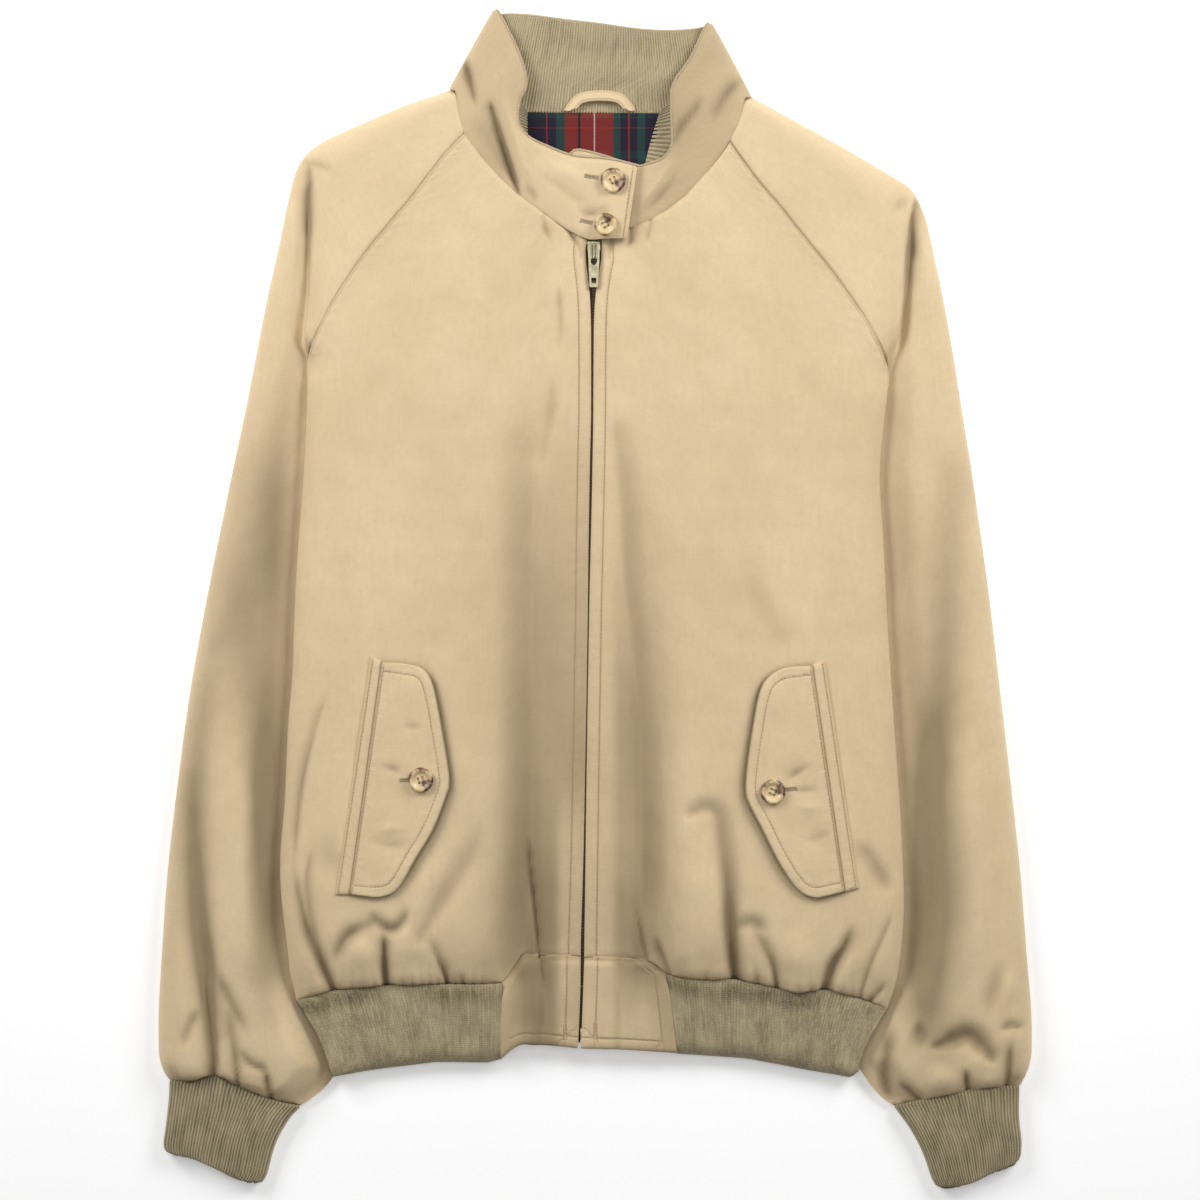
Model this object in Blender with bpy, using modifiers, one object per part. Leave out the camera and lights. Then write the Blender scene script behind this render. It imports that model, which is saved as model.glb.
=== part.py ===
"""Harrington jacket laid flat on its back: cloth walls, ribbed knit, horn buttons and a metal zip slider.

Sizes below are millimetres. +X is the wearer's left, +Y runs up to the collar and +Z is up off the floor,
which is z = 0. Every cloth panel is one surface, made from a short table of its edges and a few height
functions, with a wall of real thickness behind it.
"""

import math

import bmesh
import bpy
import numpy as np
from mathutils import Matrix, Vector
from mathutils.bvhtree import BVHTree

for old in list(bpy.data.objects):
    bpy.data.objects.remove(old)

jacket = bpy.data.collections.new("harrington_jacket")
cutters = bpy.data.collections.new("cutters")
bpy.context.scene.collection.children.link(jacket)
bpy.context.scene.collection.children.link(cutters)

# ---------------------------------------------------------------- driving sizes
MM = 0.001
SHELL = 1.6          # wall of the cotton shell with what backs it
KNIT = 1.8           # wall of the rib knit, between its ribs
RIB = 0.5            # how far a rib stands out
GAP = 0.4            # between two pieces sewn side by side
STACK = 0.45         # between two pieces that lie on each other
TUCK = 4.2           # top of a sleeve where the body lies on it
FOLD_EDGE = 2.6      # top of a sleeve at its outer fold
TAPE = 1.0           # zip tape
CENTRE = (-0.5, -1.0)  # middle of the finished piece's box in these tables; the frame's origin goes there

frame = bpy.data.objects.new("frame", None)
frame.location = (-CENTRE[0] * MM, -CENTRE[1] * MM, 0.0)
jacket.objects.link(frame)

# ---------------------------------------------------------------- edges of the body
# Each row runs across one front, from the zip or the neck out to the side or raglan seam.
FRONT_ROWS = {
    "right": (
        # inner x, inner y, outer x, outer y
        (-11.0, -257.5, -215.5, -290.0), (-10.9, -250.0, -217.5, -282.0), (-10.7, -241.0, -220.0, -273.0),
        (-10.3, -228.0, -222.0, -256.0), (-9.8, -214.0, -224.0, -240.0), (-9.2, -192.0, -227.0, -212.0),
        (-8.6, -167.0, -227.5, -185.0), (-8.0, -135.0, -224.5, -148.5), (-7.1, -88.0, -222.0, -93.0),
        (-6.5, -52.0, -219.0, -56.0), (-5.8, -5.0, -217.0, -1.5), (-5.4, 34.0, -214.5, 42.0),
        (-4.8, 72.0, -211.0, 86.5), (-4.2, 104.0, -209.0, 125.5), (-3.6, 128.0, -208.0, 152.5),
        (-3.5, 150.0, -207.0, 174.0), (-3.5, 175.0, -195.0, 203.0), (-3.6, 197.0, -179.5, 229.0),
        (-4.3, 216.0, -162.5, 252.5), (-5.6, 230.0, -146.0, 272.0), (-7.0, 241.0, -128.0, 294.0),
        (-7.4, 250.0, -111.0, 317.0), (-6.5, 257.4, -95.5, 333.4),
    ),
    "left": (
        (-8.5, -258.5, 209.5, -296.0), (-8.4, -250.5, 213.0, -287.0), (-8.3, -241.5, 216.0, -278.0),
        (-8.1, -228.0, 219.0, -262.0), (-7.9, -214.0, 220.7, -247.0), (-7.6, -192.0, 222.0, -224.0),
        (-7.3, -167.0, 221.3, -190.0), (-6.9, -135.0, 219.0, -145.0), (-6.2, -88.0, 215.0, -90.0),
        (-5.6, -52.0, 212.7, -56.0), (-4.8, -5.0, 209.5, -1.5), (-4.0, 30.0, 207.3, 42.0),
        (-3.1, 68.0, 204.7, 86.5), (-2.4, 104.0, 207.5, 125.0), (-2.0, 128.0, 210.0, 147.0),
        (-1.9, 148.0, 210.0, 166.0), (-1.7, 175.0, 196.5, 196.0), (-1.5, 196.0, 183.0, 216.5),
        (-0.7, 214.0, 168.0, 237.5), (1.2, 230.0, 152.5, 256.5), (3.4, 241.0, 134.5, 279.5),
        (4.0, 250.0, 115.0, 303.0), (4.0, 257.4, 97.0, 327.6),
    ),
}
UNDERARM_ROW = 15

# Lower edge of each front, from the zip to the side. The step is where the woven waist tab ends.
HEM = {
    "right": (
        (-11.0, -257.5), (-20.0, -257.5), (-29.5, -257.5), (-42.0, -257.3), (-54.0, -257.0), (-60.5, -267.0),
        (-67.5, -277.5), (-79.0, -278.0), (-90.0, -278.0), (-98.5, -278.0), (-106.5, -278.0), (-115.0, -278.0),
        (-126.0, -278.3), (-137.0, -278.6), (-144.5, -278.8), (-150.5, -279.0), (-157.0, -279.4),
        (-166.0, -280.2), (-175.5, -281.0), (-182.5, -282.0), (-188.5, -282.8), (-195.0, -284.0),
        (-202.5, -286.0), (-210.0, -288.3), (-215.5, -290.0),
    ),
    "left": (
        (-8.5, -258.5), (3.0, -258.5), (18.5, -258.5), (28.0, -259.3), (36.5, -260.5), (44.0, -265.0),
        (51.0, -271.0), (59.0, -273.2), (68.0, -274.4), (77.0, -275.0), (86.0, -274.9), (93.0, -274.6),
        (99.5, -274.5), (107.0, -276.2), (115.0, -278.0), (121.5, -279.2), (129.0, -280.7), (138.0, -283.0),
        (146.0, -284.5), (156.0, -282.8), (165.5, -282.0), (177.0, -284.6), (186.0, -287.2),
        (194.0, -289.8), (202.0, -293.0), (209.5, -296.0),
    ),
}
NECK = {  # from the zip up to the raglan seam
    "right": ((-6.5, 258.0), (-22.0, 265.5), (-40.0, 278.0), (-57.5, 290.5), (-70.5, 303.0), (-83.0, 317.0),
              (-95.5, 334.0)),
    "left": ((4.0, 258.0), (27.0, 267.0), (37.5, 271.0), (51.5, 278.5), (65.0, 289.0), (82.5, 308.5),
             (97.0, 328.2)),
}
# The side seams carried on above the underarm, so that the roundness of the edge fades out along the raglan.
SIDE_ABOVE = ((187.0, 222.0), (202.0, 242.0), (230.0, 275.0), (300.0, 340.0))
# The zip's x, the height of the fronts and how far they dip to the zip, each read at y.
ZIP_LINE = ((-330.0, -11.0), (-258.0, -9.8), (-109.0, -7.0), (-16.0, -5.5), (70.0, -3.9), (128.0, -2.8),
            (258.0, -1.8))
LOFT = ((-300.0, 18.0), (-255.0, 20.0), (-225.0, 20.5), (-160.0, 18.5), (-60.0, 17.0), (80.0, 16.0),
        (174.0, 15.0), (258.0, 13.2), (334.0, 12.5))
ZIP_DIP = ((-258.0, 5.0), (-60.0, 5.0), (60.0, 4.5), (170.0, 3.5), (258.0, 2.4))

# Folds: half width, then (x, y, depth) along the fold. A minus depth is a hollow.
BODY_FOLDS = {
    "right": (
        (13.0, ((-37, 120, 0), (-39, 60, -2.5), (-40, 0, -4), (-40, -90, -4.5), (-43, -180, -6),
                (-44, -232, -6))),
        (12.0, ((-192, -60, 0), (-208, -110, -3), (-214, -140, -3), (-217, -200, 0))),
        (9.0, ((-201, -170, 0), (-205, -222, -4), (-190, -275, -5))),
        (6.5, ((-185, -262, -3), (-170, -242, -4), (-142, -232, 0))),
        (5.5, ((-147, -240, 0), (-150.5, -277, -6))),
        (6.5, ((-112, -248, 0), (-106.5, -277, -5))),
        (8.0, ((-126, -236, 0), (-126, -272, 2.5))),
        (6.0, ((-88, -258, 0), (-90, -277, -3))),
    ),
    "left": (
        (9.5, ((22, 110, 0), (24, 50, -2.5), (26, -20, -3.5), (30, -100, -4.5), (35, -180, -6),
               (40, -232, -6))),
        (6.5, ((44, -240, 0), (55, -272, -4))),
        (7.0, ((90, -222, 0), (95, -245, -5), (99.5, -274, -6.5))),
        (6.5, ((121, -246, 0), (121.5, -278, -4.5))),
        (12.0, ((108, -222, 0), (110, -238, -3), (112, -252, 0))),
        (7.0, ((188, -244, 0), (172, -262, -4), (165.5, -280, -3))),
        (7.0, ((214, -236, 0), (200, -268, -4.5), (194, -287, -4))),
        (10.0, ((148, -236, 0), (147, -276, 2.5))),
        (14.0, ((196, -70, 0), (205, -130, -2.5), (210, -190, 0))),
    ),
}

# ---------------------------------------------------------------- edges of the sleeves
# outer fold x, y; inner edge x, y; where the body's edge crosses; height there; rise of the crown beyond it
SLEEVE_ROWS = {
    "right": (
        (-106.5, 363.6, -96.1, 334.0, 0.12, 16.0, 0.0), (-137.5, 355.0, -111.6, 317.2, 0.12, 16.0, 0.0),
        (-173.0, 340.5, -128.6, 294.2, 0.12, 16.0, 0.0), (-200.0, 327.5, -146.6, 272.2, 0.10, 15.5, 0.0),
        (-214.5, 312.0, -163.1, 252.7, 0.11, 14.5, 0.0), (-222.0, 286.5, -180.1, 229.2, 0.31, 11.0, 2.5),
        (-229.5, 250.5, -195.6, 203.2, 0.59, 7.5, 5.0), (-237.5, 214.5, -207.6, 174.2, 0.93, TUCK, 7.0),
        (-245.5, 173.0, -180.5, 153.5, 0, TUCK, 8.5), (-252.5, 137.0, -154.0, 119.5, 0, TUCK, 9.0),
        (-263.5, 85.0, -139.5, 70.5, 0, TUCK, 9.5), (-279.5, 6.0, -139.5, -1.5, 0, TUCK, 10.0),
        (-292.5, -66.0, -148.5, -73.5, 0, TUCK, 10.0), (-301.5, -131.0, -159.0, -138.0, 0, TUCK, 10.5),
        (-309.0, -196.0, -167.0, -203.0, 0, TUCK, 10.5), (-313.0, -253.5, -173.0, -260.5, 0, TUCK, 11.0),
        (-315.5, -296.5, -177.0, -304.0, 0, TUCK, 11.5), (-315.5, -325.5, -183.0, -332.5, 0, TUCK, 12.0),
        (-314.0, -336.0, -193.0, -350.0, 0, TUCK, 11.5), (-311.0, -343.5, -204.0, -360.0, 0, TUCK, 9.5),
        (-308.5, -347.0, -213.0, -366.0, 0, TUCK, 6.5),
    ),
    "left": (
        (114.0, 360.4, 97.6, 328.2, 0.12, 16.0, 0.0), (147.0, 342.5, 115.6, 303.2, 0.12, 16.0, 0.0),
        (183.0, 322.5, 135.1, 279.7, 0.12, 16.0, 0.0), (210.0, 306.5, 153.1, 256.7, 0.08, 15.5, 0.0),
        (227.0, 295.0, 168.6, 237.7, 0.08, 14.5, 0.0), (237.0, 276.0, 183.6, 216.7, 0.14, 11.5, 2.5),
        (244.0, 247.0, 197.1, 196.2, 0.40, 8.0, 5.0), (251.5, 211.0, 210.6, 166.2, 0.93, TUCK, 7.0),
        (259.0, 168.0, 187.0, 144.0, 0, TUCK, 8.5), (264.0, 135.5, 162.5, 114.0, 0, TUCK, 9.0),
        (271.5, 88.5, 147.0, 67.0, 0, TUCK, 9.5), (283.0, 6.0, 145.5, -1.5, 0, TUCK, 10.0),
        (291.5, -66.0, 152.5, -73.5, 0, TUCK, 10.0), (299.0, -131.0, 162.5, -138.0, 0, TUCK, 10.5),
        (306.0, -196.0, 171.5, -203.0, 0, TUCK, 10.5), (310.5, -253.5, 178.0, -260.5, 0, TUCK, 11.0),
        (314.0, -296.5, 183.0, -304.0, 0, TUCK, 11.5), (314.5, -325.5, 186.5, -331.0, 0, TUCK, 12.0),
        (313.0, -336.5, 194.5, -346.0, 0, TUCK, 11.5), (310.0, -345.0, 204.0, -358.0, 0, TUCK, 9.5),
        (306.5, -351.5, 214.5, -366.0, 0, TUCK, 6.5),
    ),
}
# How far the cuff seam rises over a straight line, along the sleeve's width, where a fold pulls it up.
CUFF_WAVE = {
    "right": ((0.0, 0.0), (0.19, 3.0), (0.36, 10.0), (0.5, 6.0), (0.67, 2.7), (0.8, 0.5), (1.0, 0.0)),
    "left": ((0.0, 0.0), (0.35, 2.5), (0.6, 1.5), (1.0, 0.0)),
}
SLEEVE_FOLDS = {
    "right": (
        (9.0, ((-288, -140, 0), (-284, -225, -2.5), (-281, -285, -4.5), (-274, -338, -6))),
        (7.0, ((-268, -275, 0), (-257, -315, -3.5), (-256, -352, -3.5))),
        (8.0, ((-232, -320, 0), (-236, -352, -3))),
        (9.0, ((-262, 40, 0), (-268, -60, 1.2), (-270, -150, 0))),
    ),
    "left": (
        (12.0, ((253, -30, 0), (256, -110, -2.5), (255, -200, -2), (256, -250, 0))),
        (9.0, ((244, -314, -3), (262, -318, -5), (284, -333, -2))),
        (6.5, ((267, -325, 0), (266, -352, -4))),
        (6.5, ((222, -346, 0), (233, -360, -3.5))),
        (6.0, ((296, -322, 0), (297.5, -350, -3.5))),
    ),
}


# ---------------------------------------------------------------- small tools
def spline(knots, t):
    """A smooth curve through the knots, at places t counted in knots."""
    k = np.asarray(knots, float)
    k = np.vstack([2 * k[0] - k[1], k, 2 * k[-1] - k[-2]])
    t = np.asarray(t, float)
    i = np.clip(np.floor(t).astype(int), 0, len(k) - 4)
    f = (t - i)[..., None]
    a, b, c, d = k[i], k[i + 1], k[i + 2], k[i + 3]
    return 0.5 * (2 * b + (c - a) * f + (2 * a - 5 * b + 4 * c - d) * f**2 + (3 * b - a - 3 * c + d) * f**3)


def value(table, at):
    """A smooth value read from a table of (place, value), places rising."""
    place, known = np.array(table, float).T
    slope = np.gradient(known, place)
    i = np.clip(np.searchsorted(place, at) - 1, 0, len(place) - 2)
    step = place[i + 1] - place[i]
    t = np.clip((at - place[i]) / step, 0, 1)
    return (known[i] * (1 + 2 * t) * (1 - t) ** 2 + known[i + 1] * t * t * (3 - 2 * t)
            + step * t * (1 - t) * (slope[i] * (1 - t) - slope[i + 1] * t))


def along(path, fractions):
    """Points on a path of straight pieces, at fractions of its length."""
    path = np.asarray(path, float)
    run = np.concatenate([[0], np.cumsum(np.hypot(*np.diff(path, axis=0).T))])
    at = np.asarray(fractions) * run[-1]
    return np.stack([np.interp(at, run, path[:, 0]), np.interp(at, run, path[:, 1])], axis=-1)


def lengths(path):
    """Fractions of a path's length at its own points."""
    run = np.concatenate([[0], np.cumsum(np.hypot(*np.diff(np.asarray(path, float), axis=0).T))])
    return run / run[-1]


def rise(distance, radius):
    """The height of a rounded edge: 0 on the edge, 1 from one radius in."""
    return np.sqrt(1 - (1 - np.clip(distance / radius, 0, 1)) ** 2)


def ease(t):
    t = np.clip(t, 0, 1)
    return t * t * (3 - 2 * t)


def folds(x, y, table):
    """Height that the table's folds add at x, y."""
    total = np.zeros(np.broadcast(x, y).shape)
    for width, path in table:
        nearest = np.full(total.shape, 1e9)
        depth = np.zeros(total.shape)
        for (ax, ay, ad), (bx, by, bd) in zip(path, path[1:]):
            t = np.clip(((x - ax) * (bx - ax) + (y - ay) * (by - ay)) / ((bx - ax) ** 2 + (by - ay) ** 2), 0, 1)
            away = np.hypot(x - ax - t * (bx - ax), y - ay - t * (by - ay))
            depth = np.where(away < nearest, ad + t * (bd - ad), depth)
            nearest = np.minimum(nearest, away)
        total += depth * np.exp(-((nearest / width) ** 2))
    return total


# ---------------------------------------------------------------- height functions
def side_table(side):
    below = [(row[3], abs(row[2])) for row in FRONT_ROWS[side][: UNDERARM_ROW + 1]]
    return tuple(below) + SIDE_ABOVE


def tuck_table(side):
    """How far out the sleeve's inner edge is, from the cuff up past the underarm."""
    rows = [(row[3], abs(row[2])) for row in SLEEVE_ROWS[side][:6:-1]]
    return tuple(rows) + ((195.0, 228.0), (225.0, 262.0), (400.0, 400.0))


def lift(x, y, side):
    """How far a layer climbs off the floor to pass over the sleeve."""
    inner = value(tuck_table(side), y)
    return (TUCK + 0.55) * ease((np.abs(x) - inner + 21.0) / 16.0)


def body_top(x, y, side):
    """The outer face of a front, without its folds at the hem seam."""
    edge = lift(x, y, side) + SHELL * 2 + STACK
    out = value(side_table(side), y) - np.abs(x)
    hem = np.array(HEM[side])
    order = np.argsort(hem[:, 0])
    over_hem = y - np.interp(x, hem[order, 0], hem[order, 1])
    round_off = rise(out, 22.0) * rise(over_hem, 15.0)
    floor = np.where(over_hem < 15.0, np.maximum(edge, 9.8), edge)
    away = (x - value(ZIP_LINE, y)) / 30.0
    loft = value(LOFT, y) - value(ZIP_DIP, y) * np.exp(-(away**2))
    creases = folds(x, y, BODY_FOLDS[side]) * rise(out, 14.0) * rise(over_hem + 6, 12.0)
    return floor + (loft - floor) * round_off + creases


def front_point(side, u, v, hem_points):
    """u runs across the hem's columns from 0 on the zip to 1 on the side; v counts rows."""
    rows = np.array(FRONT_ROWS[side])
    row = spline(rows, v) if np.ndim(v) else rows[v]
    u = np.asarray(u)
    x = row[..., 0] + (row[..., 2] - row[..., 0]) * u
    y = row[..., 1] + (row[..., 3] - row[..., 1]) * u
    straight = rows[0][:2] + (rows[0][2:] - rows[0][:2]) * u[..., None]
    low = (hem_points - straight) * (np.clip(1 - np.asarray(v) / 7.0, 0, 1) ** 2)[..., None]
    neck = along(NECK[side], u) - (0.0, 0.6)
    straight = rows[-1][:2] + (rows[-1][2:] - rows[-1][:2]) * u[..., None]
    top = len(rows) - 1
    high = (neck - straight) * (np.clip(1 - (top - np.asarray(v)) / 7.0, 0, 1) ** 2)[..., None]
    x = x + low[..., 0] + high[..., 0]
    y = y + low[..., 1] + high[..., 1]
    return np.stack([x, y, body_top(x, y, side)], axis=-1)


def sleeve_rows(side):
    """The sleeve table with the body's edge worked out on each row below the underarm."""
    rows = np.array(SLEEVE_ROWS[side], float)
    for row in rows[8:]:
        edge = value(side_table(side), 0.5 * (row[1] + row[3]))
        row[4] = (edge - abs(row[0])) / (abs(row[2]) - abs(row[0]))
    return rows


def sleeve_plan(side, u, t, wave=1.0):
    rows = sleeve_rows(side)
    row = spline(rows, t)
    last = len(rows) - 1
    crease = np.clip(row[..., 4], 0.05, 0.95)
    r = np.where(u < 0.5, crease * u / 0.5, crease + (1 - crease) * (u - 0.5) / 0.5)
    x = row[..., 0] + r * (row[..., 2] - row[..., 0])
    y = row[..., 1] + r * (row[..., 3] - row[..., 1])
    y = y + wave * value(CUFF_WAVE[side], r) * np.clip(1 - (last - t) / 3.0, 0, 1) ** 1.5
    return row, crease, r, x, y


def sleeve_point(side, u, t):
    """u: 0 on the outer fold, 0.5 where the body's edge crosses, 1 on the inner edge; t counts rows."""
    row, crease, r, x, y = sleeve_plan(side, u, t)
    last = len(SLEEVE_ROWS[side]) - 1
    width = np.hypot(row[..., 2] - row[..., 0], row[..., 3] - row[..., 1])
    outside, inside = r * width, (crease - r) * width
    body = body_top(x, y, side)
    under = body + (TUCK - body) * np.clip(t - 6.0, 0, 1)
    lower = np.minimum(body, row[..., 5]) + row[..., 6] * ease(inside / 34.0)
    level = lower + (under - lower) * np.clip((u - 0.45) / 0.05, 0, 1)
    shaped = np.clip(inside / 10.0, 0, 1) * np.clip(outside / 10.0, 0, 1) * folds(x, y, SLEEVE_FOLDS[side])
    level = level + np.where(t > 6.5, shaped, 0)
    radius = 24.0 - 4.0 * np.clip((t - 4.0) / 3.0, 0, 1)
    z = FOLD_EDGE + (level - FOLD_EDGE) * rise(outside, radius)
    tail = rise(last - t, 1.5)
    z = np.where(z > 9.0, 9.0 + (z - 9.0) * tail, z)
    return np.stack([x, y, z], axis=-1)


# ---------------------------------------------------------------- materials
def material(name, colour, roughness, metallic=0.0):
    made = bpy.data.materials.new(name)
    made.use_nodes = True
    shader = made.node_tree.nodes["Principled BSDF"]
    shader.inputs["Base Color"].default_value = (*colour, 1.0)
    shader.inputs["Roughness"].default_value = roughness
    shader.inputs["Metallic"].default_value = metallic
    made.diffuse_color = (*colour, 1.0)
    return made


COTTON = material("shell_cotton", (0.70, 0.53, 0.33), 0.85)
RIBBED = material("rib_knit", (0.48, 0.38, 0.24), 0.9)
TARTAN = material("tartan_cotton", (0.16, 0.035, 0.022), 0.85)
METAL = material("aged_nickel", (0.42, 0.40, 0.34), 0.4, 1.0)
HORN = material("horn_plastic", (0.45, 0.33, 0.20), 0.3)
WOVEN = material("zip_tape", (0.22, 0.16, 0.10), 0.9)


# ---------------------------------------------------------------- mesh makers
def placed(obj, look=None, at=(0.0, 0.0, 0.0)):
    """Puts an object in the jacket, under the frame's empty, at a place in millimetres."""
    jacket.objects.link(obj)
    obj.parent = frame
    obj.location = [k * MM for k in at]
    if look:
        obj.data.materials.append(look)
    return obj


def mesh_object(name, points, faces, look):
    mesh = bpy.data.meshes.new(name)
    mesh.from_pydata([tuple(p) for p in np.asarray(points) * MM], [], faces)
    mesh.shade_smooth()
    return placed(bpy.data.objects.new(name, mesh), look)


def grid_faces(rows, columns, flip=False, start=0):
    faces = []
    for i in range(rows - 1):
        for j in range(columns - 1):
            a = start + i * columns + j
            quad = (a, a + 1, a + columns + 1, a + columns)
            faces.append(quad[::-1] if flip else quad)
    return faces


def sheet(name, grid, wall, look, flip=False):
    """A cloth wall behind a grid of points on its outer face."""
    rows, columns = grid.shape[:2]
    obj = mesh_object(name, grid.reshape(-1, 3), grid_faces(rows, columns, flip), look)
    solid = obj.modifiers.new("wall", "SOLIDIFY")
    solid.thickness = wall * MM
    solid.offset = -1.0
    solid.use_even_offset = False
    return obj


def normals(grid):
    """Unit normals of a grid of points, rows by columns."""
    across = np.gradient(grid, axis=1)
    down = np.gradient(grid, axis=0)
    n = np.cross(across, down)
    return n / np.maximum(np.linalg.norm(n, axis=-1, keepdims=True), 1e-9)


def two_faced(name, fine, plain, ratio, look, flip=False, closed=False):
    """A wall with its own two faces. A column step of the plain face spans ratio[j] steps of the fine one."""
    rows, columns = fine.shape[:2]
    few = plain.shape[1]
    points = np.vstack([fine.reshape(-1, 3), plain.reshape(-1, 3)])
    base = rows * columns
    faces = []
    fine_steps = columns if closed else columns - 1
    few_steps = few if closed else few - 1
    for i in range(rows - 1):
        for j in range(fine_steps):
            k = (j + 1) % columns
            faces.append((i * columns + j, i * columns + k, (i + 1) * columns + k, (i + 1) * columns + j))
        for j in range(few_steps):
            k = (j + 1) % few
            here, there = base + i * few, base + (i + 1) * few
            faces.append((here + j, there + j, there + k, here + k))
    for i, turned in ((0, True), (rows - 1, False)):
        at = 0
        for j in range(few_steps):
            p, q = base + i * few + j, base + i * few + (j + 1) % few
            half = (ratio[j] + 1) // 2
            for s in range(ratio[j]):
                a, b = i * columns + (at + s) % columns, i * columns + (at + s + 1) % columns
                corner = p if s < half else q
                faces.append((b, a, corner) if turned else (a, b, corner))
                if s == half - 1:
                    faces.append((b, p, q) if turned else (b, q, p))
            at += ratio[j]
    if not closed:
        for i in range(rows - 1):
            a, b = i * columns, (i + 1) * columns
            p, q = base + i * few, base + (i + 1) * few
            faces.append((a, b, q, p))
            a, b = a + columns - 1, b + columns - 1
            p, q = p + few - 1, q + few - 1
            faces.append((b, a, p, q))
    if flip:
        faces = [face[::-1] for face in faces]
    return mesh_object(name, points, faces, look)


def over(obj):
    """A function that finds how high a finished piece reaches at x, y, and which way it faces there."""
    bpy.context.view_layer.update()
    tree = BVHTree.FromObject(obj, bpy.context.evaluated_depsgraph_get())

    def find(x, y):
        spot, normal, _, _ = tree.ray_cast(Vector((x * MM, y * MM, 1.0)), Vector((0, 0, -1)))
        if spot is None:
            spot, normal, _, _ = tree.find_nearest(Vector((x * MM, y * MM, 0.015)))
        return spot.z / MM, normal

    return find


def outline_curve(name, outlines, thickness):
    """A flat plate as a filled 2D curve. Outlines after the first are holes in it."""
    curve = bpy.data.curves.new(name, "CURVE")
    curve.dimensions = "2D"
    curve.fill_mode = "BOTH"
    curve.extrude = thickness / 2 * MM
    for outline in outlines:
        line = curve.splines.new("POLY")
        line.points.add(len(outline) - 1)
        for point, (x, y) in zip(line.points, outline):
            point.co = (x * MM, y * MM, 0.0, 1.0)
        line.use_cyclic_u = True
    return bpy.data.objects.new(name, curve)


def as_mesh(obj, name, look):
    """The mesh of a curve object, with its caps welded on."""
    bpy.context.scene.collection.objects.link(obj)
    bpy.context.view_layer.update()
    mesh = bpy.data.meshes.new_from_object(obj.evaluated_get(bpy.context.evaluated_depsgraph_get()))
    mesh.transform(obj.matrix_world)
    bpy.data.objects.remove(obj)
    shape = bmesh.new()
    shape.from_mesh(mesh)
    bmesh.ops.remove_doubles(shape, verts=shape.verts, dist=0.00001)
    bmesh.ops.recalc_face_normals(shape, faces=shape.faces)
    shape.to_mesh(mesh)
    shape.free()
    mesh.name = name
    mesh.materials.clear()
    mesh.materials.append(look)
    return bpy.data.objects.new(name, mesh)


def as_cutter(obj):
    cutters.objects.link(obj)
    obj.hide_render = True
    obj.display_type = "WIRE"
    return obj


def boolean(obj, other, operation):
    step = obj.modifiers.new(operation.lower(), "BOOLEAN")
    step.operation = operation
    step.object = other


# ---------------------------------------------------------------- fronts
front = {}
for side, turn in (("right", False), ("left", True)):
    hem = np.array(HEM[side])
    u, v = np.meshgrid(lengths(hem), np.arange(len(FRONT_ROWS[side])))
    grid = front_point(side, u, v, np.broadcast_to(hem, u.shape + (2,)))
    grid[0, :, 2] = np.maximum(grid[0, :, 2], 9.3)
    front[side] = sheet("front_" + side, grid, SHELL, COTTON, flip=not turn)

# ---------------------------------------------------------------- sleeves
SLEEVE_COLUMNS = np.array([0.0, 0.02, 0.06, 0.13, 0.21, 0.29, 0.37, 0.45, 0.5, 0.6, 0.76, 1.0])
BACK_SHIFT = {"right": (11.0, 18.0), "left": (-11.0, 21.0)}


def back_edge(side, x, y, t):
    """The raglan seam of the back lies nearer the spine than the front one, more so towards the neck."""
    dx, dy = BACK_SHIFT[side]
    share = ease(1 - t / 7.0)
    return x + dx * share, y + dy * share


for side, turn in (("right", True), ("left", False)):
    places = np.arange(len(SLEEVE_ROWS[side]))
    u, t = np.meshgrid(SLEEVE_COLUMNS, places.astype(float))
    sheet(f"sleeve_{side}_front", sleeve_point(side, u, t), SHELL, COTTON, flip=turn)
    u, t = np.meshgrid(np.array([0.0, 0.3, 0.65, 1.0]), places.astype(float))
    row, _, r, x, y = sleeve_plan(side, u, t, wave=0.0)
    sx, sy = back_edge(side, row[..., 2], row[..., 3], t)
    x = row[..., 0] + r * (sx - row[..., 0])
    y = row[..., 1] + r * (sy - row[..., 1])
    sheet(f"sleeve_{side}_back", np.stack([x, y, 0 * x], axis=-1), SHELL, COTTON, flip=not turn)

# ---------------------------------------------------------------- back
# Rows run from the right side to the left. Columns stand where a layer starts to climb over each sleeve.
def across_back(a, b):
    """Places on a line from the right edge a to the left edge b, with their height off the floor."""
    ends = []
    for side, (ex, ey), sign in (("right", a, -1), ("left", b, 1)):
        inner = min(float(value(tuck_table(side), ey)), abs(ex) - 4.0)
        ends.append([ex] + [sign * max(inner - off, 30.0) for off in (2.5, 11.0, 21.0)])
    xs = np.array(ends[0] + [-70.0, 0.0, 70.0] + ends[1][::-1])
    ys = np.interp(xs, (a[0], b[0]), (a[1], b[1]))
    return xs, ys


def back_lift(xs, ys):
    return np.where(xs < 0, lift(xs, ys, "right"), lift(xs, ys, "left"))


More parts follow.
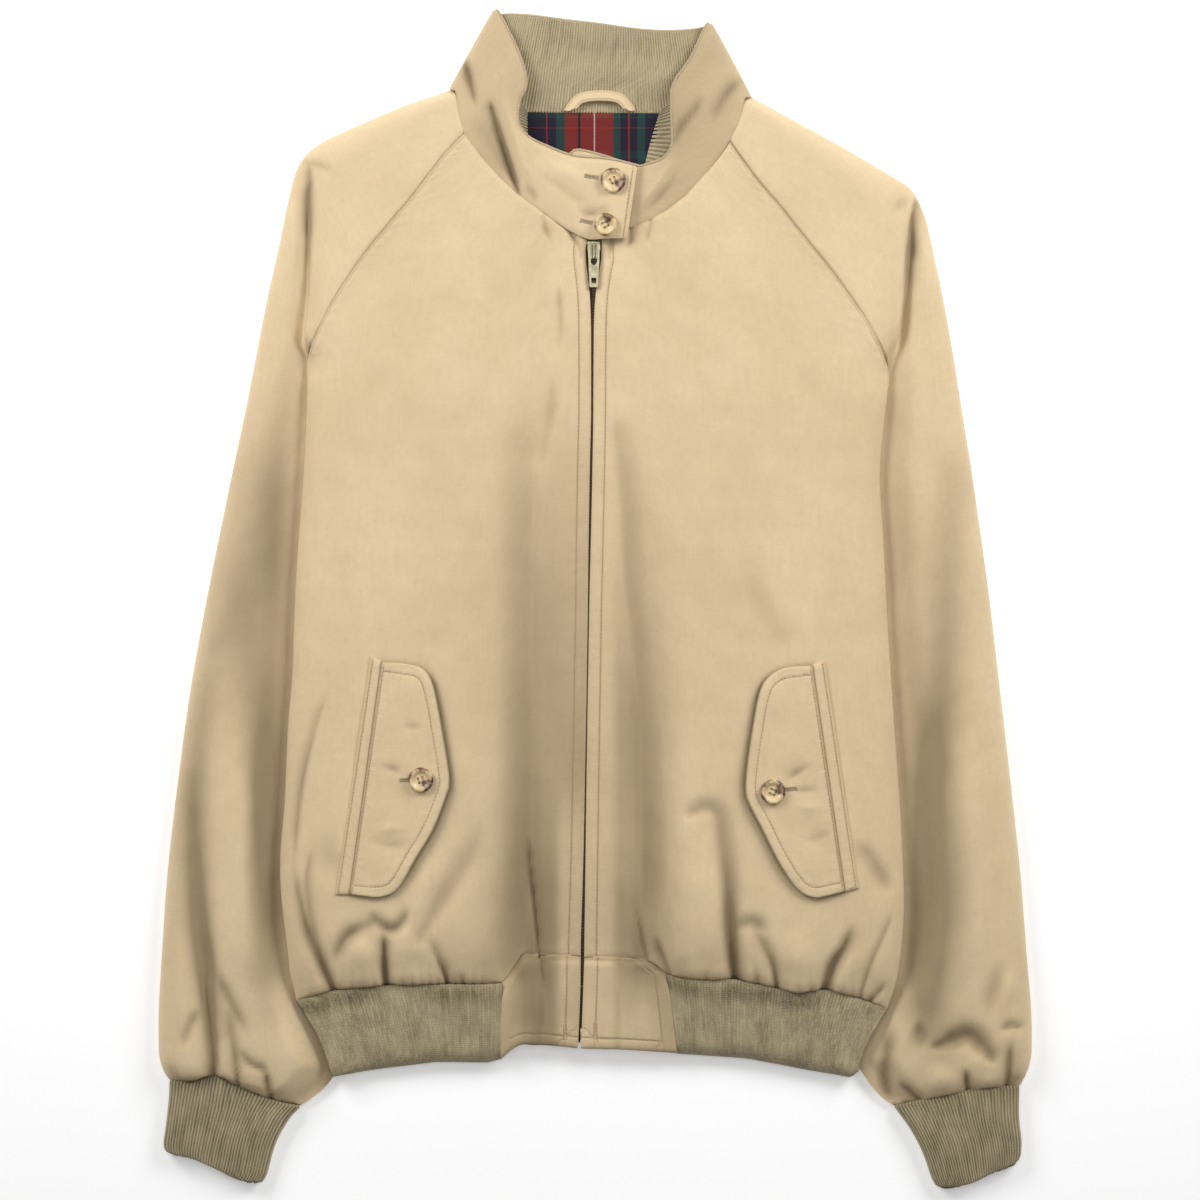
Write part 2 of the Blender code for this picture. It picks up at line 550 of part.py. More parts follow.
BACK_HEM = ((-216.0, -290.5), (0.0, -280.0), (210.0, -296.5))
back_rows = []
last = len(FRONT_ROWS["right"]) - 1
for i in range(last + 1):
    t = min(7.0, 7.0 - (i - UNDERARM_ROW))
    a = back_edge("right", *FRONT_ROWS["right"][i][2:], t)
    b = back_edge("left", *FRONT_ROWS["left"][i][2:], t)
    a, b = (a[0] + 0.4, a[1]), (b[0] - 0.4, b[1])
    if i <= UNDERARM_ROW:
        xs, ys = across_back(a, b)
        drop = np.interp(xs, *np.array(BACK_HEM).T) - np.interp(xs, (-215.5, 209.5), (-290.0, -296.0))
        ys = ys + drop * (1 - min(i, 8) / 8) ** 2
    else:
        xs, ys = np.linspace(a[0], b[0], 11), np.linspace(a[1], b[1], 11)
    back_rows.append(np.stack([xs, ys, back_lift(xs, ys)], axis=-1))
sheet("back", np.array(back_rows), SHELL, COTTON, flip=True)

# ---------------------------------------------------------------- waist band
RIB_FOOT = {
    "right": ((-69.0, -331.5), (-74.0, -334.0), (-90.5, -334.0), (-114.5, -333.5), (-155.0, -338.5),
              (-175.5, -341.5), (-189.5, -344.5)),
    "left": ((58.8, -327.7), (75.0, -328.7), (108.5, -331.0), (130.0, -335.0), (153.0, -339.5), (172.0, -342.8),
             (186.5, -345.0)),
}
KNIT_SIDE = ((-345.0, 188.0), (-322.0, 196.5), (-300.0, 206.0), (-280.0, 216.0))  # y, how far out its side is
RIB_PITCH = 2.2


def knit_top(x, y, side, foot_y, out):
    edge = lift(x, y, side) + KNIT * 2 + STACK + 0.3
    return edge + (9.6 - edge) * rise(y - foot_y, 12.0) * rise(out, 10.0)


for side, turn in (("right", False), ("left", True)):
    hem = np.array(HEM[side])[6:] - (0.0, GAP)
    steps = len(hem) - 1
    foot = along(RIB_FOOT[side], lengths(hem))
    length = np.hypot(*np.diff(hem, axis=0).T)
    ratio = [2 * max(1, round(step / RIB_PITCH)) for step in length]
    fine_at = np.concatenate([np.linspace(j, j + 1, n, endpoint=False) for j, n in enumerate(ratio)] + [[steps]])
    sign = -1 if side == "right" else 1

    def band(at, ribs):
        top = np.stack([np.interp(at, np.arange(steps + 1), hem[:, k]) for k in (0, 1)], axis=-1)
        low = np.stack([np.interp(at, np.arange(steps + 1), foot[:, k]) for k in (0, 1)], axis=-1)
        rows = []
        for w in (0.0, 0.4, 0.84, 1.0):
            xy = top + (low - top) * w
            xy[:, 0] -= sign * 3.0 * math.sin(math.pi * w) * (at / steps) ** 6
            out = value(KNIT_SIDE, xy[:, 1]) - abs(xy[:, 0])
            z = knit_top(xy[:, 0], xy[:, 1], side, low[:, 1], out)
            raised = RIB * (0.5 + 0.5 * ribs) * (1.0 if 0 < w < 1 else 0.6)
            rows.append(np.column_stack([xy, z + raised]))
        return np.array(rows)

    ribs = np.where(np.arange(len(fine_at)) % 2 == 0, -1.0, 1.0)
    fine = band(fine_at, ribs)
    plain = band(np.arange(steps + 1.0), -1.0) - (0, 0, KNIT)
    plain[-1, :, 1] += 0.9
    two_faced("waist_knit_" + side, fine, plain, ratio, RIBBED, flip=turn)

BACK_FOOT = ((-189.0, -344.3), (-114.5, -333.0), (-72.0, -331.0), (62.0, -328.0), (108.5, -331.0),
             (186.0, -344.6))
rows = []
for w, a, b in ((0.0, (-215.1, -291.2), (209.1, -297.2)), (0.5, (-200.0, -318.0), (195.5, -321.0)),
                (1.0, (-189.0, -344.3), (186.0, -344.6))):
    xs, ys = across_back(a, b)
    head = np.interp(xs, *np.array(BACK_HEM).T) - 0.7
    foot = np.interp(xs, *np.array(BACK_FOOT).T)
    ys = head + (foot - head) * w
    rows.append(np.stack([xs, ys, back_lift(xs, ys)], axis=-1))
sheet("waist_knit_back", np.array(rows), KNIT, RIBBED, flip=False)

# ---------------------------------------------------------------- woven tabs beside the zip at the waist
TAB_ROWS = {
    "right": ((-11.2, -258.0, -53.8, -257.6), (-11.4, -279.0, -66.7, -279.2), (-12.0, -297.0, -65.0, -297.0),
              (-12.6, -314.5, -63.3, -314.5), (-13.2, -324.0, -59.8, -323.2)),
    "left": ((-8.2, -259.1, 36.2, -261.2), (-8.6, -271.5, 50.4, -272.0), (-9.2, -289.5, 53.0, -289.5),
             (-10.0, -311.0, 55.4, -311.0), (-10.8, -324.2, 58.0, -327.2)),
}
for side, turn in (("right", False), ("left", True)):
    rows = np.array(TAB_ROWS[side])
    u = np.array([0.0, 0.12, 0.35, 0.65, 0.9, 1.0])
    x = rows[:, :1] + (rows[:, 2:3] - rows[:, :1]) * u
    y = rows[:, 1:2] + (rows[:, 3:4] - rows[:, 1:2]) * u
    z = 10.6 + 0 * x
    z[:, [0, -1]] -= 0.5
    z[-1] -= 0.8
    grid = np.stack([x, y, z], axis=-1)
    sheet("waist_tab_" + side, grid, 2.0, COTTON, flip=turn)

# ---------------------------------------------------------------- cuffs
CUFF_RINGS = {
    # outer x, y; inner x, y; height
    "right": ((-307.8, -348.2, -213.4, -367.2, 8.8), (-308.6, -362.0, -222.5, -377.0, 10.0),
              (-309.6, -382.0, -232.0, -395.0, 10.0), (-310.6, -399.0, -241.5, -419.0, 8.6)),
    "left": ((305.6, -352.0, 215.0, -366.6, 8.8), (305.0, -374.0, 226.5, -383.0, 10.0),
             (306.4, -392.0, 236.0, -402.0, 10.0), (304.0, -407.5, 247.0, -426.0, 8.6)),
}
CUFF_RIBS = 38
FRONT_SPANS, BACK_SPANS = 19, 7   # steps round the plain inside, over the front and along the floor


def cuff_ring(row, front_at, ribs, inset, seam):
    """One ring of a cuff: over the front from the outer fold to the inner one, then back along the floor.

    It is a flat oval, wider than high. inset takes off the wall, and seam lifts it towards the sleeve.
    """
    xo, yo, xi, yi, height = row
    width = math.hypot(xi - xo, yi - yo)
    ux, uy = (xi - xo) / width, (yi - yo) / width
    half = height / 2
    span = width - 2 * inset
    points = []
    for s, raised, up in zip(front_at, ribs, seam):
        r = inset + span * s
        z = half + (half - inset) * float(rise(min(s, 1 - s) * span, half * 2.2)) + raised
        points.append((xo + ux * r, yo + uy * r + up, z))
    for s in np.linspace(1, 0, BACK_SPANS + 1)[1:-1]:
        r = inset + span * (0.04 + 0.92 * s)
        points.append((xo + ux * r, yo + uy * r, inset))
    return points


for side in ("right", "left"):
    fine_at = np.linspace(0, 1, 2 * CUFF_RIBS + 1)
    ribs = np.where(np.arange(len(fine_at)) % 2 == 0, 0.0, RIB)
    plain_at = np.linspace(0, 1, FRONT_SPANS + 1)
    fine, plain = [], []
    for i, row in enumerate(CUFF_RINGS[side]):
        at_seam = 1.0 if i == 0 else 0.0
        fine.append(cuff_ring(row, fine_at, ribs, 0.0, at_seam * (value(CUFF_WAVE[side], fine_at) - 0.5)))
        seam = at_seam * (value(CUFF_WAVE[side], plain_at) - 0.5)
        plain.append(cuff_ring(row, plain_at, 0 * plain_at, KNIT, seam))
    ratio = [2 * CUFF_RIBS // FRONT_SPANS] * FRONT_SPANS + [1] * BACK_SPANS
    two_faced("cuff_" + side, np.array(fine), np.array(plain), ratio, RIBBED, flip=side == "right", closed=True)

# ---------------------------------------------------------------- collar
# neck x, y, z; free edge x, y, z of the outer face, from the right front round the back to the left front
COLLAR = np.array([
    (22.5, 258.5, 17.2, 30.0, 310.5, 17.8), (7.0, 258.4, 16.4, 16.0, 314.0, 17.6),
    (-6.5, 258.4, 13.0, 3.0, 316.0, 16.8), (-21.7, 266.0, 12.6, -17.0, 318.0, 15.8),
    (-39.7, 278.5, 12.6, -36.0, 325.0, 15.2), (-57.1, 291.0, 12.6, -49.5, 332.5, 15.0),
    (-70.1, 303.4, 12.5, -56.0, 343.0, 15.0), (-82.5, 317.3, 12.5, -55.5, 357.0, 14.5),
    (-94.6, 334.0, 12.4, -50.5, 371.5, 14.2), (-99.9, 349.0, 12.2, -56.0, 392.5, 13.8),
    (-100.8, 363.6, 12.0, -69.5, 420.4, 13.0), (-104.5, 366.2, 10.2, -72.8, 423.0, 11.8),
    (-106.0, 367.2, 6.0, -74.0, 424.0, 9.0), (-104.5, 366.2, 1.8, -72.8, 423.0, 6.2),
    (-100.8, 363.6, 0.0, -69.5, 420.4, 5.0), (-84.0, 352.8, 0.0, -61.0, 420.5, 5.0),
    (-60.0, 351.3, 0.0, -45.0, 419.5, 5.0), (-30.0, 350.7, 0.0, -22.0, 416.5, 5.0),
    (0.0, 350.5, 0.0, 3.0, 413.5, 5.0), (30.0, 350.4, 0.0, 28.0, 410.0, 5.0),
    (58.0, 350.2, 0.0, 50.0, 408.5, 5.0), (84.0, 350.6, 0.0, 70.0, 409.6, 5.0),
    (107.0, 358.6, 0.0, 79.0, 411.6, 5.0), (110.8, 360.8, 1.8, 82.6, 413.2, 6.2),
    (112.4, 361.6, 6.0, 84.0, 414.0, 9.0), (110.8, 360.8, 10.2, 82.6, 413.2, 11.8),
    (107.0, 358.6, 12.0, 79.0, 411.6, 13.0), (103.6, 342.5, 12.3, 69.0, 389.5, 13.8),
    (96.0, 328.6, 12.4, 56.0, 369.5, 14.2), (82.1, 309.0, 12.4, 54.5, 351.5, 14.4),
    (64.6, 289.5, 12.2, 55.5, 330.0, 14.4), (51.1, 279.0, 12.0, 50.5, 318.0, 14.0),
    (37.1, 271.5, 11.6, 39.0, 312.5, 13.4), (26.7, 267.5, 11.3, 27.5, 311.0, 12.9),
    (9.0, 261.0, 11.0, 9.0, 308.5, 12.4),
])
BACK_RIBS = range(15, 21)     # the sections between which the knit shows, ribbed
COLLAR_LINES = np.array([0.0, 0.3, 0.65, 1.0])


def collar_grid(at, w):
    """The collar's outer face: rows from the neck to the free edge, columns round the neck."""
    section = spline(COLLAR, at)
    w = np.asarray(w)[:, None, None]
    grid = section[None, :, :3] * (1 - w) + section[None, :, 3:] * w
    bow = 1.6 * np.sin(math.pi * w[..., 0])
    front_part = ease(np.abs(at - 18.0) - 5.5)
    grid[..., 2] += bow * front_part[None, :]
    return grid


at = np.arange(len(COLLAR), dtype=float)
outer = collar_grid(at, COLLAR_LINES)
facing = -normals(outer)
ones = [1] * (len(at) - 1)
two_faced("collar_shell", outer, outer - facing * SHELL, ones, COTTON, flip=True)
ratio = [24 if j in BACK_RIBS else 1 for j in range(len(at) - 1)]
fine_at = [np.linspace(j, j + 1, n, endpoint=False) for j, n in enumerate(ratio)]
fine_at = np.concatenate(fine_at + [[len(at) - 1]])
fine_outer = collar_grid(fine_at, COLLAR_LINES)
wave = np.where(np.arange(len(fine_at)) % 2 == 0, 0.0, 1.0)
in_back = (fine_at > BACK_RIBS[0]) & (fine_at < BACK_RIBS[-1] + 1)
depth = SHELL + STACK + KNIT + RIB * np.where(in_back, wave, 0.5)
fine_normals = np.stack([
    np.stack([np.interp(fine_at, at, line[:, k]) for k in range(3)], axis=-1) for line in facing
])
fine_normals /= np.linalg.norm(fine_normals, axis=-1, keepdims=True)
knit_inside = fine_outer - fine_normals * depth[None, :, None]
collar_knit = two_faced("collar_knit", knit_inside, outer - facing * (SHELL + STACK), ratio, RIBBED, flip=False)

# ---------------------------------------------------------------- neck lining and hanger loop
LINING_ROWS = ((-79.0, 349.6, 80.0, 348.6), (-86.0, 330.0, 88.0, 328.0), (-84.0, 305.0, 86.0, 304.0),
               (-66.0, 282.0, 68.0, 281.0), (-36.0, 268.0, 38.0, 268.0))
rows = np.array(LINING_ROWS)
u = np.linspace(0, 1, 7)
x = rows[:, :1] + (rows[:, 2:3] - rows[:, :1]) * u
y = rows[:, 1:2] + (rows[:, 3:4] - rows[:, 1:2]) * u
z = SHELL + STACK + 1.0 + 0 * x
z[1:-1, 1:-1] += 0.8
sheet("lining", np.stack([x, y, z], axis=-1), 1.0, TARTAN)

LOOP_PATH = ((-24.5, 352.8), (-20.0, 357.5), (-12.5, 363.0), (-3.5, 366.5), (5.0, 367.3), (13.5, 366.3),
             (21.5, 362.5), (27.5, 357.3), (31.0, 352.8))
LOOP_WIDTH = 8.2
LOOP_WALL = 1.2
high = over(collar_knit)
path = np.array(LOOP_PATH)
tangent = np.gradient(path, axis=0)
across = np.stack([tangent[:, 1], -tangent[:, 0]], axis=-1) / np.hypot(*tangent.T)[:, None]
grid = []
for s in (-0.5, 0.0, 0.5):
    line = path + across * LOOP_WIDTH * s
    line[:, 1] = np.maximum(line[:, 1], 352.0 + s)
    bow = 0.7 * ease((20.0 - abs(line[:, 0] - 3.2)) / 10.0)
    grid.append([(x, y, high(x, y)[0] + LOOP_WALL + STACK + up) for (x, y), up in zip(line, bow)])
sheet("hanger_loop", np.array(grid), LOOP_WALL, COTTON, flip=True)

# ---------------------------------------------------------------- pockets
# Each flap hangs from its welt. Its free edge is given by the share of the welt's length that each point faces.
POCKET = {
    "right": {
        "welt": ((-162.0, -42.0), (-187.0, -213.0), (-154.3, -45.0), (-177.3, -213.0)),
        "free": ((0.0, -129.0, -48.8), (0.06, -120.5, -54.0), (0.13, -115.8, -66.0), (0.3, -110.0, -96.0),
                 (0.46, -105.6, -123.0), (0.52, -105.0, -134.0), (0.58, -107.0, -141.5), (0.71, -116.5, -166.0),
                 (0.84, -127.5, -188.0), (0.94, -136.5, -203.0), (1.0, -146.0, -211.5)),
        "button": (-125.5, -130.5),
    },
    "left": {
        "welt": ((164.5, -45.0), (188.5, -208.5), (155.8, -47.5), (179.0, -211.0)),
        "free": ((0.0, 132.0, -52.0), (0.06, 122.5, -58.5), (0.13, 115.5, -71.0), (0.3, 111.0, -98.0),
                 (0.46, 108.0, -123.0), (0.54, 107.2, -139.0), (0.6, 110.0, -148.5), (0.71, 118.5, -165.0),
                 (0.84, 129.5, -187.0), (0.94, 139.5, -205.0), (1.0, 149.0, -213.0)),
        "button": (126.8, -139.0),
    },
}
FLAP_LIFT = 4.2
flap_top = {}
for side, turn in (("right", False), ("left", True)):
    pocket = POCKET[side]
    high = over(front[side])
    (ax, ay), (bx, by), (cx, cy), (dx, dy) = pocket["welt"]
    rows = []
    for v in (0.0, 0.06, 0.13, 0.21, 0.3, 0.38, 0.46, 0.52, 0.58, 0.645, 0.71, 0.78, 0.84, 0.94, 1.0):
        px, py = cx + (dx - cx) * v, cy + (dy - cy) * v
        place, fx, fy = np.array(pocket["free"]).T
        qx, qy = np.interp(v, place, fx), np.interp(v, place, fy)
        row = []
        for u in (0.0, 0.18, 0.4, 0.62, 0.82, 0.94, 1.0):
            x, y = px + (qx - px) * u, py + (qy - py) * u
            if u == 0:
                x += 0.5 * (1 if side == "right" else -1)
            up = FLAP_LIFT * u ** 1.6 * float(ease(min(v, 1 - v) / 0.2 + 0.25))
            row.append((x, y, high(x, y)[0] + 0.7 + up + 1.6 + 0.6 * math.sin(math.pi * u)))
        rows.append(row)
    flap_top[side] = sheet("flap_" + side, np.array(rows), 1.6, COTTON, flip=side == "right")
    rows = []
    for v in np.linspace(0, 1, 9):
        row = []
        for u in (0.0, 0.5, 1.0):
            x = (ax + (bx - ax) * v) * (1 - u) + (cx + (dx - cx) * v) * u
            y = (ay + (by - ay) * v) * (1 - u) + (cy + (dy - cy) * v) * u
            row.append((x, y, high(x, y)[0] + 0.5 + 1.3))
        rows.append(row)
    sheet("welt_" + side, np.array(rows), 1.2, COTTON, flip=side == "right")

# ---------------------------------------------------------------- buttons
# Radius and height down a button's outer side, from the middle of its face to the middle of its back.
BUTTON = ((0.0, 1.5), (4.6, 1.5), (5.6, 2.5), (7.2, 3.1), (8.6, 2.6), (9.0, 1.5), (8.2, 0.4), (0.0, 0.0))
BUTTON_SEGMENTS = 16
HOLE_RADIUS, HOLE_OFFSET = 0.95, 1.7


def button(name, x, y, on, size=1.0, gap=0.45):
    """A turned four-hole button, set on the piece that it is sewn to and tilted with it."""
    profile = bpy.data.meshes.new(name)
    points = [(r * size * MM, 0.0, z * MM) for r, z in BUTTON]
    profile.from_pydata(points, [(i, i + 1) for i in range(len(points) - 1)], [])
    made = placed(bpy.data.objects.new(name, profile), HORN)
    turned = made.modifiers.new("turned", "SCREW")
    turned.angle = 2 * math.pi
    turned.steps = turned.render_steps = BUTTON_SEGMENTS
    turned.use_merge_vertices = True
    turned.merge_threshold = 0.0001
    drill = bmesh.new()
    for a in (-HOLE_OFFSET, HOLE_OFFSET):
        for b in (-HOLE_OFFSET, HOLE_OFFSET):
            bmesh.ops.create_cone(
                drill, cap_ends=True, segments=6, radius1=HOLE_RADIUS * MM, radius2=HOLE_RADIUS * MM,
                depth=10 * MM, matrix=Matrix.Translation((a * MM, b * MM, 0)),
            )
    mesh = bpy.data.meshes.new(name + "_holes")
    drill.to_mesh(mesh)
    drill.free()
    holes = as_cutter(bpy.data.objects.new(name + "_holes", mesh))
    boolean(made, holes, "DIFFERENCE")

    find = over(on)
    circle = [(7 * size * math.cos(k), 7 * size * math.sin(k)) for k in np.linspace(0, 2 * math.pi, 13)[:-1]]
    under = [find(x + a, y + b) for a, b in circle]
    normal = sum((n for _, n in under), Vector()).normalized()
    height = max(z + (normal.x * a + normal.y * b) / normal.z for (a, b), (z, _) in zip(circle, under))
    height = max(height, find(x, y)[0])
    made.location = (x * MM, y * MM, (height + gap) * MM)
    made.rotation_euler = Vector((0, 0, 1)).rotation_difference(normal).to_euler()
    holes.parent = frame
    holes.location = made.location
    holes.rotation_euler = made.rotation_euler
    return made


button("button_pocket_right", *POCKET["right"]["button"], flap_top["right"])
button("button_pocket_left", *POCKET["left"]["button"], flap_top["left"])
button("button_collar_top", 12.5, 300.0, bpy.data.objects["collar_shell"])
button("button_collar_low", 7.0, 268.6, bpy.data.objects["collar_shell"], size=0.9)

# ---------------------------------------------------------------- zip
TAPE_ROWS = (-309.6, -295.0, -279.0, -262.0, -250.0, -241.0, -228.0, -214.0, -192.0, -167.0, -135.0, -88.0,
             -52.0, -5.0, 34.0, 72.0, 104.0, 128.0, 150.0, 175.0, 197.0, 216.0, 232.0, 243.0, 256.0)
TAPE_WIDTH = 13.0
TAPE_DROP = 0.9                 # clear space between a tape and the front over it
for side, sign in (("right", -1), ("left", 1)):
    rows = []
    for y in TAPE_ROWS:
        centre = float(value(ZIP_LINE, y))
        row = []
        for out in (0.3, 6.0, TAPE_WIDTH):
            x = centre + sign * out
            near = min(float(body_top(np.float64(x + k), np.float64(y), side)) for k in (-2, 0, 2))
            row.append((x, y, min(near - SHELL - TAPE_DROP, 6.9 + 0.4 * max(y + 256.0, 0.0))))
        rows.append(row)
    sheet("zip_tape_" + side, np.array(rows), TAPE, WOVEN, flip=sign < 0)

HINGE = (-1.5, 254.6, 13.0)     # the pull tab turns about X here, inside the slider's bail
SLIDER_TOP, SLIDER_THICK = 11.6, 2.8
SLIDER_OUTLINE = ((-4.1, 2.4), (-4.7, -4.1), (-2.3, -10.6), (2.3, -10.6), (4.7, -4.1), (4.1, 2.4))
slider = outline_curve("slider", [SLIDER_OUTLINE], SLIDER_THICK)
slider.location = (HINGE[0] * MM, HINGE[1] * MM, (SLIDER_TOP - SLIDER_THICK / 2) * MM)
slider = placed(as_mesh(slider, "zip_slider", METAL))


def arch(radius, height, foot):
    """A half-round arch from one foot to the other, in a plane whose y is up."""
    top = [(radius * math.cos(math.pi * k / 8), height * math.sin(math.pi * k / 8)) for k in range(9)]
    return [(radius, -foot)] + top + [(-radius, -foot)]


foot = HINGE[2] - SLIDER_TOP
bail_outline = arch(2.5, 2.7, foot + 0.6) + arch(1.55, 1.6, foot + 0.6)[::-1]
bail = outline_curve("bail", [bail_outline], 2.6)
bail.rotation_euler = Matrix(((0, 0, 1), (1, 0, 0), (0, 1, 0))).to_euler()
bail.location = [k * MM for k in HINGE]
bail = as_cutter(as_mesh(bail, "bail", METAL))
bail.parent = frame
boolean(slider, bail, "UNION")

PULL_LENGTH, PULL_WIDTH, PULL_TIP, PULL_THICK = 31.7, 8.6, 6.4, 1.4
TOP_BAR = 0.75                  # half the width of the bar that turns in the bail
half, tip, low = PULL_WIDTH / 2, PULL_TIP / 2, TOP_BAR - PULL_LENGTH
pull_outline = ((-half, TOP_BAR), (-half, -4.0), (-tip, low + 1.6), (-tip + 1.4, low), (tip - 1.4, low),
                (tip, low + 1.6), (half, -4.0), (half, TOP_BAR))
pull_slot = ((-2.2, -TOP_BAR), (2.2, -TOP_BAR), (2.2, -13.2), (1.2, -14.2), (-1.2, -14.2), (-2.2, -13.2))
pull_hole = ((-1.6, -24.4), (1.6, -24.4), (1.6, -27.6), (-1.6, -27.6))
placed(outline_curve("zip_pull", [pull_outline, pull_slot, pull_hole], PULL_THICK), METAL, HINGE)

BOX = ((-14.2, -319.0, 4.6), (-8.8, -310.2, 6.9))
low, high = np.array(BOX)
bpy.ops.mesh.primitive_cube_add(size=1.0)
zip_box = bpy.context.object
zip_box.name = "zip_box"
for old_home in list(zip_box.users_collection):
    old_home.objects.unlink(zip_box)
zip_box.data.transform(Matrix.Diagonal((*((high - low) * MM), 1.0)))
placed(zip_box, METAL, (low + high) / 2)
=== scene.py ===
# %% [markdown]
# # A harrington jacket, laid out flat
#
# A harrington is a short cotton jacket with raglan sleeves, a buttoned stand collar, slanted flap pockets and
# rib knit at the waist and cuffs. Here it lies on its back with the zip closed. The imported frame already
# holds every piece at its real size, so this script only dresses it: each cloth piece is drawn again on the
# same edges, finely enough for gathers, creases and ribs, and gets a finish of its own.

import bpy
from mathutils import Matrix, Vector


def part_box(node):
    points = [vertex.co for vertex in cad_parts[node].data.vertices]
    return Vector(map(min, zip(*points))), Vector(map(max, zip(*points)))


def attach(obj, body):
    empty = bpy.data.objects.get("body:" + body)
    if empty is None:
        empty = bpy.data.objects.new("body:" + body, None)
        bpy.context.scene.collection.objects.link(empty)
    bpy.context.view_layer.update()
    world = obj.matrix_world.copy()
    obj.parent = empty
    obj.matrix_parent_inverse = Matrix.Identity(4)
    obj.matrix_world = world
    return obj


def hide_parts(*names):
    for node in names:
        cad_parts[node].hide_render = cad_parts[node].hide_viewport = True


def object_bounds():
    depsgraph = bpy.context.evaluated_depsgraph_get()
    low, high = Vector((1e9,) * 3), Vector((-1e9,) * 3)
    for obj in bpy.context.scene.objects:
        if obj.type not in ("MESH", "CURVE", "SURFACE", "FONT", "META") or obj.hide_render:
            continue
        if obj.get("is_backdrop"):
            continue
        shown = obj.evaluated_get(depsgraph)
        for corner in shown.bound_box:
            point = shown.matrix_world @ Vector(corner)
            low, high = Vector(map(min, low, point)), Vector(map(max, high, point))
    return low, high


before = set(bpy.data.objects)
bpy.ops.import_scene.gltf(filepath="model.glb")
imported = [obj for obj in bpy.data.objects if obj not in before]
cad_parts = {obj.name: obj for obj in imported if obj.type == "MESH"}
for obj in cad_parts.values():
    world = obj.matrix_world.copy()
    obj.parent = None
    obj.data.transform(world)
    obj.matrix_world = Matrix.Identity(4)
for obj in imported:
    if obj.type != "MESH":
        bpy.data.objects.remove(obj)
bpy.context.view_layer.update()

# %% Modules and units
import math

import bmesh
import bpy
import numpy as np
from mathutils import Matrix, Vector
from mathutils.bvhtree import BVHTree

MM = 0.001
PATTERN_TO_FRAME = np.array([0.5, 1.0, 0.0])    # moves the pattern, in millimetres, to the frame's place
SIDES = (("right", -1), ("left", 1))            # the wearer's sides, and which way each lies on the table


def link(made):
    """Puts a new object in the scene."""
    bpy.context.scene.collection.objects.link(made)
    return made


# %% [markdown]
# ## The camera first
#
# The jacket is seen from straight above. A long lens from three metres keeps the sleeves from spreading, so
# the camera only needs the width that it frames and the point under it.

# %% Camera
VIEW_WIDTH = 0.864          # metres across the frame, at the cloth
VIEW_CENTRE = (0.0034, -0.0004)
CAMERA_HEIGHT = 3.0
CLOTH_HEIGHT = 0.012

camera = link(bpy.data.objects.new("camera", bpy.data.cameras.new("camera")))
camera.location = (*VIEW_CENTRE, CAMERA_HEIGHT)
camera.data.sensor_width = 36.0
camera.data.lens = 36.0 * (CAMERA_HEIGHT - CLOTH_HEIGHT) / VIEW_WIDTH
camera.data.clip_end = 20.0
bpy.context.scene.camera = camera
print("lens:", round(camera.data.lens, 1), "mm")

# %% [markdown]
# ## The pattern
#
# A pattern is a set of edges. Each table below gives the edges of one kind of piece as short rows, from the
# zip or the neck outwards, in millimetres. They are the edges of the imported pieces, so what is drawn from
# them lies where those do.

# %% Edges of the body
SHELL, KNIT, RIB, GAP, STACK = 1.6, 1.8, 0.5, 0.4, 0.45
TUCK = 4.2           # top of a sleeve where the body lies on it
FOLD_EDGE = 2.6      # top of a sleeve at its outer fold
UNDERARM_ROW = 15              # of a front, counted from the hem
SLEEVE_UNDERARM_ROW = 7        # of a sleeve, counted from the neck
FRONT_ROWS = {       # inner x, inner y, outer x, outer y
    "right": (
        (-11, -257.5, -215.5, -290), (-10.9, -250, -217.5, -282), (-10.7, -241, -220, -273),
        (-10.3, -228, -222, -256), (-9.8, -214, -224, -240), (-9.2, -192, -227, -212),
        (-8.6, -167, -227.5, -185), (-8, -135, -224.5, -148.5), (-7.1, -88, -222, -93),
        (-6.5, -52, -219, -56), (-5.8, -5, -217, -1.5), (-5.4, 34, -214.5, 42),
        (-4.8, 72, -211, 86.5), (-4.2, 104, -209, 125.5), (-3.6, 128, -208, 152.5),
        (-3.5, 150, -207, 174), (-3.5, 175, -195, 203), (-3.6, 197, -179.5, 229),
        (-4.3, 216, -162.5, 252.5), (-5.6, 230, -146, 272), (-7, 241, -128, 294),
        (-7.4, 250, -111, 317), (-6.5, 257.4, -95.5, 333.4),
    ),
    "left": (
        (-8.5, -258.5, 209.5, -296), (-8.4, -250.5, 213, -287), (-8.3, -241.5, 216, -278),
        (-8.1, -228, 219, -262), (-7.9, -214, 220.7, -247), (-7.6, -192, 222, -224),
        (-7.3, -167, 221.3, -190), (-6.9, -135, 219, -145), (-6.2, -88, 215, -90),
        (-5.6, -52, 212.7, -56), (-4.8, -5, 209.5, -1.5), (-4, 30, 207.3, 42),
        (-3.1, 68, 204.7, 86.5), (-2.4, 104, 207.5, 125), (-2, 128, 210, 147),
        (-1.9, 148, 210, 166), (-1.7, 175, 196.5, 196), (-1.5, 196, 183, 216.5),
        (-0.7, 214, 168, 237.5), (1.2, 230, 152.5, 256.5), (3.4, 241, 134.5, 279.5),
        (4, 250, 115, 303), (4, 257.4, 97, 327.6),
    ),
}
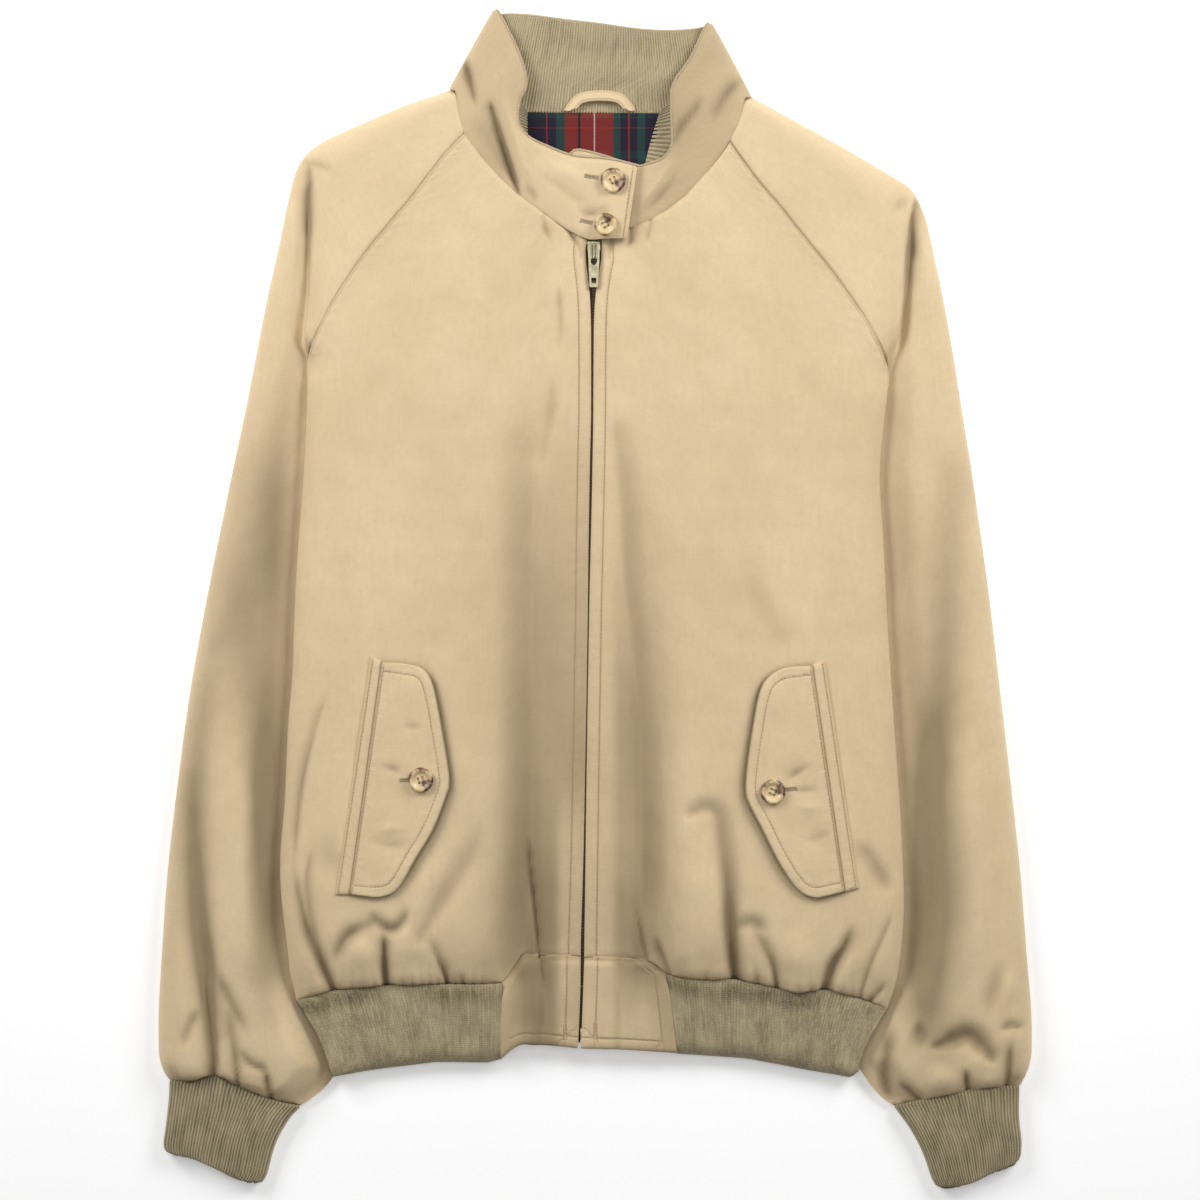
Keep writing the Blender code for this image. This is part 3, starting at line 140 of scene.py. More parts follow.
HEM = {              # lower edge of each front, from the zip to the side
    "right": (
        (-11, -257.5), (-20, -257.5), (-29.5, -257.5), (-42, -257.3), (-54, -257), (-60.5, -267),
        (-67.5, -277.5), (-79, -278), (-90, -278), (-98.5, -278), (-106.5, -278), (-115, -278),
        (-126, -278.3), (-137, -278.6), (-144.5, -278.8), (-150.5, -279), (-157, -279.4),
        (-166, -280.2), (-175.5, -281), (-182.5, -282), (-188.5, -282.8), (-195, -284),
        (-202.5, -286), (-210, -288.3), (-215.5, -290),
    ),
    "left": (
        (-8.5, -258.5), (3, -258.5), (18.5, -258.5), (28, -259.3), (36.5, -260.5), (44, -265),
        (51, -271), (59, -273.2), (68, -274.4), (77, -275), (86, -274.9), (93, -274.6),
        (99.5, -274.5), (107, -276.2), (115, -278), (121.5, -279.2), (129, -280.7), (138, -283),
        (146, -284.5), (156, -282.8), (165.5, -282), (177, -284.6), (186, -287.2),
        (194, -289.8), (202, -293), (209.5, -296),
    ),
}
NECK = {             # from the zip up to the raglan seam
    "right": ((-6.5, 258), (-22, 265.5), (-40, 278), (-57.5, 290.5), (-70.5, 303), (-83, 317),
              (-95.5, 334)),
    "left": ((4, 258), (27, 267), (37.5, 271), (51.5, 278.5), (65, 289), (82.5, 308.5),
             (97, 328.2)),
}
KNIT_SIDE = ((-345, 188), (-322, 196.5), (-300, 206), (-280, 216))      # y, how far out the waist knit is
FLAP_STITCH = 7.4    # topstitching from the flap's edge
SIDE_ABOVE = ((187.0, 222.0), (202.0, 242.0), (230.0, 275.0), (300.0, 340.0))
POCKET = {           # corners of the welt: outer top, outer foot, inner top, inner foot; the flap's free edge
    "right": {
        "welt": ((-162, -42), (-187, -213), (-154.3, -45), (-177.3, -213)),
        "free": ((0, -137, -47.2), (0.03, -128.5, -48.8), (0.07, -121, -53.5), (0.13, -115.8, -66),
                 (0.3, -110, -96), (0.46, -105.6, -123), (0.52, -105, -134), (0.58, -107, -141.5),
                 (0.71, -116.5, -166), (0.84, -129, -187), (0.91, -137.2, -202), (0.95, -142.6, -209.6),
                 (0.98, -149.8, -213.8), (1, -159, -215)),
        "button": (-125.5, -130.5),
        "hole": (-135.5, -130.3),
    },
    "left": {
        "welt": ((164.5, -45), (188.5, -208.5), (155.8, -47.5), (179, -211)),
        "free": ((0, 140, -49.4), (0.03, 132, -51.2), (0.07, 122.8, -57.4), (0.13, 116.8, -69),
                 (0.3, 111.4, -98), (0.46, 108, -123), (0.54, 107.2, -139), (0.6, 110, -148.5),
                 (0.71, 118.5, -165), (0.84, 129.5, -187), (0.91, 137.6, -200.5), (0.95, 143.4, -208.2),
                 (0.98, 150.9, -213.8), (1, 160, -215.4)),
        "button": (126.8, -139),
        "hole": (139, -137),
    },
}
# The zip's x, the height of the fronts and how far they dip to the zip, each read at y.
ZIP_LINE = ((-330, -11), (-258, -9.8), (-109, -7), (-16, -5.5), (70, -3.9), (128, -2.8),
            (258, -1.8))
LOFT = ((-300, 18), (-255, 20), (-225, 20.5), (-160, 18.5), (-60, 17), (80, 16),
        (174, 15), (258, 13.2), (334, 12.5))
ZIP_DIP = ((-258.0, 5.0), (-60.0, 5.0), (60.0, 4.5), (170.0, 3.5), (258.0, 2.4))

# %% Edges of the sleeves
# Outer fold x, y; inner edge x, y; place of the body's edge across; height there; rise of the crown.
SLEEVE_ROWS = {
    "right": (
        (-106.5, 366, -96.1, 334, 0.12, 16, 0), (-137.5, 355.6, -111.6, 317.2, 0.12, 16, 0),
        (-173, 340.5, -128.6, 294.2, 0.12, 16, 0), (-200, 327.5, -146.6, 272.2, 0.10, 15.5, 0),
        (-214.5, 312, -163.1, 252.7, 0.14, 14.5, 0), (-222, 286.5, -180.1, 229.2, 0.37, 11, 2.5),
        (-229.5, 250.5, -195.6, 203.2, 0.68, 7.5, 5), (-237.5, 214.5, -207.6, 174.2, 0.96, TUCK, 7),
        (-245.5, 173, -180.5, 153.5, 0, TUCK, 8.5), (-252.5, 137, -154, 119.5, 0, TUCK, 9),
        (-263.5, 85, -139.5, 70.5, 0, TUCK, 9.5), (-279.5, 6, -139.5, -1.5, 0, TUCK, 10),
        (-292.5, -66, -148.5, -73.5, 0, TUCK, 10), (-301.5, -131, -159, -138, 0, TUCK, 10.5),
        (-309, -196, -167, -203, 0, TUCK, 10.5), (-313, -253.5, -173, -260.5, 0, TUCK, 11),
        (-315.5, -296.5, -177, -304, 0, TUCK, 11.5), (-315.5, -325.5, -183, -332.5, 0, TUCK, 12),
        (-314, -336, -193, -350, 0, TUCK, 11.5), (-311, -343.5, -204, -360, 0, TUCK, 9.5),
        (-308.5, -347, -213, -366, 0, TUCK, 6.5),
    ),
    "left": (
        (114, 360.4, 97.6, 328.2, 0.12, 16, 0), (147, 342.5, 115.6, 303.2, 0.12, 16, 0),
        (183, 322.5, 135.1, 279.7, 0.12, 16, 0), (210, 306.5, 153.1, 256.7, 0.08, 15.5, 0),
        (227, 295, 168.6, 237.7, 0.06, 14.5, 0), (237, 276, 183.6, 216.7, 0.21, 11.5, 2.5),
        (244, 247, 197.1, 196.2, 0.46, 8, 5), (251.5, 211, 210.6, 166.2, 0.93, TUCK, 7),
        (259, 168, 187, 144, 0, TUCK, 8.5), (264, 135.5, 162.5, 114, 0, TUCK, 9),
        (271.5, 88.5, 147, 67, 0, TUCK, 9.5), (283, 6, 145.5, -1.5, 0, TUCK, 10),
        (291.5, -66, 152.5, -73.5, 0, TUCK, 10), (299, -131, 162.5, -138, 0, TUCK, 10.5),
        (306, -196, 171.5, -203, 0, TUCK, 10.5), (310.5, -253.5, 178, -260.5, 0, TUCK, 11),
        (314, -296.5, 183, -304, 0, TUCK, 11.5), (314.5, -325.5, 186.5, -331, 0, TUCK, 12),
        (313, -336.5, 194.5, -346, 0, TUCK, 11.5), (310, -345, 204, -358, 0, TUCK, 9.5),
        (306.5, -351.5, 214.5, -366, 0, TUCK, 6.5),
    ),
}
CUFF_WAVE = {        # how far a fold pulls the cuff seam up, along the sleeve's width
    "right": ((0, 0), (0.19, 3), (0.36, 10), (0.5, 6), (0.67, 2.7), (0.8, 0.5), (1, 0)),
    "left": ((0, 0), (0.35, 2.5), (0.6, 1.5), (1, 0)),
}

# %% [markdown]
# ## Folds
#
# A fold is a line on the cloth with a width and a depth that changes along it. The broad ones below are in
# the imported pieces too. The sharp ones are only drawn here: they are a few millimetres wide, which is what
# makes cotton look creased instead of padded.

# %% Folds of the body and the sleeves
# Each fold has a skew, over 1 where its left side is the wider one, and rows of x, y, height and half width.
BODY_FOLDS = {
    "right": (
        (0.55, ((-46, 132, 0, 9), (-49, 100, -2.6, 11), (-50, 50, -4.2, 13), (-50, -20, -5, 14),
            (-49, -100, -6, 14), (-50, -180, -7, 15), (-52, -240, -6.4, 14), (-51, -262, -6, 14))),
        (1, ((-31, 165, 0, 4), (-32, 135, -1.6, 5), (-37, 104, -1.2, 5), (-40, 80, 0, 4))),
        (1, ((-72, 140, 0, 9), (-72, 60, 0.9, 10), (-71, -60, 1.4, 10), (-72, -180, 1.8, 11),
            (-70, -250, 1, 9))),
        (1.5, ((-50, -170, 0, 1.2), (-47.4, -190, -3, 1.6), (-44.6, -214, -6, 2), (-42.4, -240, -6, 2),
            (-41, -262, -4.6, 2))),
        (0.7, ((-80, -162, 0, 6), (-92, -190, -2, 7), (-108, -216, -3, 7), (-124, -242, -2, 6),
            (-128, -254, 0, 4))),
        (1, ((-104, -168, 0, 7), (-120, -206, 1.8, 9), (-136, -250, 2.6, 9), (-140, -272, 2, 8))),
        (1, ((-164, -224, 0, 4), (-157, -233, -3, 4.4), (-147, -238, -4.2, 4.2), (-139, -232, -3.4, 4),
            (-134, -220, 0, 3.4))),
        (0.8, ((-188, -268, 0, 4), (-185, -252, -3, 4.4), (-177, -241, -3.6, 4.6), (-164, -235, -1.6, 4),
            (-158, -234, 0, 4))),
        (1.25, ((-153, -238, 0, 2.6), (-152.6, -252, -4.5, 3.2), (-152.4, -266, -6.5, 3),
            (-151, -280, -6.5, 2.6))),
        (1.5, ((-122, -240, 0, 3), (-115, -257, -2.2, 3), (-110, -269, -4, 2.6), (-107, -280, -4.4, 2.4))),
        (1, ((-99, -266, 0, 1.6), (-96, -278, -2.6, 2))),
        (0.8, ((-219, -186, 0, 2.4), (-212, -220, -2.8, 3.4), (-204.5, -246, -4.6, 4),
            (-195, -267, -5.4, 3.4), (-188, -283, -5, 2.8))),
        (1.7, ((-203, -176, 0, 1.8), (-207.4, -196, -1.8, 2.2), (-207.6, -216, -2, 2.4),
            (-200, -250, -1.2, 2.4), (-192, -270, 0, 2))),
        (1, ((-170, -240, 0, 6), (-167, -258, 3, 8), (-164, -279, 2.6, 8))),
        (1, ((-206, -232, 0, 4), (-203, -262, 1.6, 5), (-200, -284, 1.6, 5))),
        (1, ((-132, -258, 0, 5), (-129, -278, 1.6, 6))),
        (0.6, ((-190, -62, 0, 1.6), (-201, -92, -1.6, 2.2), (-210, -128, -2.4, 2.6), (-215, -165, -2, 2.6),
            (-217, -200, 0, 2.2))),
        (1, ((-38, 274, -0.8, 1.4), (-36, 264, -2, 2), (-31, 254, 0, 1.6))),
        (1, ((-20, 269, -1.6, 1.6), (-16, 259, -2.6, 2.2), (-11, 250, -1.2, 2), (-10, 238, 0, 1.6))),
        (1, ((-27, 228, 0, 1.4), (-26, 212, -1.6, 2), (-25, 194, -1.4, 2), (-25.5, 174, 0, 1.6))),
        (1, ((-196, -165, 0, 8), (-192, -190, -1.6, 9), (-188, -215, 0, 7))),
    ),
    "left": (
        (1.7, ((12, 134, 0, 6), (16, 110, -2, 7), (20.5, 70, -3.6, 8), (24, 13, -4.6, 9),
            (29.5, -44, -5.4, 10), (34, -116, -6, 11), (36, -180, -6.4, 11), (34, -236, -5, 10),
            (33, -262, -4.4, 10))),
        (1, ((46, 60, 0, 7), (52, -30, 1.2, 8), (59, -130, 1.8, 9), (62, -200, 2, 9), (62, -256, 1.6, 9))),
        (0.6, ((26, -112, 0, 1), (24.6, -145, -1, 1.5), (24, -181, -1.4, 1.7), (26, -210, -1.6, 1.8),
            (31.7, -238, -1.8, 2), (37, -259, -1.8, 2))),
        (1, ((17.5, -200, 0, 4), (17.3, -232, -2.2, 4.6), (16, -257, -2.4, 4.6))),
        (1.4, ((62, -160, 0, 4), (70, -155, -2, 5), (80, -152, -2.6, 5.4), (87.5, -158, -3, 6),
            (91, -180, -3.8, 6.4), (94, -206, -4.8, 6), (95, -234, -6.4, 4.8), (97, -256, -7.6, 4),
            (99.6, -276, -7.6, 3.4))),
        (1, ((76, -176, 0, 7), (80, -210, 1.8, 9), (82, -250, 2.4, 8), (84, -274, 1.6, 8))),
        (1, ((98, -240, 0, 4), (108, -234, -2.6, 5.4), (116, -235, -3, 5.6), (125, -242, 0, 4))),
        (1.2, ((112, -234, 0, 4), (120, -250, -2.6, 3.8), (127, -264, -3.4, 3.4), (130.5, -280, -3.8, 3))),
        (1, ((115, -262, 0, 1.6), (117, -278, -2.6, 2.2))),
        (1, ((142, -232, 0, 10), (147, -262, 3.2, 12), (147, -284, 3.4, 12))),
        (1.5, ((186, -232, 0, 3), (178, -250, -3.8, 3.6), (169, -264, -5.6, 3.6), (163.6, -282, -5.4, 3))),
        (1, ((214, -222, 0, 1.4), (208, -239, -1.6, 1.9), (197, -264, -2.2, 2.1), (190, -288, -2, 2))),
        (1, ((211, -274, 0, 2), (203, -284, -2.2, 2.4), (197, -291, -2.4, 2.2))),
        (0.8, ((186, -172, 0, 5), (196, -186, -2, 6), (206, -202, -2.8, 6), (214, -214, 0, 4))),
        (1, ((186, -250, 0, 5), (180, -272, 2.2, 6), (178, -285, 2, 6))),
        (1, ((104, 34, 0, 8), (116, 0, -1.5, 10), (130, -28, -1.2, 9), (140, -44, 0, 8))),
        (0.7, ((42, -240, 0, 2.4), (47, -254, -2.8, 3), (53, -269, -2.6, 2.8))),
        (1, ((77, -266, 0, 1.4), (80, -275, -1.6, 1.8))),
        (1, ((11, 262, -1.6, 2), (10.5, 252, -1.8, 2.4), (8.6, 238, 0, 2))),
        (1, ((25, 271, -1.6, 1.4), (24, 258, -1.6, 1.8), (22, 249, 0, 1.6))),
        (1, ((40, 275, -1.4, 1.4), (38, 262, -1.4, 1.8), (35, 252, 0, 1.6))),
    ),
}
SLEEVE_FOLDS = {
    "right": (
        (0.6, ((-292, -110, 0, 7), (-291, -160, -1.8, 8), (-288.6, -196, -3, 8), (-285, -232, -4.4, 7.6),
            (-279, -262, -6, 5.6), (-278.6, -284, -6.6, 3.4), (-276.6, -304, -6.6, 2.8),
            (-274, -330, -6.6, 2.8), (-274.4, -348, -6, 3))),
        (1, ((-274, -266, 0, 4), (-267, -283, -2.6, 4), (-259, -299, -2.4, 4), (-248, -320, 0, 4))),
        (1, ((-266, -290, 0, 4), (-262.6, -312, -2.4, 4), (-260, -328, -2.8, 3.2), (-257.6, -352, -3.6, 2))),
        (1, ((-258, -322, 0, 3), (-250, -334, -2.8, 3.2), (-241, -338.6, -3, 3.2), (-234, -342, 0, 2.6))),
        (1, ((-239, -338, 0, 2), (-236.6, -348, -4, 2.4), (-234, -361, -4.4, 2.2))),
        (1, ((-284, -295, 0, 3), (-290, -304, -2.4, 3.6), (-295, -315, -2.4, 3.8), (-298, -328, 0, 3))),
        (1, ((-308, -334, 0, 2), (-304, -341, -2.2, 2.4), (-300, -345, -1.6, 2))),
        (1, ((-253, -60, 0, 10), (-256, -160, 1.6, 11), (-256, -240, 1.8, 10), (-252, -280, 0, 8))),
        (1, ((-300, -230, 0, 7), (-299, -290, 1.6, 7), (-292, -336, 1.6, 7), (-288, -346, 1, 6))),
        (1, ((-222, -300, 0, 8), (-222, -330, 2, 9), (-224, -354, 2, 8))),
    ),
    "left": (
        (1, ((238, -60, 0, 9), (239, -110, -2.2, 10), (238, -160, -3.4, 10), (236, -220, -3.6, 10),
            (231, -262, -2.4, 9), (226, -292, 0, 8))),
        (1.3, ((238, -323, 0, 3), (248, -322.6, -3.2, 3.2), (258, -319.6, -5.6, 5.4), (268, -317, -6.4, 7),
            (275, -322, -6, 6.6), (282, -329, -4.6, 5), (289, -339, 0, 2.6))),
        (1, ((265.6, -336, 0, 2), (267, -349, -5, 2.8), (269, -358, -5.2, 2.8))),
        (1, ((216, -347, 0, 1.6), (224.6, -354, -3.8, 2.4), (232, -361, -3.6, 2.4))),
        (1, ((231, -302, 0, 3), (233, -314, -3, 3.8), (233.6, -328, 0, 3))),
        (1, ((214.6, -306, 0, 4), (209.6, -326, -3.8, 4.6), (208.4, -342, -4, 4.6), (211, -358, -3, 3.6))),
        (1, ((298.6, -316, 0, 3), (297.6, -334, -4.4, 3.4), (296, -352, -5.2, 2.6))),
        (1, ((289, -313, 0, 2), (296, -308, -2.8, 2.8), (304, -308.6, -2.4, 2.6), (308, -311, 0, 2))),
        (1, ((298, -349, 0, 2), (302.6, -347, -2.4, 2.2), (307, -344, -1, 2))),
        (1, ((279, -310, 0, 4), (285, -285, -2, 5.6), (293, -258, 0, 5))),
        (1, ((301, -258, 0, 4), (298, -280, 1.8, 5), (292, -302, 0, 4))),
        (1, ((268, -70, 0, 10), (272, -150, 1.6, 11), (273, -230, 1.4, 10), (270, -280, 0, 9))),
        (1, ((247, -332, 0, 7), (250, -346, 2.4, 8), (252, -356, 2.2, 8))),
        (1, ((282, -340, 0, 5), (283, -352, 1.8, 6))),
    ),
}

SHOULDER_FOLDS = {   # where the arm folds down from the shoulder
    "right": (
        (0.7, ((-208, 316, 0, 2.2), (-206.2, 304, -2.6, 2.6), (-206.4, 288, -4.4, 3.2), (-206.4, 270, -5, 3),
            (-206.6, 252, -2.8, 2.4), (-206.8, 230, -1.4, 2), (-207.2, 208, -0.7, 2), (-208, 190, 0, 2))),
        (1, ((-218, 290, 0, 1.6), (-218.6, 278, 1.5, 1.8), (-217, 255, 1.3, 1.8), (-215, 235, 0, 1.6))),
        (1, ((-210, 315, -1, 2), (-199, 311, -1.6, 3), (-186, 306, 0, 3))),
    ),
    "left": (
        (2.2, ((231, 292, 0, 2), (229.2, 282.5, -2.4, 2.4), (226.4, 269.8, -3.4, 2.6),
            (224.8, 250, -5.4, 2.8), (223.6, 238, -3.6, 2.4), (221.8, 214, -1.8, 2), (220.2, 193, -1.4, 2),
            (218, 172, 0, 2))),
        (1, ((238, 262, 0, 2), (238.6, 247, 1.5, 2), (238, 225, 1.3, 2), (237, 205, 0, 2))),
        (1, ((226, 290, 0, 3), (220, 284, -1.6, 4), (210, 276, 0, 4))),
    ),
}
SLEEVE_SHADE = {     # broad shade on the sleeves, as folds that are only painted
    "right": (
        (1, ((-214, 190, 0, 12), (-224, 140, -1.8, 16), (-234, 70, -3.4, 19), (-238, -2, -4.8, 20),
            (-236, -73, -6.2, 19), (-236.5, -145, -7.2, 18), (-236, -217, -7.2, 16), (-236, -262, -5.4, 15),
            (-236, -296, -1.6, 12))),
        (1, ((-268, 0, 0, 8), (-277, -40, -2, 9), (-284, -88, -3.8, 10), (-288, -145, -5, 10),
            (-287, -185, -4.8, 10), (-284, -225, -4.6, 9), (-280, -262, -4.4, 8), (-276, -292, -4.4, 7),
            (-274, -316, -2.6, 6))),
        (1, ((-238, 160, 0, 16), (-246, 70, -2.2, 22), (-257, -2, -3, 23), (-264, -60, -1, 16),
            (-266, -90, 0, 12))),
        (1, ((-262, -100, 0, 8), (-258, -150, 1.6, 9), (-258, -215, 1.2, 9), (-254, -270, 0, 8))),
    ),
    "left": (
        (1, ((214, 190, 0, 8), (218, 142, -1.6, 12), (220, 70, -2, 13), (223, -2, -2, 13),
            (230, -73, -3.2, 15), (242, -145, -6.4, 20), (245, -217, -7, 22), (240, -262, -7, 22),
            (237, -290, -6.2, 21), (238, -312, -3.6, 17))),
        (1, ((252, 130, 0, 12), (254, 70, -2.8, 14), (251, -2, -4.2, 14), (250, -40, -4.2, 14),
            (250, -80, -4.2, 14), (250, -112, -2.4, 13), (246, -140, 0, 12))),
        (1, ((286, 30, 0, 6), (292, -10, 1.4, 7), (297, -73, 2.4, 7), (300, -145, 2, 8), (305, -215, 1.6, 8),
            (306, -270, 0, 7))),
        (1, ((262, -290, 0, 9), (256, -312, -2.4, 11), (252, -334, -1.8, 10), (252, -350, 0, 9))),
    ),
}

# %% [markdown]
# ## Small tools
#
# Every height here is a function of the place on the table, x and y. A rounded edge is a quarter circle, a
# change from one height to another is an ease, and a fold is a bell curve across its line.

# %% Curves and heights
def spline(knots, t):
    """A smooth curve through the knots, at places t counted in knots."""
    k = np.asarray(knots, float)
    k = np.vstack([2 * k[0] - k[1], k, 2 * k[-1] - k[-2]])
    t = np.asarray(t, float)
    i = np.clip(np.floor(t).astype(int), 0, len(k) - 4)
    f = (t - i)[..., None]
    a, b, c, d = k[i], k[i + 1], k[i + 2], k[i + 3]
    return 0.5 * (2 * b + (c - a) * f + (2 * a - 5 * b + 4 * c - d) * f**2 + (3 * b - a - 3 * c + d) * f**3)


def value(table, at):
    """A smooth value read from a table of (place, value), places rising."""
    place, known = np.array(table, float).T
    slope = np.gradient(known, place)
    i = np.clip(np.searchsorted(place, at) - 1, 0, len(place) - 2)
    step = place[i + 1] - place[i]
    t = np.clip((at - place[i]) / step, 0, 1)
    return (known[i] * (1 + 2 * t) * (1 - t) ** 2 + known[i + 1] * t * t * (3 - 2 * t)
            + step * t * (1 - t) * (slope[i] * (1 - t) - slope[i + 1] * t))


def run_along(path):
    """The distance run along a path at each of its points."""
    return np.concatenate([[0], np.cumsum(np.linalg.norm(np.diff(path, axis=0), axis=1))])


def between(at, places, rows):
    """Rows of numbers read in straight steps: the rows lie at the places, and at gives where to read."""
    return np.stack([np.interp(at, places, column) for column in np.asarray(rows).T], axis=-1)


def along(path, fractions):
    """Points on a path of straight pieces, at fractions of its length."""
    path = np.asarray(path, float)
    run = run_along(path)
    return between(np.asarray(fractions) * run[-1], run, path)


def across_row(row, u):
    """The x and the y at u between a row's first point, at 0, and its second, at 1."""
    return row[..., 0] + (row[..., 2] - row[..., 0]) * u, row[..., 1] + (row[..., 3] - row[..., 1]) * u


def rise(distance, radius):
    """The height of a rounded edge: 0 on the edge, 1 from one radius in."""
    return np.sqrt(1 - (1 - np.clip(distance / radius, 0, 1)) ** 2)


def ease(t):
    t = np.clip(t, 0, 1)
    return t * t * (3 - 2 * t)


def fade(distance, width, power=2):
    """A bell curve: 1 where the distance is 0, and nearly 0 from two widths on."""
    return np.exp(-((distance / width) ** power))


FOLD_PIECES = 8


def bells(x, y, table):
    """For each fold: where it reaches, then its height, its half width and its bell curve there."""
    for skew, nodes in table:
        nodes = np.array(nodes, float)
        t = np.linspace(0, len(nodes) - 1, FOLD_PIECES * (len(nodes) - 1) + 1)
        line = spline(nodes[:, :2], t)
        i = np.minimum(t.astype(int), len(nodes) - 2)
        f = ease(t - i)[:, None]
        height, width = (nodes[i, 2:] * (1 - f) + nodes[i + 1, 2:] * f).T
        reach = 2.6 * width.max() * max(skew, 1 / skew)
        (x0, y0), (x1, y1) = line.min(0) - reach, line.max(0) + reach
        near = (x > x0) & (x < x1) & (y > y0) & (y < y1)
        px, py = x[near], y[near]
        least, side, h, w = np.full(px.shape, 1e9), np.ones(px.shape), np.zeros(px.shape), np.ones(px.shape)
        for k in range(len(line) - 1):
            (ax, ay), (bx, by) = line[k], line[k + 1]
            dx, dy = bx - ax, by - ay
            s = np.clip(((px - ax) * dx + (py - ay) * dy) / (dx * dx + dy * dy), 0, 1)
            away = np.hypot(px - ax - s * dx, py - ay - s * dy)
            closer = away < least
            least = np.where(closer, away, least)
            side = np.where(closer, np.sign((py - ay) * dx - (px - ax) * dy), side)
            h = np.where(closer, height[k] + s * (height[k + 1] - height[k]), h)
            w = np.where(closer, width[k] + s * (width[k + 1] - width[k]), w)
        wide = w * np.where(side > 0, skew, 1 / skew)
        sharp = 1.25 + 0.75 * ease((wide - 2.5) / 5.0)
        yield near, h, w, np.exp(-((least / wide) ** sharp))


def folds(x, y, table):
    """Height that the table's folds add at x, y."""
    x, y = np.broadcast_arrays(np.asarray(x, float), np.asarray(y, float))
    total = np.zeros(x.shape)
    for near, height, _, bell in bells(x, y, table):
        total[near] += height * bell
    return total


def fold_shade(x, y, table):
    """Shade painted for the folds: about 1 in a hollow, more in a narrow one, below 0 (painted light) on a
    crest.
    """
    x, y = np.broadcast_arrays(np.asarray(x, float), np.asarray(y, float))
    total = np.zeros(x.shape)
    for near, height, width, bell in bells(x, y, table):
        narrow = 1 - ease((width - 2.0) / 7.0)
        total[near] += bell * np.where(height < 0, -height * (1 + 1.3 * narrow), -0.8 * height) / SHADE_DEPTH
    return np.clip(total, -0.6, 1.25)


def ripple(x, y, size, seed, stretch=1.0):
    """Gentle unevenness of about one unit, from waves in drawn directions; stretch makes it long in y."""
    draw = np.random.default_rng(seed)
    total = np.zeros(np.broadcast(x, y).shape)
    for _ in range(6):
        angle, phase, scale = draw.uniform(0, 2 * math.pi, 2).tolist() + [draw.uniform(0.7, 1.5)]
        across = x * math.cos(angle) + y * math.sin(angle) / stretch
        total += np.sin(across * 2 * math.pi / (size * scale) + phase)
    return total / 2.5


def ribs_at(phase):
    """How high on its rib a point is, from 0 to 1, where phase counts ribs."""
    return 0.5 - 0.5 * np.cos(2 * math.pi * phase)


def gathers(run, pitch, seed):
    """Rounded ridges with sharp valleys between them, uneven in width and height, along a gathered seam."""
    drift = [np.sin(run / (length * pitch) + k * seed) for k, length in ((1, 3.1), (2, 7.3), (3, 4.3))]
    phase = run / pitch + 0.45 * drift[0] + 0.3 * drift[1]
    strength = 0.62 + 0.38 * drift[2]
    return strength * (np.abs(np.sin(math.pi * phase)) - 0.62)


def inset_path(points, inset):
    """A path of x, y points moved sideways by the inset, to its left where the inset is positive."""
    points = np.asarray(points, float)
    tangent = np.gradient(points, axis=0)
    sideways = np.stack([-tangent[:, 1], tangent[:, 0]], axis=-1) / np.hypot(*tangent.T)[:, None]
    return points + sideways * inset


def from_path(x, y, path):
    """How far each x, y is from a path, which is first cut into short steps."""
    dense = along(path, np.linspace(0, 1, 700))
    far = np.full(x.shape, 1e9)
    (x0, y0), (x1, y1) = dense.min(0) - 20.0, dense.max(0) + 20.0
    near = (x > x0) & (x < x1) & (y > y0) & (y < y1)
    far[near] = np.min(np.hypot(x[near][:, None] - dense[:, 0], y[near][:, None] - dense[:, 1]), axis=1)
    return far


def flap_edge(side, v):
    """A smooth curve through the flap's free edge, at v."""
    edge = np.array(POCKET[side]["free"])
    line = spline(edge[:, 1:], np.interp(v, edge[:, 0], np.arange(len(edge))))
    return line[..., 0], line[..., 1]


def flap_outline(side):
    """The flap's edge from the top of the welt round to its foot."""
    _, _, inner_top, inner_foot = POCKET[side]["welt"]
    free = np.stack(flap_edge(side, np.linspace(0, 1, 160)), axis=-1)
    return along(np.vstack([inner_top, free, inner_foot]), np.linspace(0, 1, 240))


def flap_stitching(side):
    """The line of topstitching inside the flap's edge."""
    sign = -1 if side == "right" else 1
    (cx, cy), (dx, dy) = POCKET[side]["welt"][2:]
    path = inset_path(flap_outline(side), sign * FLAP_STITCH)
    behind = (path[:, 0] - (cx + (dx - cx) * (path[:, 1] - cy) / (dy - cy))) * sign
    path = path[(behind < -1.5) & (path[:, 1] < max(cy, dy) - FLAP_STITCH * 0.9)]
    wide = np.concatenate([np.repeat(path[:1], 4, axis=0), path, np.repeat(path[-1:], 4, axis=0)])
    return np.mean([wide[k: k + len(path)] for k in range(9)], axis=0)


def spaced(length, step, edge=(0.5, 1.2, 2.2)):
    """Fractions from 0 to 1 of a length, a step apart, with closer ones near both ends."""
    inner = np.linspace(edge[-1], length - edge[-1], max(2, round((length - 2 * edge[-1]) / step) + 1))
    return np.concatenate([[0], edge[:-1], inner, length - np.array(edge[:-1])[::-1], [length]]) / length


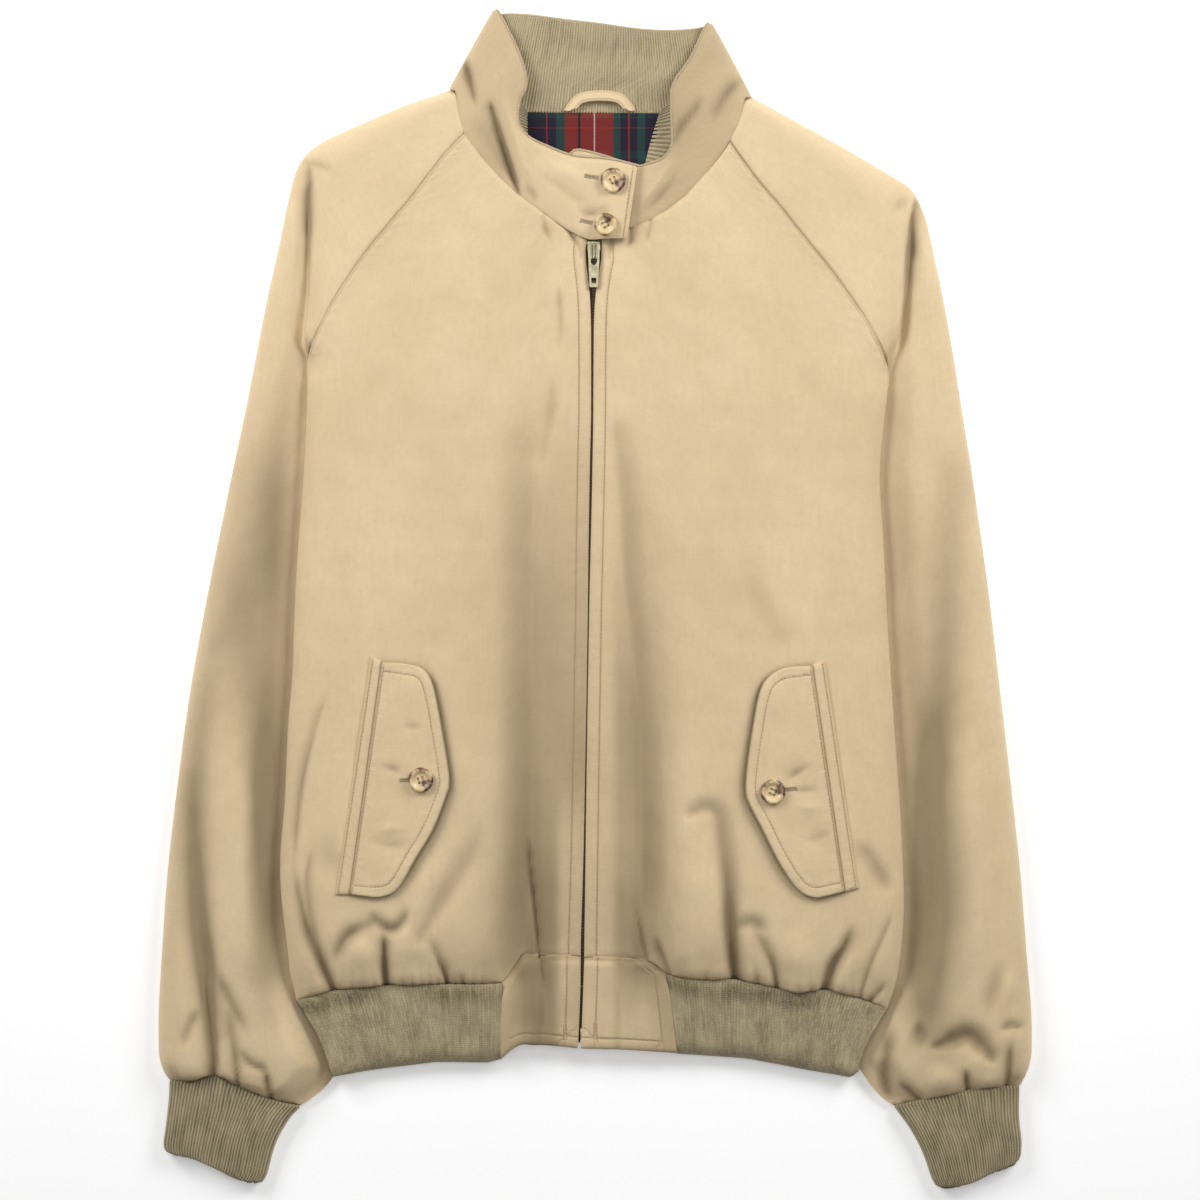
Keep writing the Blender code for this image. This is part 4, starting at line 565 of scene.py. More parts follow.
# %% Heights of the body
GATHER_PITCH, CUFF_GATHER_PITCH = 7.0, 8.5
GATHER_SEED = {"right": 1.3, "left": 2.9}  # a seed only moves the pattern along
CUFF_SEED = {"right": 4.1, "left": 5.7}
TAB_END = {"right": 72.0, "left": 50.0}    # how far out the waist tab ends and the gathered knit begins
SHADE_DEPTH = 6.5    # how deep a hollow is in full shade
# Painted shade: the cloth between the pleats beside the zip is darkened in colour.
CENTRE_SHADE = {     # y, how dark the cloth lies between the two pleats beside the zip
    "right": ((-330, 0.95), (-253, 1), (-217, 0.95), (-145, 0.85), (-73, 0.72), (-1, 0.62),
              (70, 0.42), (120, 0.18), (160, 0), (400, 0)),
    "left": ((-330, 0.12), (-305, 0.30), (-290, 0.45), (-272, 0.85), (-253, 0.95), (-217, 0.86), (-145, 0.84),
             (-73, 0.70), (-1, 0.46), (70, 0.22), (130, 0), (400, 0)),
}
CENTRE_SHARE = {     # x, how much of that shade falls there
    "right": ((-66, 0), (-60, 0.35), (-52, 0.85), (-44, 1), (-33, 1), (-22, 0.85), (-4, 0.8)),
    "left": ((-8, 0.2), (10, 0.3), (17, 0.85), (30, 1), (40, 0.75), (52, 0.35), (68, 0)),
}


def side_table(side):
    below = [(row[3], abs(row[2])) for row in FRONT_ROWS[side][: UNDERARM_ROW + 1]]
    return tuple(below) + SIDE_ABOVE


def tuck_table(side):
    """How far out the sleeve's inner edge is, from the cuff up past the underarm."""
    rows = [(row[3], abs(row[2])) for row in SLEEVE_ROWS[side][:SLEEVE_UNDERARM_ROW - 1:-1]]
    return tuple(rows) + ((195.0, 228.0), (225.0, 262.0), (400.0, 400.0))


def lift(x, y, side):
    """How far a layer climbs off the floor to pass over the sleeve."""
    inner = value(tuck_table(side), y)
    return (TUCK + 0.55) * ease((np.abs(x) - inner + 21.0) / 16.0)


def above_hem(x, y, side):
    hem = np.array(HEM[side])
    order = np.argsort(hem[:, 0])
    return y - np.interp(x, hem[order, 0], hem[order, 1])


def from_side(x, y, side):
    """How far in from the side seam a place is."""
    return value(side_table(side), y) - np.abs(x)


def centre_shade(x, y, side):
    """The shade between the pleats; at the foot the strip beside the right zip edge comes forward again."""
    share = np.interp(x, *np.array(CENTRE_SHARE[side]).T)
    if side == "right":
        share = share * (1 - 0.6 * ease((x + 31.0) / 8.0) * ease((-110.0 - y) / 90.0))
    return share * value(CENTRE_SHADE[side], y) * (1 + 0.12 * ripple(x, y, 40.0, 71, 4.0))


def body_shade(x, y, side):
    over_hem = above_hem(x, y, side)
    gather = gathers(np.abs(x), GATHER_PITCH, GATHER_SEED[side])
    # Painted shade in the valleys of the gathers near the hem.
    small = 0.45 * ease((np.abs(x) - TAB_END[side]) / 12.0) * np.clip(-gather, 0, 1)
    small *= np.exp(-np.abs(over_hem) / 9.0)
    # Painted shadow that a pocket flap throws on the cloth round its edge.
    from_flap = from_path(x, y, flap_outline(side))
    beside_flap = 0.95 * fade(from_flap, 1.9) + 0.3 * fade(from_flap, 5.0)
    beside_flap *= 0.4 + 0.6 * ease((y + 212.0) / 20.0) * ease((-46.0 - y) / 20.0)
    return np.maximum(fold_shade(x, y, BODY_FOLDS[side]), centre_shade(x, y, side)) + small + beside_flap


def body_top(x, y, side):
    """The outer face of a front, without its gathers."""
    edge = lift(x, y, side) + SHELL * 2 + STACK
    out = from_side(x, y, side)
    over_hem = above_hem(x, y, side)
    puffed = ease((np.abs(x) - TAB_END[side] + 10.0) / 18.0)
    round_off = rise(out, 22.0) * (puffed * rise(over_hem, 9.0) + (1 - puffed) * ease(over_hem / 95.0 + 0.04))
    floor = np.where(over_hem < 95.0, np.maximum(edge, 9.8 + 0.9 * (1 - puffed)), edge)
    dip = value(ZIP_DIP, y) * fade(x - value(ZIP_LINE, y), 30.0)
    loft = value(LOFT, y) - dip - 4.5 * puffed * fade(over_hem, 20.0)
    return floor + (loft - floor) * round_off + folds(x, y, BODY_FOLDS[side]) * rise(out, 12.0)


def front_top(x, y, side):
    """The outer face of a front with its gathers and the cloth's own unevenness."""
    over_hem = above_hem(x, y, side)
    out = from_side(x, y, side)
    knit = ease((np.abs(x) - TAB_END[side]) / 12.0) * ease(out / 8.0)
    gather = 2.0 * knit * gathers(np.abs(x), GATHER_PITCH, GATHER_SEED[side])
    gather *= np.exp(-np.clip(over_hem, 0, None) / 8.0)
    soft = 0.35 * ripple(x, y, 70.0, 11, 1.8) + 0.12 * ripple(x, y, 21.0, 12, 1.5)
    return body_top(x, y, side) + gather + soft * ease(out / 30.0) * ease(over_hem / 20.0)


CURVED_ROWS = 7.0    # how many rows it takes the curves of the hem and the neck to die away


def front_point(side, u, v):
    """u runs across from 0 on the zip to 1 on the side; v counts rows."""
    rows = np.array(FRONT_ROWS[side])
    x, y = across_row(spline(rows, v), u)
    straight = rows[0][:2] + (rows[0][2:] - rows[0][:2]) * u[..., None]
    low = (along(HEM[side], u) - straight) * (np.clip(1 - v / CURVED_ROWS, 0, 1) ** 2)[..., None]
    straight = rows[-1][:2] + (rows[-1][2:] - rows[-1][:2]) * u[..., None]
    top = len(rows) - 1
    near_neck = np.clip(1 - (top - v) / CURVED_ROWS, 0, 1) ** 2
    high = (along(NECK[side], u) - (0.0, 0.6) - straight) * near_neck[..., None]
    return x + low[..., 0] + high[..., 0], y + low[..., 1] + high[..., 1]


# %% Heights of the sleeves
INNER_SLOPE = 25.0   # over how many millimetres a sleeve climbs from the body's edge
LOOSE_FROM = SLEEVE_UNDERARM_ROW - 0.5     # the row from which a sleeve lies loose, with creases of its own


def sleeve_rows(side):
    """The sleeve table with the body's edge worked out on each row below the underarm."""
    rows = np.array(SLEEVE_ROWS[side], float)
    for row in rows[SLEEVE_UNDERARM_ROW + 1:]:
        y = 0.5 * (row[1] + row[3])
        edge = value(side_table(side), y) if y > -285.0 else value(KNIT_SIDE, y)
        row[4] = (edge - abs(row[0])) / (abs(row[2]) - abs(row[0]))
    return rows


def sleeve_plan(side, u, t, wave=1.0):
    rows = sleeve_rows(side)
    row = spline(rows, t)
    last = len(rows) - 1
    crease = np.clip(row[..., 4], 0.05, 0.95)
    r = np.where(u < 0.5, crease * u / 0.5, crease + (1 - crease) * (u - 0.5) / 0.5)
    x, y = across_row(row, r)
    y = y + wave * value(CUFF_WAVE[side], r) * np.clip(1 - (last - t) / 3.0, 0, 1) ** 1.5
    return row, crease, r, x, y


def sleeve_point(side, u, t):
    """u: 0 on the outer fold, 0.5 where the body's edge crosses, 1 on the inner edge; t counts rows."""
    row, crease, r, x, y = sleeve_plan(side, u, t)
    last = len(SLEEVE_ROWS[side]) - 1
    width = np.hypot(row[..., 2] - row[..., 0], row[..., 3] - row[..., 1])
    outside, inside = r * width, (crease - r) * width
    body = body_top(x, y, side)
    under = body + (TUCK - body) * np.clip((t - 6.65) / 0.35, 0, 1)
    lower = np.minimum(body, row[..., 5]) + row[..., 6] * ease(inside / INNER_SLOPE)
    start = 0.45 + 0.045 * np.clip((t - LOOSE_FROM) / 1.5, 0, 1)
    level = lower + (under - lower) * np.clip((u - start) / (0.5 - start), 0, 1)
    free = ease((-292.0 - y) / 24.0)
    rounded = TUCK + (lower - TUCK) * rise(width - outside, 15.0)
    level = level + (rounded - level) * free
    near = np.clip(1 + inside / 8.0, 0, 1) * np.clip(outside / 10.0, 0, 1)
    near = np.maximum(near, free * np.clip((width - outside) / 6.0, 0, 1) * np.clip(outside / 10.0, 0, 1))
    level = level + np.where(t > LOOSE_FROM, near * folds(x, y, SLEEVE_FOLDS[side]), 0)
    level = level + np.clip(outside / 4.0, 0, 1) * folds(x, y, SHOULDER_FOLDS[side])
    radius = 8.0 + 16.0 * ease(t / 3.0) - 4.0 * np.clip((t - 4.0) / 3.0, 0, 1)
    z = FOLD_EDGE + (level - FOLD_EDGE) * rise(outside, radius)
    tail = rise(last - t, 1.5)
    z = np.where(z > 9.0, 9.0 + (z - 9.0) * tail, z)
    gather = 1.2 * gathers(outside, CUFF_GATHER_PITCH, CUFF_SEED[side]) * np.exp(-(last - t) / 0.7)
    soft = 0.3 * ripple(x, y, 60.0, 21, 2.0) + 0.1 * ripple(x, y, 19.0, 22, 1.5)
    z = np.maximum(z + near * (gather + np.where(t > LOOSE_FROM, soft, 0)), 2.4)
    return np.stack([x, y, z], axis=-1)


# %% [markdown]
# ## Shader maths in plain Python
#
# A cloth finish is mostly arithmetic: threads are sines, the darkening of worn edges and their painted shade
# is a distance, and both are mixed. The class below wraps one socket, so that an expression such as
# `1 - mask * 0.4` adds its own Math nodes. Every other node comes from `Finish.node`.

# %% The shader helpers
class Wire:
    """One number in a material, with Python's signs."""

    def __init__(self, finish, socket):
        self.finish, self.socket = finish, socket

    def math(self, operation, *others):
        return self.finish.node("ShaderNodeMath", {"operation": operation}, [self, *others])

    def __add__(self, other):
        return self.math("ADD", other)

    def __sub__(self, other):
        return self.math("SUBTRACT", other)

    def __rsub__(self, other):
        return self.finish.node("ShaderNodeMath", {"operation": "SUBTRACT"}, [other, self])

    def __mul__(self, other):
        return self.math("MULTIPLY", other)

    def __truediv__(self, other):
        return self.math("DIVIDE", other)

    def __neg__(self):
        return self.math("MULTIPLY", -1.0)

    __radd__, __rmul__ = __add__, __mul__

    def bell(self, width):
        """1 where this is 0, fading over the width."""
        scaled = self / width
        return (-(scaled * scaled)).math("EXPONENT")

    def clamp(self, low, high):
        return self.finish.node("ShaderNodeMapRange", {"clamp": True}, {0: self, 1: low, 2: high})


class Finish:
    """A material and its Principled shader, built node by node."""

    def __init__(self, name, colour, roughness, **constants):
        self.material = bpy.data.materials.new(name)
        self.material.use_nodes = True
        self.material.diffuse_color = (*colour, 1.0)
        self.nodes, self.links = self.material.node_tree.nodes, self.material.node_tree.links
        self.shader = self.nodes["Principled BSDF"]
        self.shader.inputs["Base Color"].default_value = (*colour, 1.0)
        self.shader.inputs["Roughness"].default_value = roughness
        for socket, number in constants.items():
            self.shader.inputs[socket.replace("_", " ")].default_value = number

    def node(self, kind, settings=None, sockets=(), out=0):
        """Adds a node: its settings first, then its sockets, by place or name, each a number or a Wire."""
        made = self.nodes.new(kind)
        for setting, choice in (settings or {}).items():
            if setting == "stops":
                ramp = made.color_ramp.elements
                while len(ramp) < len(choice):
                    ramp.new(1.0)
                for stop, (place, colour) in zip(ramp, choice):
                    stop.position, stop.color = place, (*colour, 1.0)
            elif setting == "interpolation":
                made.color_ramp.interpolation = choice
            else:
                setattr(made, setting, choice)
        for key, given in sockets.items() if isinstance(sockets, dict) else enumerate(sockets):
            if isinstance(given, Wire):
                self.links.new(given.socket, made.inputs[key])
            else:
                made.inputs[key].default_value = given
        return Wire(self, made.outputs[out])

    def attribute(self, name, out="Fac"):
        return self.node("ShaderNodeAttribute", {"attribute_name": name}, out=out)

    def split(self, vector):
        parts = self.node("ShaderNodeSeparateXYZ", sockets=[vector])
        outputs = parts.socket.node.outputs
        return Wire(self, outputs[0]), Wire(self, outputs[1])

    def noise(self, vector, scale, detail=3.0, rough=0.55):
        """Cloudy noise; three numbers as its scale stretch it along the vector's own directions."""
        if not isinstance(scale, float):
            vector = self.node("ShaderNodeVectorMath", {"operation": "MULTIPLY"}, [vector, scale])
            scale = 1.0
        sockets = {"Vector": vector, "Scale": scale, "Detail": detail, "Roughness": rough}
        return self.node("ShaderNodeTexNoise", sockets=sockets)

    def mix(self, factor, a, b):
        """A colour between a and b; each is a Wire or three numbers."""
        a, b = [k if isinstance(k, Wire) else (*k, 1.0) for k in (a, b)]
        return self.node("ShaderNodeMix", {"data_type": "RGBA"}, {0: factor, 6: a, 7: b}, out=2)

    def bump(self, height, strength, distance, under=None):
        sockets = {"Strength": strength, "Distance": distance, "Height": height}
        if under:
            sockets["Normal"] = under
        return self.node("ShaderNodeBump", sockets=sockets)

    def set(self, socket, wire):
        self.links.new(wire.socket, self.shader.inputs[socket])


# %% [markdown]
# ## The shell cotton
#
# The shell is a tightly woven, showerproofed cotton. Seen close it is a plain weave with slightly uneven
# threads, and from a step away it is flat sand with faint clouds. Seams pucker, because the thread is
# shorter than the cloth, and topstitching sits in a small groove, whose shade is painted darker. Soft light
# from all sides hardly shades a fold, so the finish paints shade into hollows, creases and the cloth beside
# the pocket flaps, and paints light onto crests; edges are darker where worn and with painted shade where
# they turn under. Each cloth piece carries four values for this: its own thread directions, the distance to
# its nearest edge, the distance to its topstitching, and how much shade is painted on it, below 0 meaning
# painted light.

# %% Cotton
SAND = (0.760, 0.585, 0.355)
SAND_PALE = (0.835, 0.655, 0.410)
SAND_DEEP = (0.560, 0.405, 0.225)
SAND_SHADE = (0.250, 0.178, 0.095)
SAND_LIT = (0.920, 0.760, 0.500)
DEEPEST_SHADE = 1.15        # how far a narrow crease may go past the shade of a broad hollow
SHADE_SHARE = 0.75          # of the shade's own colour in a broad hollow
THREAD_PITCH = 0.62         # millimetres between threads


def cotton(name):
    shell = Finish(name, SAND, 0.86, Sheen_Weight=0.12, Sheen_Roughness=0.5, Specular_IOR_Level=0.28)
    place = shell.attribute("cloth", "Vector")
    u, v = shell.split(place)
    seam, line = shell.attribute("seam"), shell.attribute("line")
    # The hollow value is painted shade; below 0 it is painted light.
    depth = shell.attribute("hollow")
    turns = 2 * math.pi / THREAD_PITCH
    threads = (u * turns).math("SINE") * (v * turns).math("SINE")
    warp = shell.noise(place, (1.6, 0.03, 0.0), 2.0)
    weft = shell.noise(place, (0.03, 1.6, 0.0), 2.0)
    cloud = shell.noise(place, (0.016, 0.011, 0.0), 4.0, 0.6)
    # Darker along seams and edges, both worn and as painted shade where they turn under; the stitch groove's
    # darker colour is its painted shade.
    edge_wear_and_shade = seam.bell(1.6)
    groove = line.bell(0.75)
    colour = shell.mix(cloud.clamp(0.36, 0.66), SAND_PALE, SAND)
    blotch = shell.noise(place, (0.22, 0.16, 0.0), 4.0, 0.7)
    slubs = (warp + weft - 1.0) * 0.34 + threads * 0.05 + (blotch - 0.5) * 0.5
    colour = shell.mix((slubs + 0.08).clamp(0.0, 1.0), colour, SAND_DEEP)
    # Painted shade of folds, creases and the shadows beside the flaps, then painted light on crests.
    colour = shell.mix(depth.clamp(0.0, DEEPEST_SHADE) * (SHADE_SHARE * DEEPEST_SHADE), colour, SAND_SHADE)
    colour = shell.mix((-depth).clamp(0.0, 1.0) * 0.9, colour, SAND_LIT)
    colour = shell.mix(edge_wear_and_shade * 0.25, colour, SAND_DEEP)
    colour = shell.mix(groove * 0.45, colour, SAND_DEEP)
    shell.set("Base Color", colour)
    shell.set("Roughness", 0.80 + cloud * 0.12)
    pucker = shell.noise(place, (0.16, 0.16, 0.0), 2.0)
    crumple = shell.noise(place, (0.055, 0.04, 0.0), 5.0, 0.5)
    relief = crumple * 0.5 + pucker * (seam.bell(9.0) * 0.45 + line.bell(4.5) * 0.3) - groove * 0.35
    normal = shell.bump(relief, 1.0, 0.0011)
    normal = shell.bump(threads + (warp + weft) * 1.5, 0.35, 0.00012, normal)
    shell.set("Normal", normal)
    return shell.material


COTTON = cotton("shell_cotton")

# %% [markdown]
# ## The rib knit
#
# Rib knit is columns of stitches, called wales, that stand out in turn. The ribs are real in the mesh, so
# the shader only adds what is smaller: the V of each stitch up the rib, the shade between the ribs, and a
# little fuzz. It reads how high on a rib each point is from the mesh.

# %% Rib knit
KNIT_CREST = (0.540, 0.450, 0.275)
KNIT_VALLEY = (0.125, 0.100, 0.052)
STITCH_HEIGHT = 1.5         # millimetres up one knitted stitch


def rib_knit(name):
    knit = Finish(name, KNIT_CREST, 0.92, Sheen_Weight=0.2, Sheen_Roughness=0.6, Specular_IOR_Level=0.2)
    place = knit.attribute("cloth", "Vector")
    u, v = knit.split(place)
    crest = knit.attribute("rib")
    lean = (u * (math.pi / 1.15)).math("SINE").math("ABSOLUTE")
    loops = (v * (2 * math.pi / STITCH_HEIGHT) + lean * 2.2).math("SINE")
    fuzz = knit.noise(place, (1.1, 0.8, 0.0), 3.0)
    cloud = knit.noise(place, (0.035, 0.05, 0.0), 3.0)
    each_rib = knit.noise(place, (0.4, 0.035, 0.0), 2.0)
    uneven = (fuzz - 0.5) * 0.6 + (cloud - 0.5) * 0.8 + (each_rib - 0.5) * 0.9
    # Painted shade between the ribs and from the hollow value; a hollow value below 0 paints light.
    lit = (crest * 0.7 + 0.08 + uneven + loops * 0.1 - knit.attribute("hollow") * 0.8).clamp(0.0, 1.0)
    knit.set("Base Color", knit.mix(lit, KNIT_VALLEY, KNIT_CREST))
    knit.set("Roughness", 0.85 + fuzz * 0.1)
    normal = knit.bump(loops * 0.2 + fuzz, 0.8, 0.0003)
    knit.set("Normal", normal)
    return knit.material


RIBBED = rib_knit("rib_knit")

# %% [markdown]
# ## The check lining
#
# The lining is a woven check. A real check has the same order of coloured stripes in both directions, and
# where they cross a twill shows both colours at once. So one ramp gives the stripes, it is read once across
# and once along, and a fine diagonal chooses between the two. The order of the stripes is this jacket's own.

# %% Check
CHECK_REPEAT = 88.0         # millimetres
RED, NAVY = (0.270, 0.024, 0.012), (0.010, 0.008, 0.026)
GREEN, PALE = (0.010, 0.060, 0.052), (0.60, 0.50, 0.44)
CHECK_SHIFT = (0.46, 0.20)  # where on the repeat the cloth is cut
STRIPES = (
    (0.00, NAVY), (0.05, RED), (0.062, NAVY), (0.13, GREEN), (0.20, RED), (0.31, NAVY), (0.33, RED),
    (0.44, PALE), (0.452, RED), (0.60, GREEN), (0.66, NAVY), (0.72, RED), (0.735, NAVY), (0.80, GREEN),
    (0.86, NAVY),
)


def check(name):
    lining = Finish(name, RED, 0.85, Sheen_Weight=0.15, Specular_IOR_Level=0.25)
    place = lining.attribute("cloth", "Vector")
    u, v = lining.split(place)
    bands = []
    for run, shift in ((u, CHECK_SHIFT[0]), (v, CHECK_SHIFT[1])):
        spot = (run / CHECK_REPEAT + shift).math("FRACT")
        ramp = {"stops": STRIPES, "interpolation": "CONSTANT"}
        bands.append(lining.node("ShaderNodeValToRGB", ramp, [spot]))
    twill = ((u + v) * (2 * math.pi / 1.1)).math("SINE")
    over_under = (twill * 0.35 + 0.22).clamp(0.0, 0.9)
    fuzz = lining.noise(place, (0.9, 0.9, 0.0), 3.0)
    colour = lining.mix(over_under, bands[0], bands[1])
    lining.set("Base Color", lining.mix(fuzz.clamp(0.45, 0.95), colour, (0.05, 0.02, 0.02)))
    lining.set("Normal", lining.bump(twill + fuzz, 0.5, 0.00015))
    return lining.material


CHECK = check("tartan_cotton")

# %% [markdown]
# ## Metal, horn, tape and thread
#
# The slider and its pull are worn nickel: pale where fingers rub, brown in the corners. The teeth are darker,
# as aged metal and as painted shade of the gap they lie in. The buttons are moulded to look like horn, cream
# with brown flame that grows towards the rim, and polished. Tape and thread are plain, but a thread still has
# a twist. The dark yarn along each buttonhole's slit is painted shade of the cut.

# %% Nickel
def nickel(name, pale, dark, roughness):
    metal = Finish(name, pale, roughness, Metallic=1.0)
    place = metal.node("ShaderNodeTexCoord", out="Object")
    patches = metal.noise(place, 260.0, 4.0, 0.65)
    scratches = metal.noise(place, (2500.0, 140.0, 700.0), 3.0)
    edge = metal.node("ShaderNodeNewGeometry", out="Pointiness")
    worn = (edge.clamp(0.46, 0.56) * 0.6 + patches.clamp(0.35, 0.75) * 0.6).clamp(0.0, 1.0)
    metal.set("Base Color", metal.mix(worn, dark, pale))
    metal.set("Roughness", roughness - 0.1 + patches * 0.2)
    metal.set("Normal", metal.bump(scratches, 0.25, 0.00005))
    return metal.material


NICKEL = nickel("aged_nickel", (0.88, 0.83, 0.55), (0.26, 0.22, 0.13), 0.40)
# The teeth are darker than aged metal alone: their colour also holds painted shade of the zip's gap.
TEETH = nickel("dark_nickel_and_gap_shade", (0.16, 0.13, 0.09), (0.03, 0.022, 0.014), 0.45)


# %% Horn
def horn(name):
    polished = Finish(name, (0.60, 0.46, 0.28), 0.38, Coat_Weight=0.25, Coat_Roughness=0.2)
    place = polished.node("ShaderNodeTexCoord", out="Object")
    drift = polished.noise(place, (130.0, 90.0, 60.0), 3.0, 0.6)
    flame = polished.noise(place, (75.0, 190.0, 60.0), 4.0, 0.62)
    px, py = polished.split(place)
    rim = ((px * px + py * py).math("SQRT") * 1000.0 - 6.6).clamp(0.0, 2.0)
    # The brown also grows towards the rim.
    brown_share = (flame * 0.6 + drift * 0.4 + rim * 0.07 - 0.515).clamp(0.01, 0.12)
    cream = polished.mix(drift.clamp(0.3, 0.7), (0.86, 0.70, 0.40), (0.60, 0.40, 0.19))
    polished.set("Base Color", polished.mix(brown_share, cream, (0.085, 0.035, 0.030)))
    return polished.material


HORN = horn("horn_plastic")


# %% Tape and thread
def spun(name, colour, deep, size):
    yarn = Finish(name, colour, 0.9, Sheen_Weight=0.1)
    place = yarn.node("ShaderNodeTexCoord", out="Object")
    fibre = yarn.noise(place, size, 4.0, 0.6)
    yarn.set("Base Color", yarn.mix(fibre.clamp(0.3, 0.75), deep, colour))
    yarn.set("Normal", yarn.bump(fibre, 0.6, 0.0002))
    return yarn.material


TAPE = spun("zip_tape", (0.115, 0.080, 0.045), (0.045, 0.030, 0.018), 1400.0)
THREAD = spun("thread", (0.520, 0.385, 0.225), (0.330, 0.225, 0.120), 2500.0)
# Dark yarn laid along each buttonhole's slit: painted shade of the cut, not a thread of the jacket.
PAINTED_SLIT_SHADE = spun("dark_thread", (0.100, 0.060, 0.035), (0.035, 0.020, 0.012), 2500.0)
PIPING = spun("knit_piping", (0.640, 0.520, 0.340), (0.400, 0.300, 0.175), 900.0)

# %% [markdown]
# ## From a grid of points to a piece of cloth
#
# Every cloth piece starts as a grid of points on its outer face. Solidify gives it a wall, and the result is
# kept as a closed mesh. The distances that the finish reads are worked out from the grid itself: how far each
# point is from the four edges of its grid.

# %% Grids
def place_in_frame(piece, slot, node=None, body="jacket"):
    """Says which body a piece moves with and which solid it takes over from; slot is not used."""
    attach(piece, body)
    if node:
        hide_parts(node)


def new_piece(name, points, faces, look, slot):
    """A mesh from points in the pattern's millimetres, riding on the jacket."""
    mesh = bpy.data.meshes.new(name)
    mesh.from_pydata(((np.asarray(points).reshape(-1, 3) + PATTERN_TO_FRAME) * MM).tolist(), [], faces)
    mesh.materials.append(look)
    mesh.shade_smooth()
    piece = link(bpy.data.objects.new(name, mesh))
    place_in_frame(piece, slot)
    return piece


FAR_OFF = 99.0       # a distance, in millimetres, for cloth with no seam or stitching near


def grid_faces(rows, columns, closed=False, flip=False):
    """Four-sided faces between neighbours in a grid; closed joins its last column to its first."""
    i, j = np.meshgrid(np.arange(rows - 1), np.arange(columns if closed else columns - 1), indexing="ij")
    here, beside = i * columns + j, i * columns + (j + 1) % columns
    quads = np.stack([here, beside, beside + columns, here + columns], axis=-1).reshape(-1, 4)
    return (quads[:, ::-1] if flip else quads).tolist()


def steps(grid, axis):
    """Distance run along one axis of a grid of points."""
    return np.concatenate([
        np.zeros_like(np.take(grid[..., 0], [0], axis=axis)),
        np.cumsum(np.linalg.norm(np.diff(grid, axis=axis), axis=-1), axis=axis),
    ], axis=axis)


def from_edges(grid):
    """How far each point is from the grid's first column, last column, first row and last row."""
    across, down = steps(grid, 1), steps(grid, 0)
    return across, across[:, -1:] - across, down, down[-1:] - down


def reach_out(grid, amount, *edges):
    """Moves the named edges of a grid outwards, so that neighbours meet where they are sewn."""
    for edge in edges:
        view = {"first column": grid, "last column": grid[:, ::-1], "first row": grid.transpose(1, 0, 2),
                "last row": grid[::-1].transpose(1, 0, 2)}[edge]
        way = view[:, 0, :2] - view[:, 1, :2]
        view[:, 0, :2] += amount * way / np.linalg.norm(way, axis=1, keepdims=True)


def tag(mesh, name, values):
    values = np.asarray(values, np.float32)
    kind, key = ("FLOAT_VECTOR", "vector") if values.ndim == 3 else ("FLOAT", "value")
    mesh.attributes.new(name, kind, "POINT").data.foreach_set(key, values.ravel())


def settle(piece):
    """Keeps what a piece's modifiers make as its mesh."""
    bpy.context.view_layer.update()
    graph = bpy.context.evaluated_depsgraph_get()
    mesh = bpy.data.meshes.new_from_object(piece.evaluated_get(graph), depsgraph=graph)
    piece.modifiers.clear()
    piece.data = mesh
    return piece


def cloth(name, grid, look, node=None, wall=0.9, flip=False, closed=False, line=FAR_OFF, rib=1.0, seam=None,
          shade=0.0, place=None):
    """Cloth on a grid, with what its finish reads. It takes over from the solid of its own name, unless node
    names another one or is empty. A finish has its slot's name; Blender adds a number where it is taken."""
    slot = look.name.partition(".")[0]
    piece = new_piece(name + "_cloth", grid, grid_faces(*grid.shape[:2], closed, flip), look, slot)
    left, right, first, last = from_edges(grid)
    if seam is None:
        seam = nearest(left, right, first, last)
    tag(piece.data, "cloth", np.stack([left, first, 0 * left], axis=-1) if place is None else place)
    # hollow holds the shade painted on the piece, and below 0 the light painted on it.
    for key, number in (("seam", seam), ("line", line), ("rib", rib), ("hollow", shade)):
        tag(piece.data, key, np.broadcast_to(number, left.shape))
    solid = piece.modifiers.new("wall", "SOLIDIFY")
    solid.thickness = wall * MM
    solid.offset = -1.0
    settle(piece)
    if node != "":
        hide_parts(node or name)
    return piece


def nearest(*distances):
    """The smallest of several distances at each point."""
    return np.min(np.broadcast_arrays(*distances), axis=0)


def nearest_line(*distances):
    """Of several distances to topstitching, the one closest to 0 at each point."""
    stacked = np.stack(np.broadcast_arrays(*distances))
    pick = np.argmin(np.abs(stacked), axis=0)
    return np.take_along_axis(stacked, pick[None], axis=0)[0]


def lay(piece, width, length, share):
    """Prints a piece's size beside a cut of width by length; share is how much of that rectangle the cut
    fills.
    """
    faces = piece.data.polygons
    area = sum(face.area for face in faces) / 2
    print(f"{piece.name}: {len(faces)} faces, {area:.4f} m2 of cloth, cut {width * length * share:.4f} m2")


def over(piece):
    """A function that finds how high a finished piece reaches at x, y, and which way it faces there."""
    bpy.context.view_layer.update()
    tree = BVHTree.FromObject(piece, bpy.context.evaluated_depsgraph_get())
    dx, dy = PATTERN_TO_FRAME[:2]

    def find(x, y):
        spot, normal, _, _ = tree.ray_cast(Vector(((x + dx) * MM, (y + dy) * MM, 1.0)), Vector((0, 0, -1)))
        if spot is None:
            spot, normal, _, _ = tree.find_nearest(Vector(((x + dx) * MM, (y + dy) * MM, 0.015)))
        return spot.z / MM, normal

    return find


# %% [markdown]
# ## The fronts
#
# Each front is one panel from the zip to the side seam and the raglan seam. Its edges are turned under, so
# they round down over two millimetres. The placket by the zip is topstitched nine millimetres in.

# %% Fronts
PLACKET = 8.8        # topstitching from the zip edge
RAGLAN_STITCH = 1.7  # topstitching from the raglan seam
EDGE_ROLL = 0.6


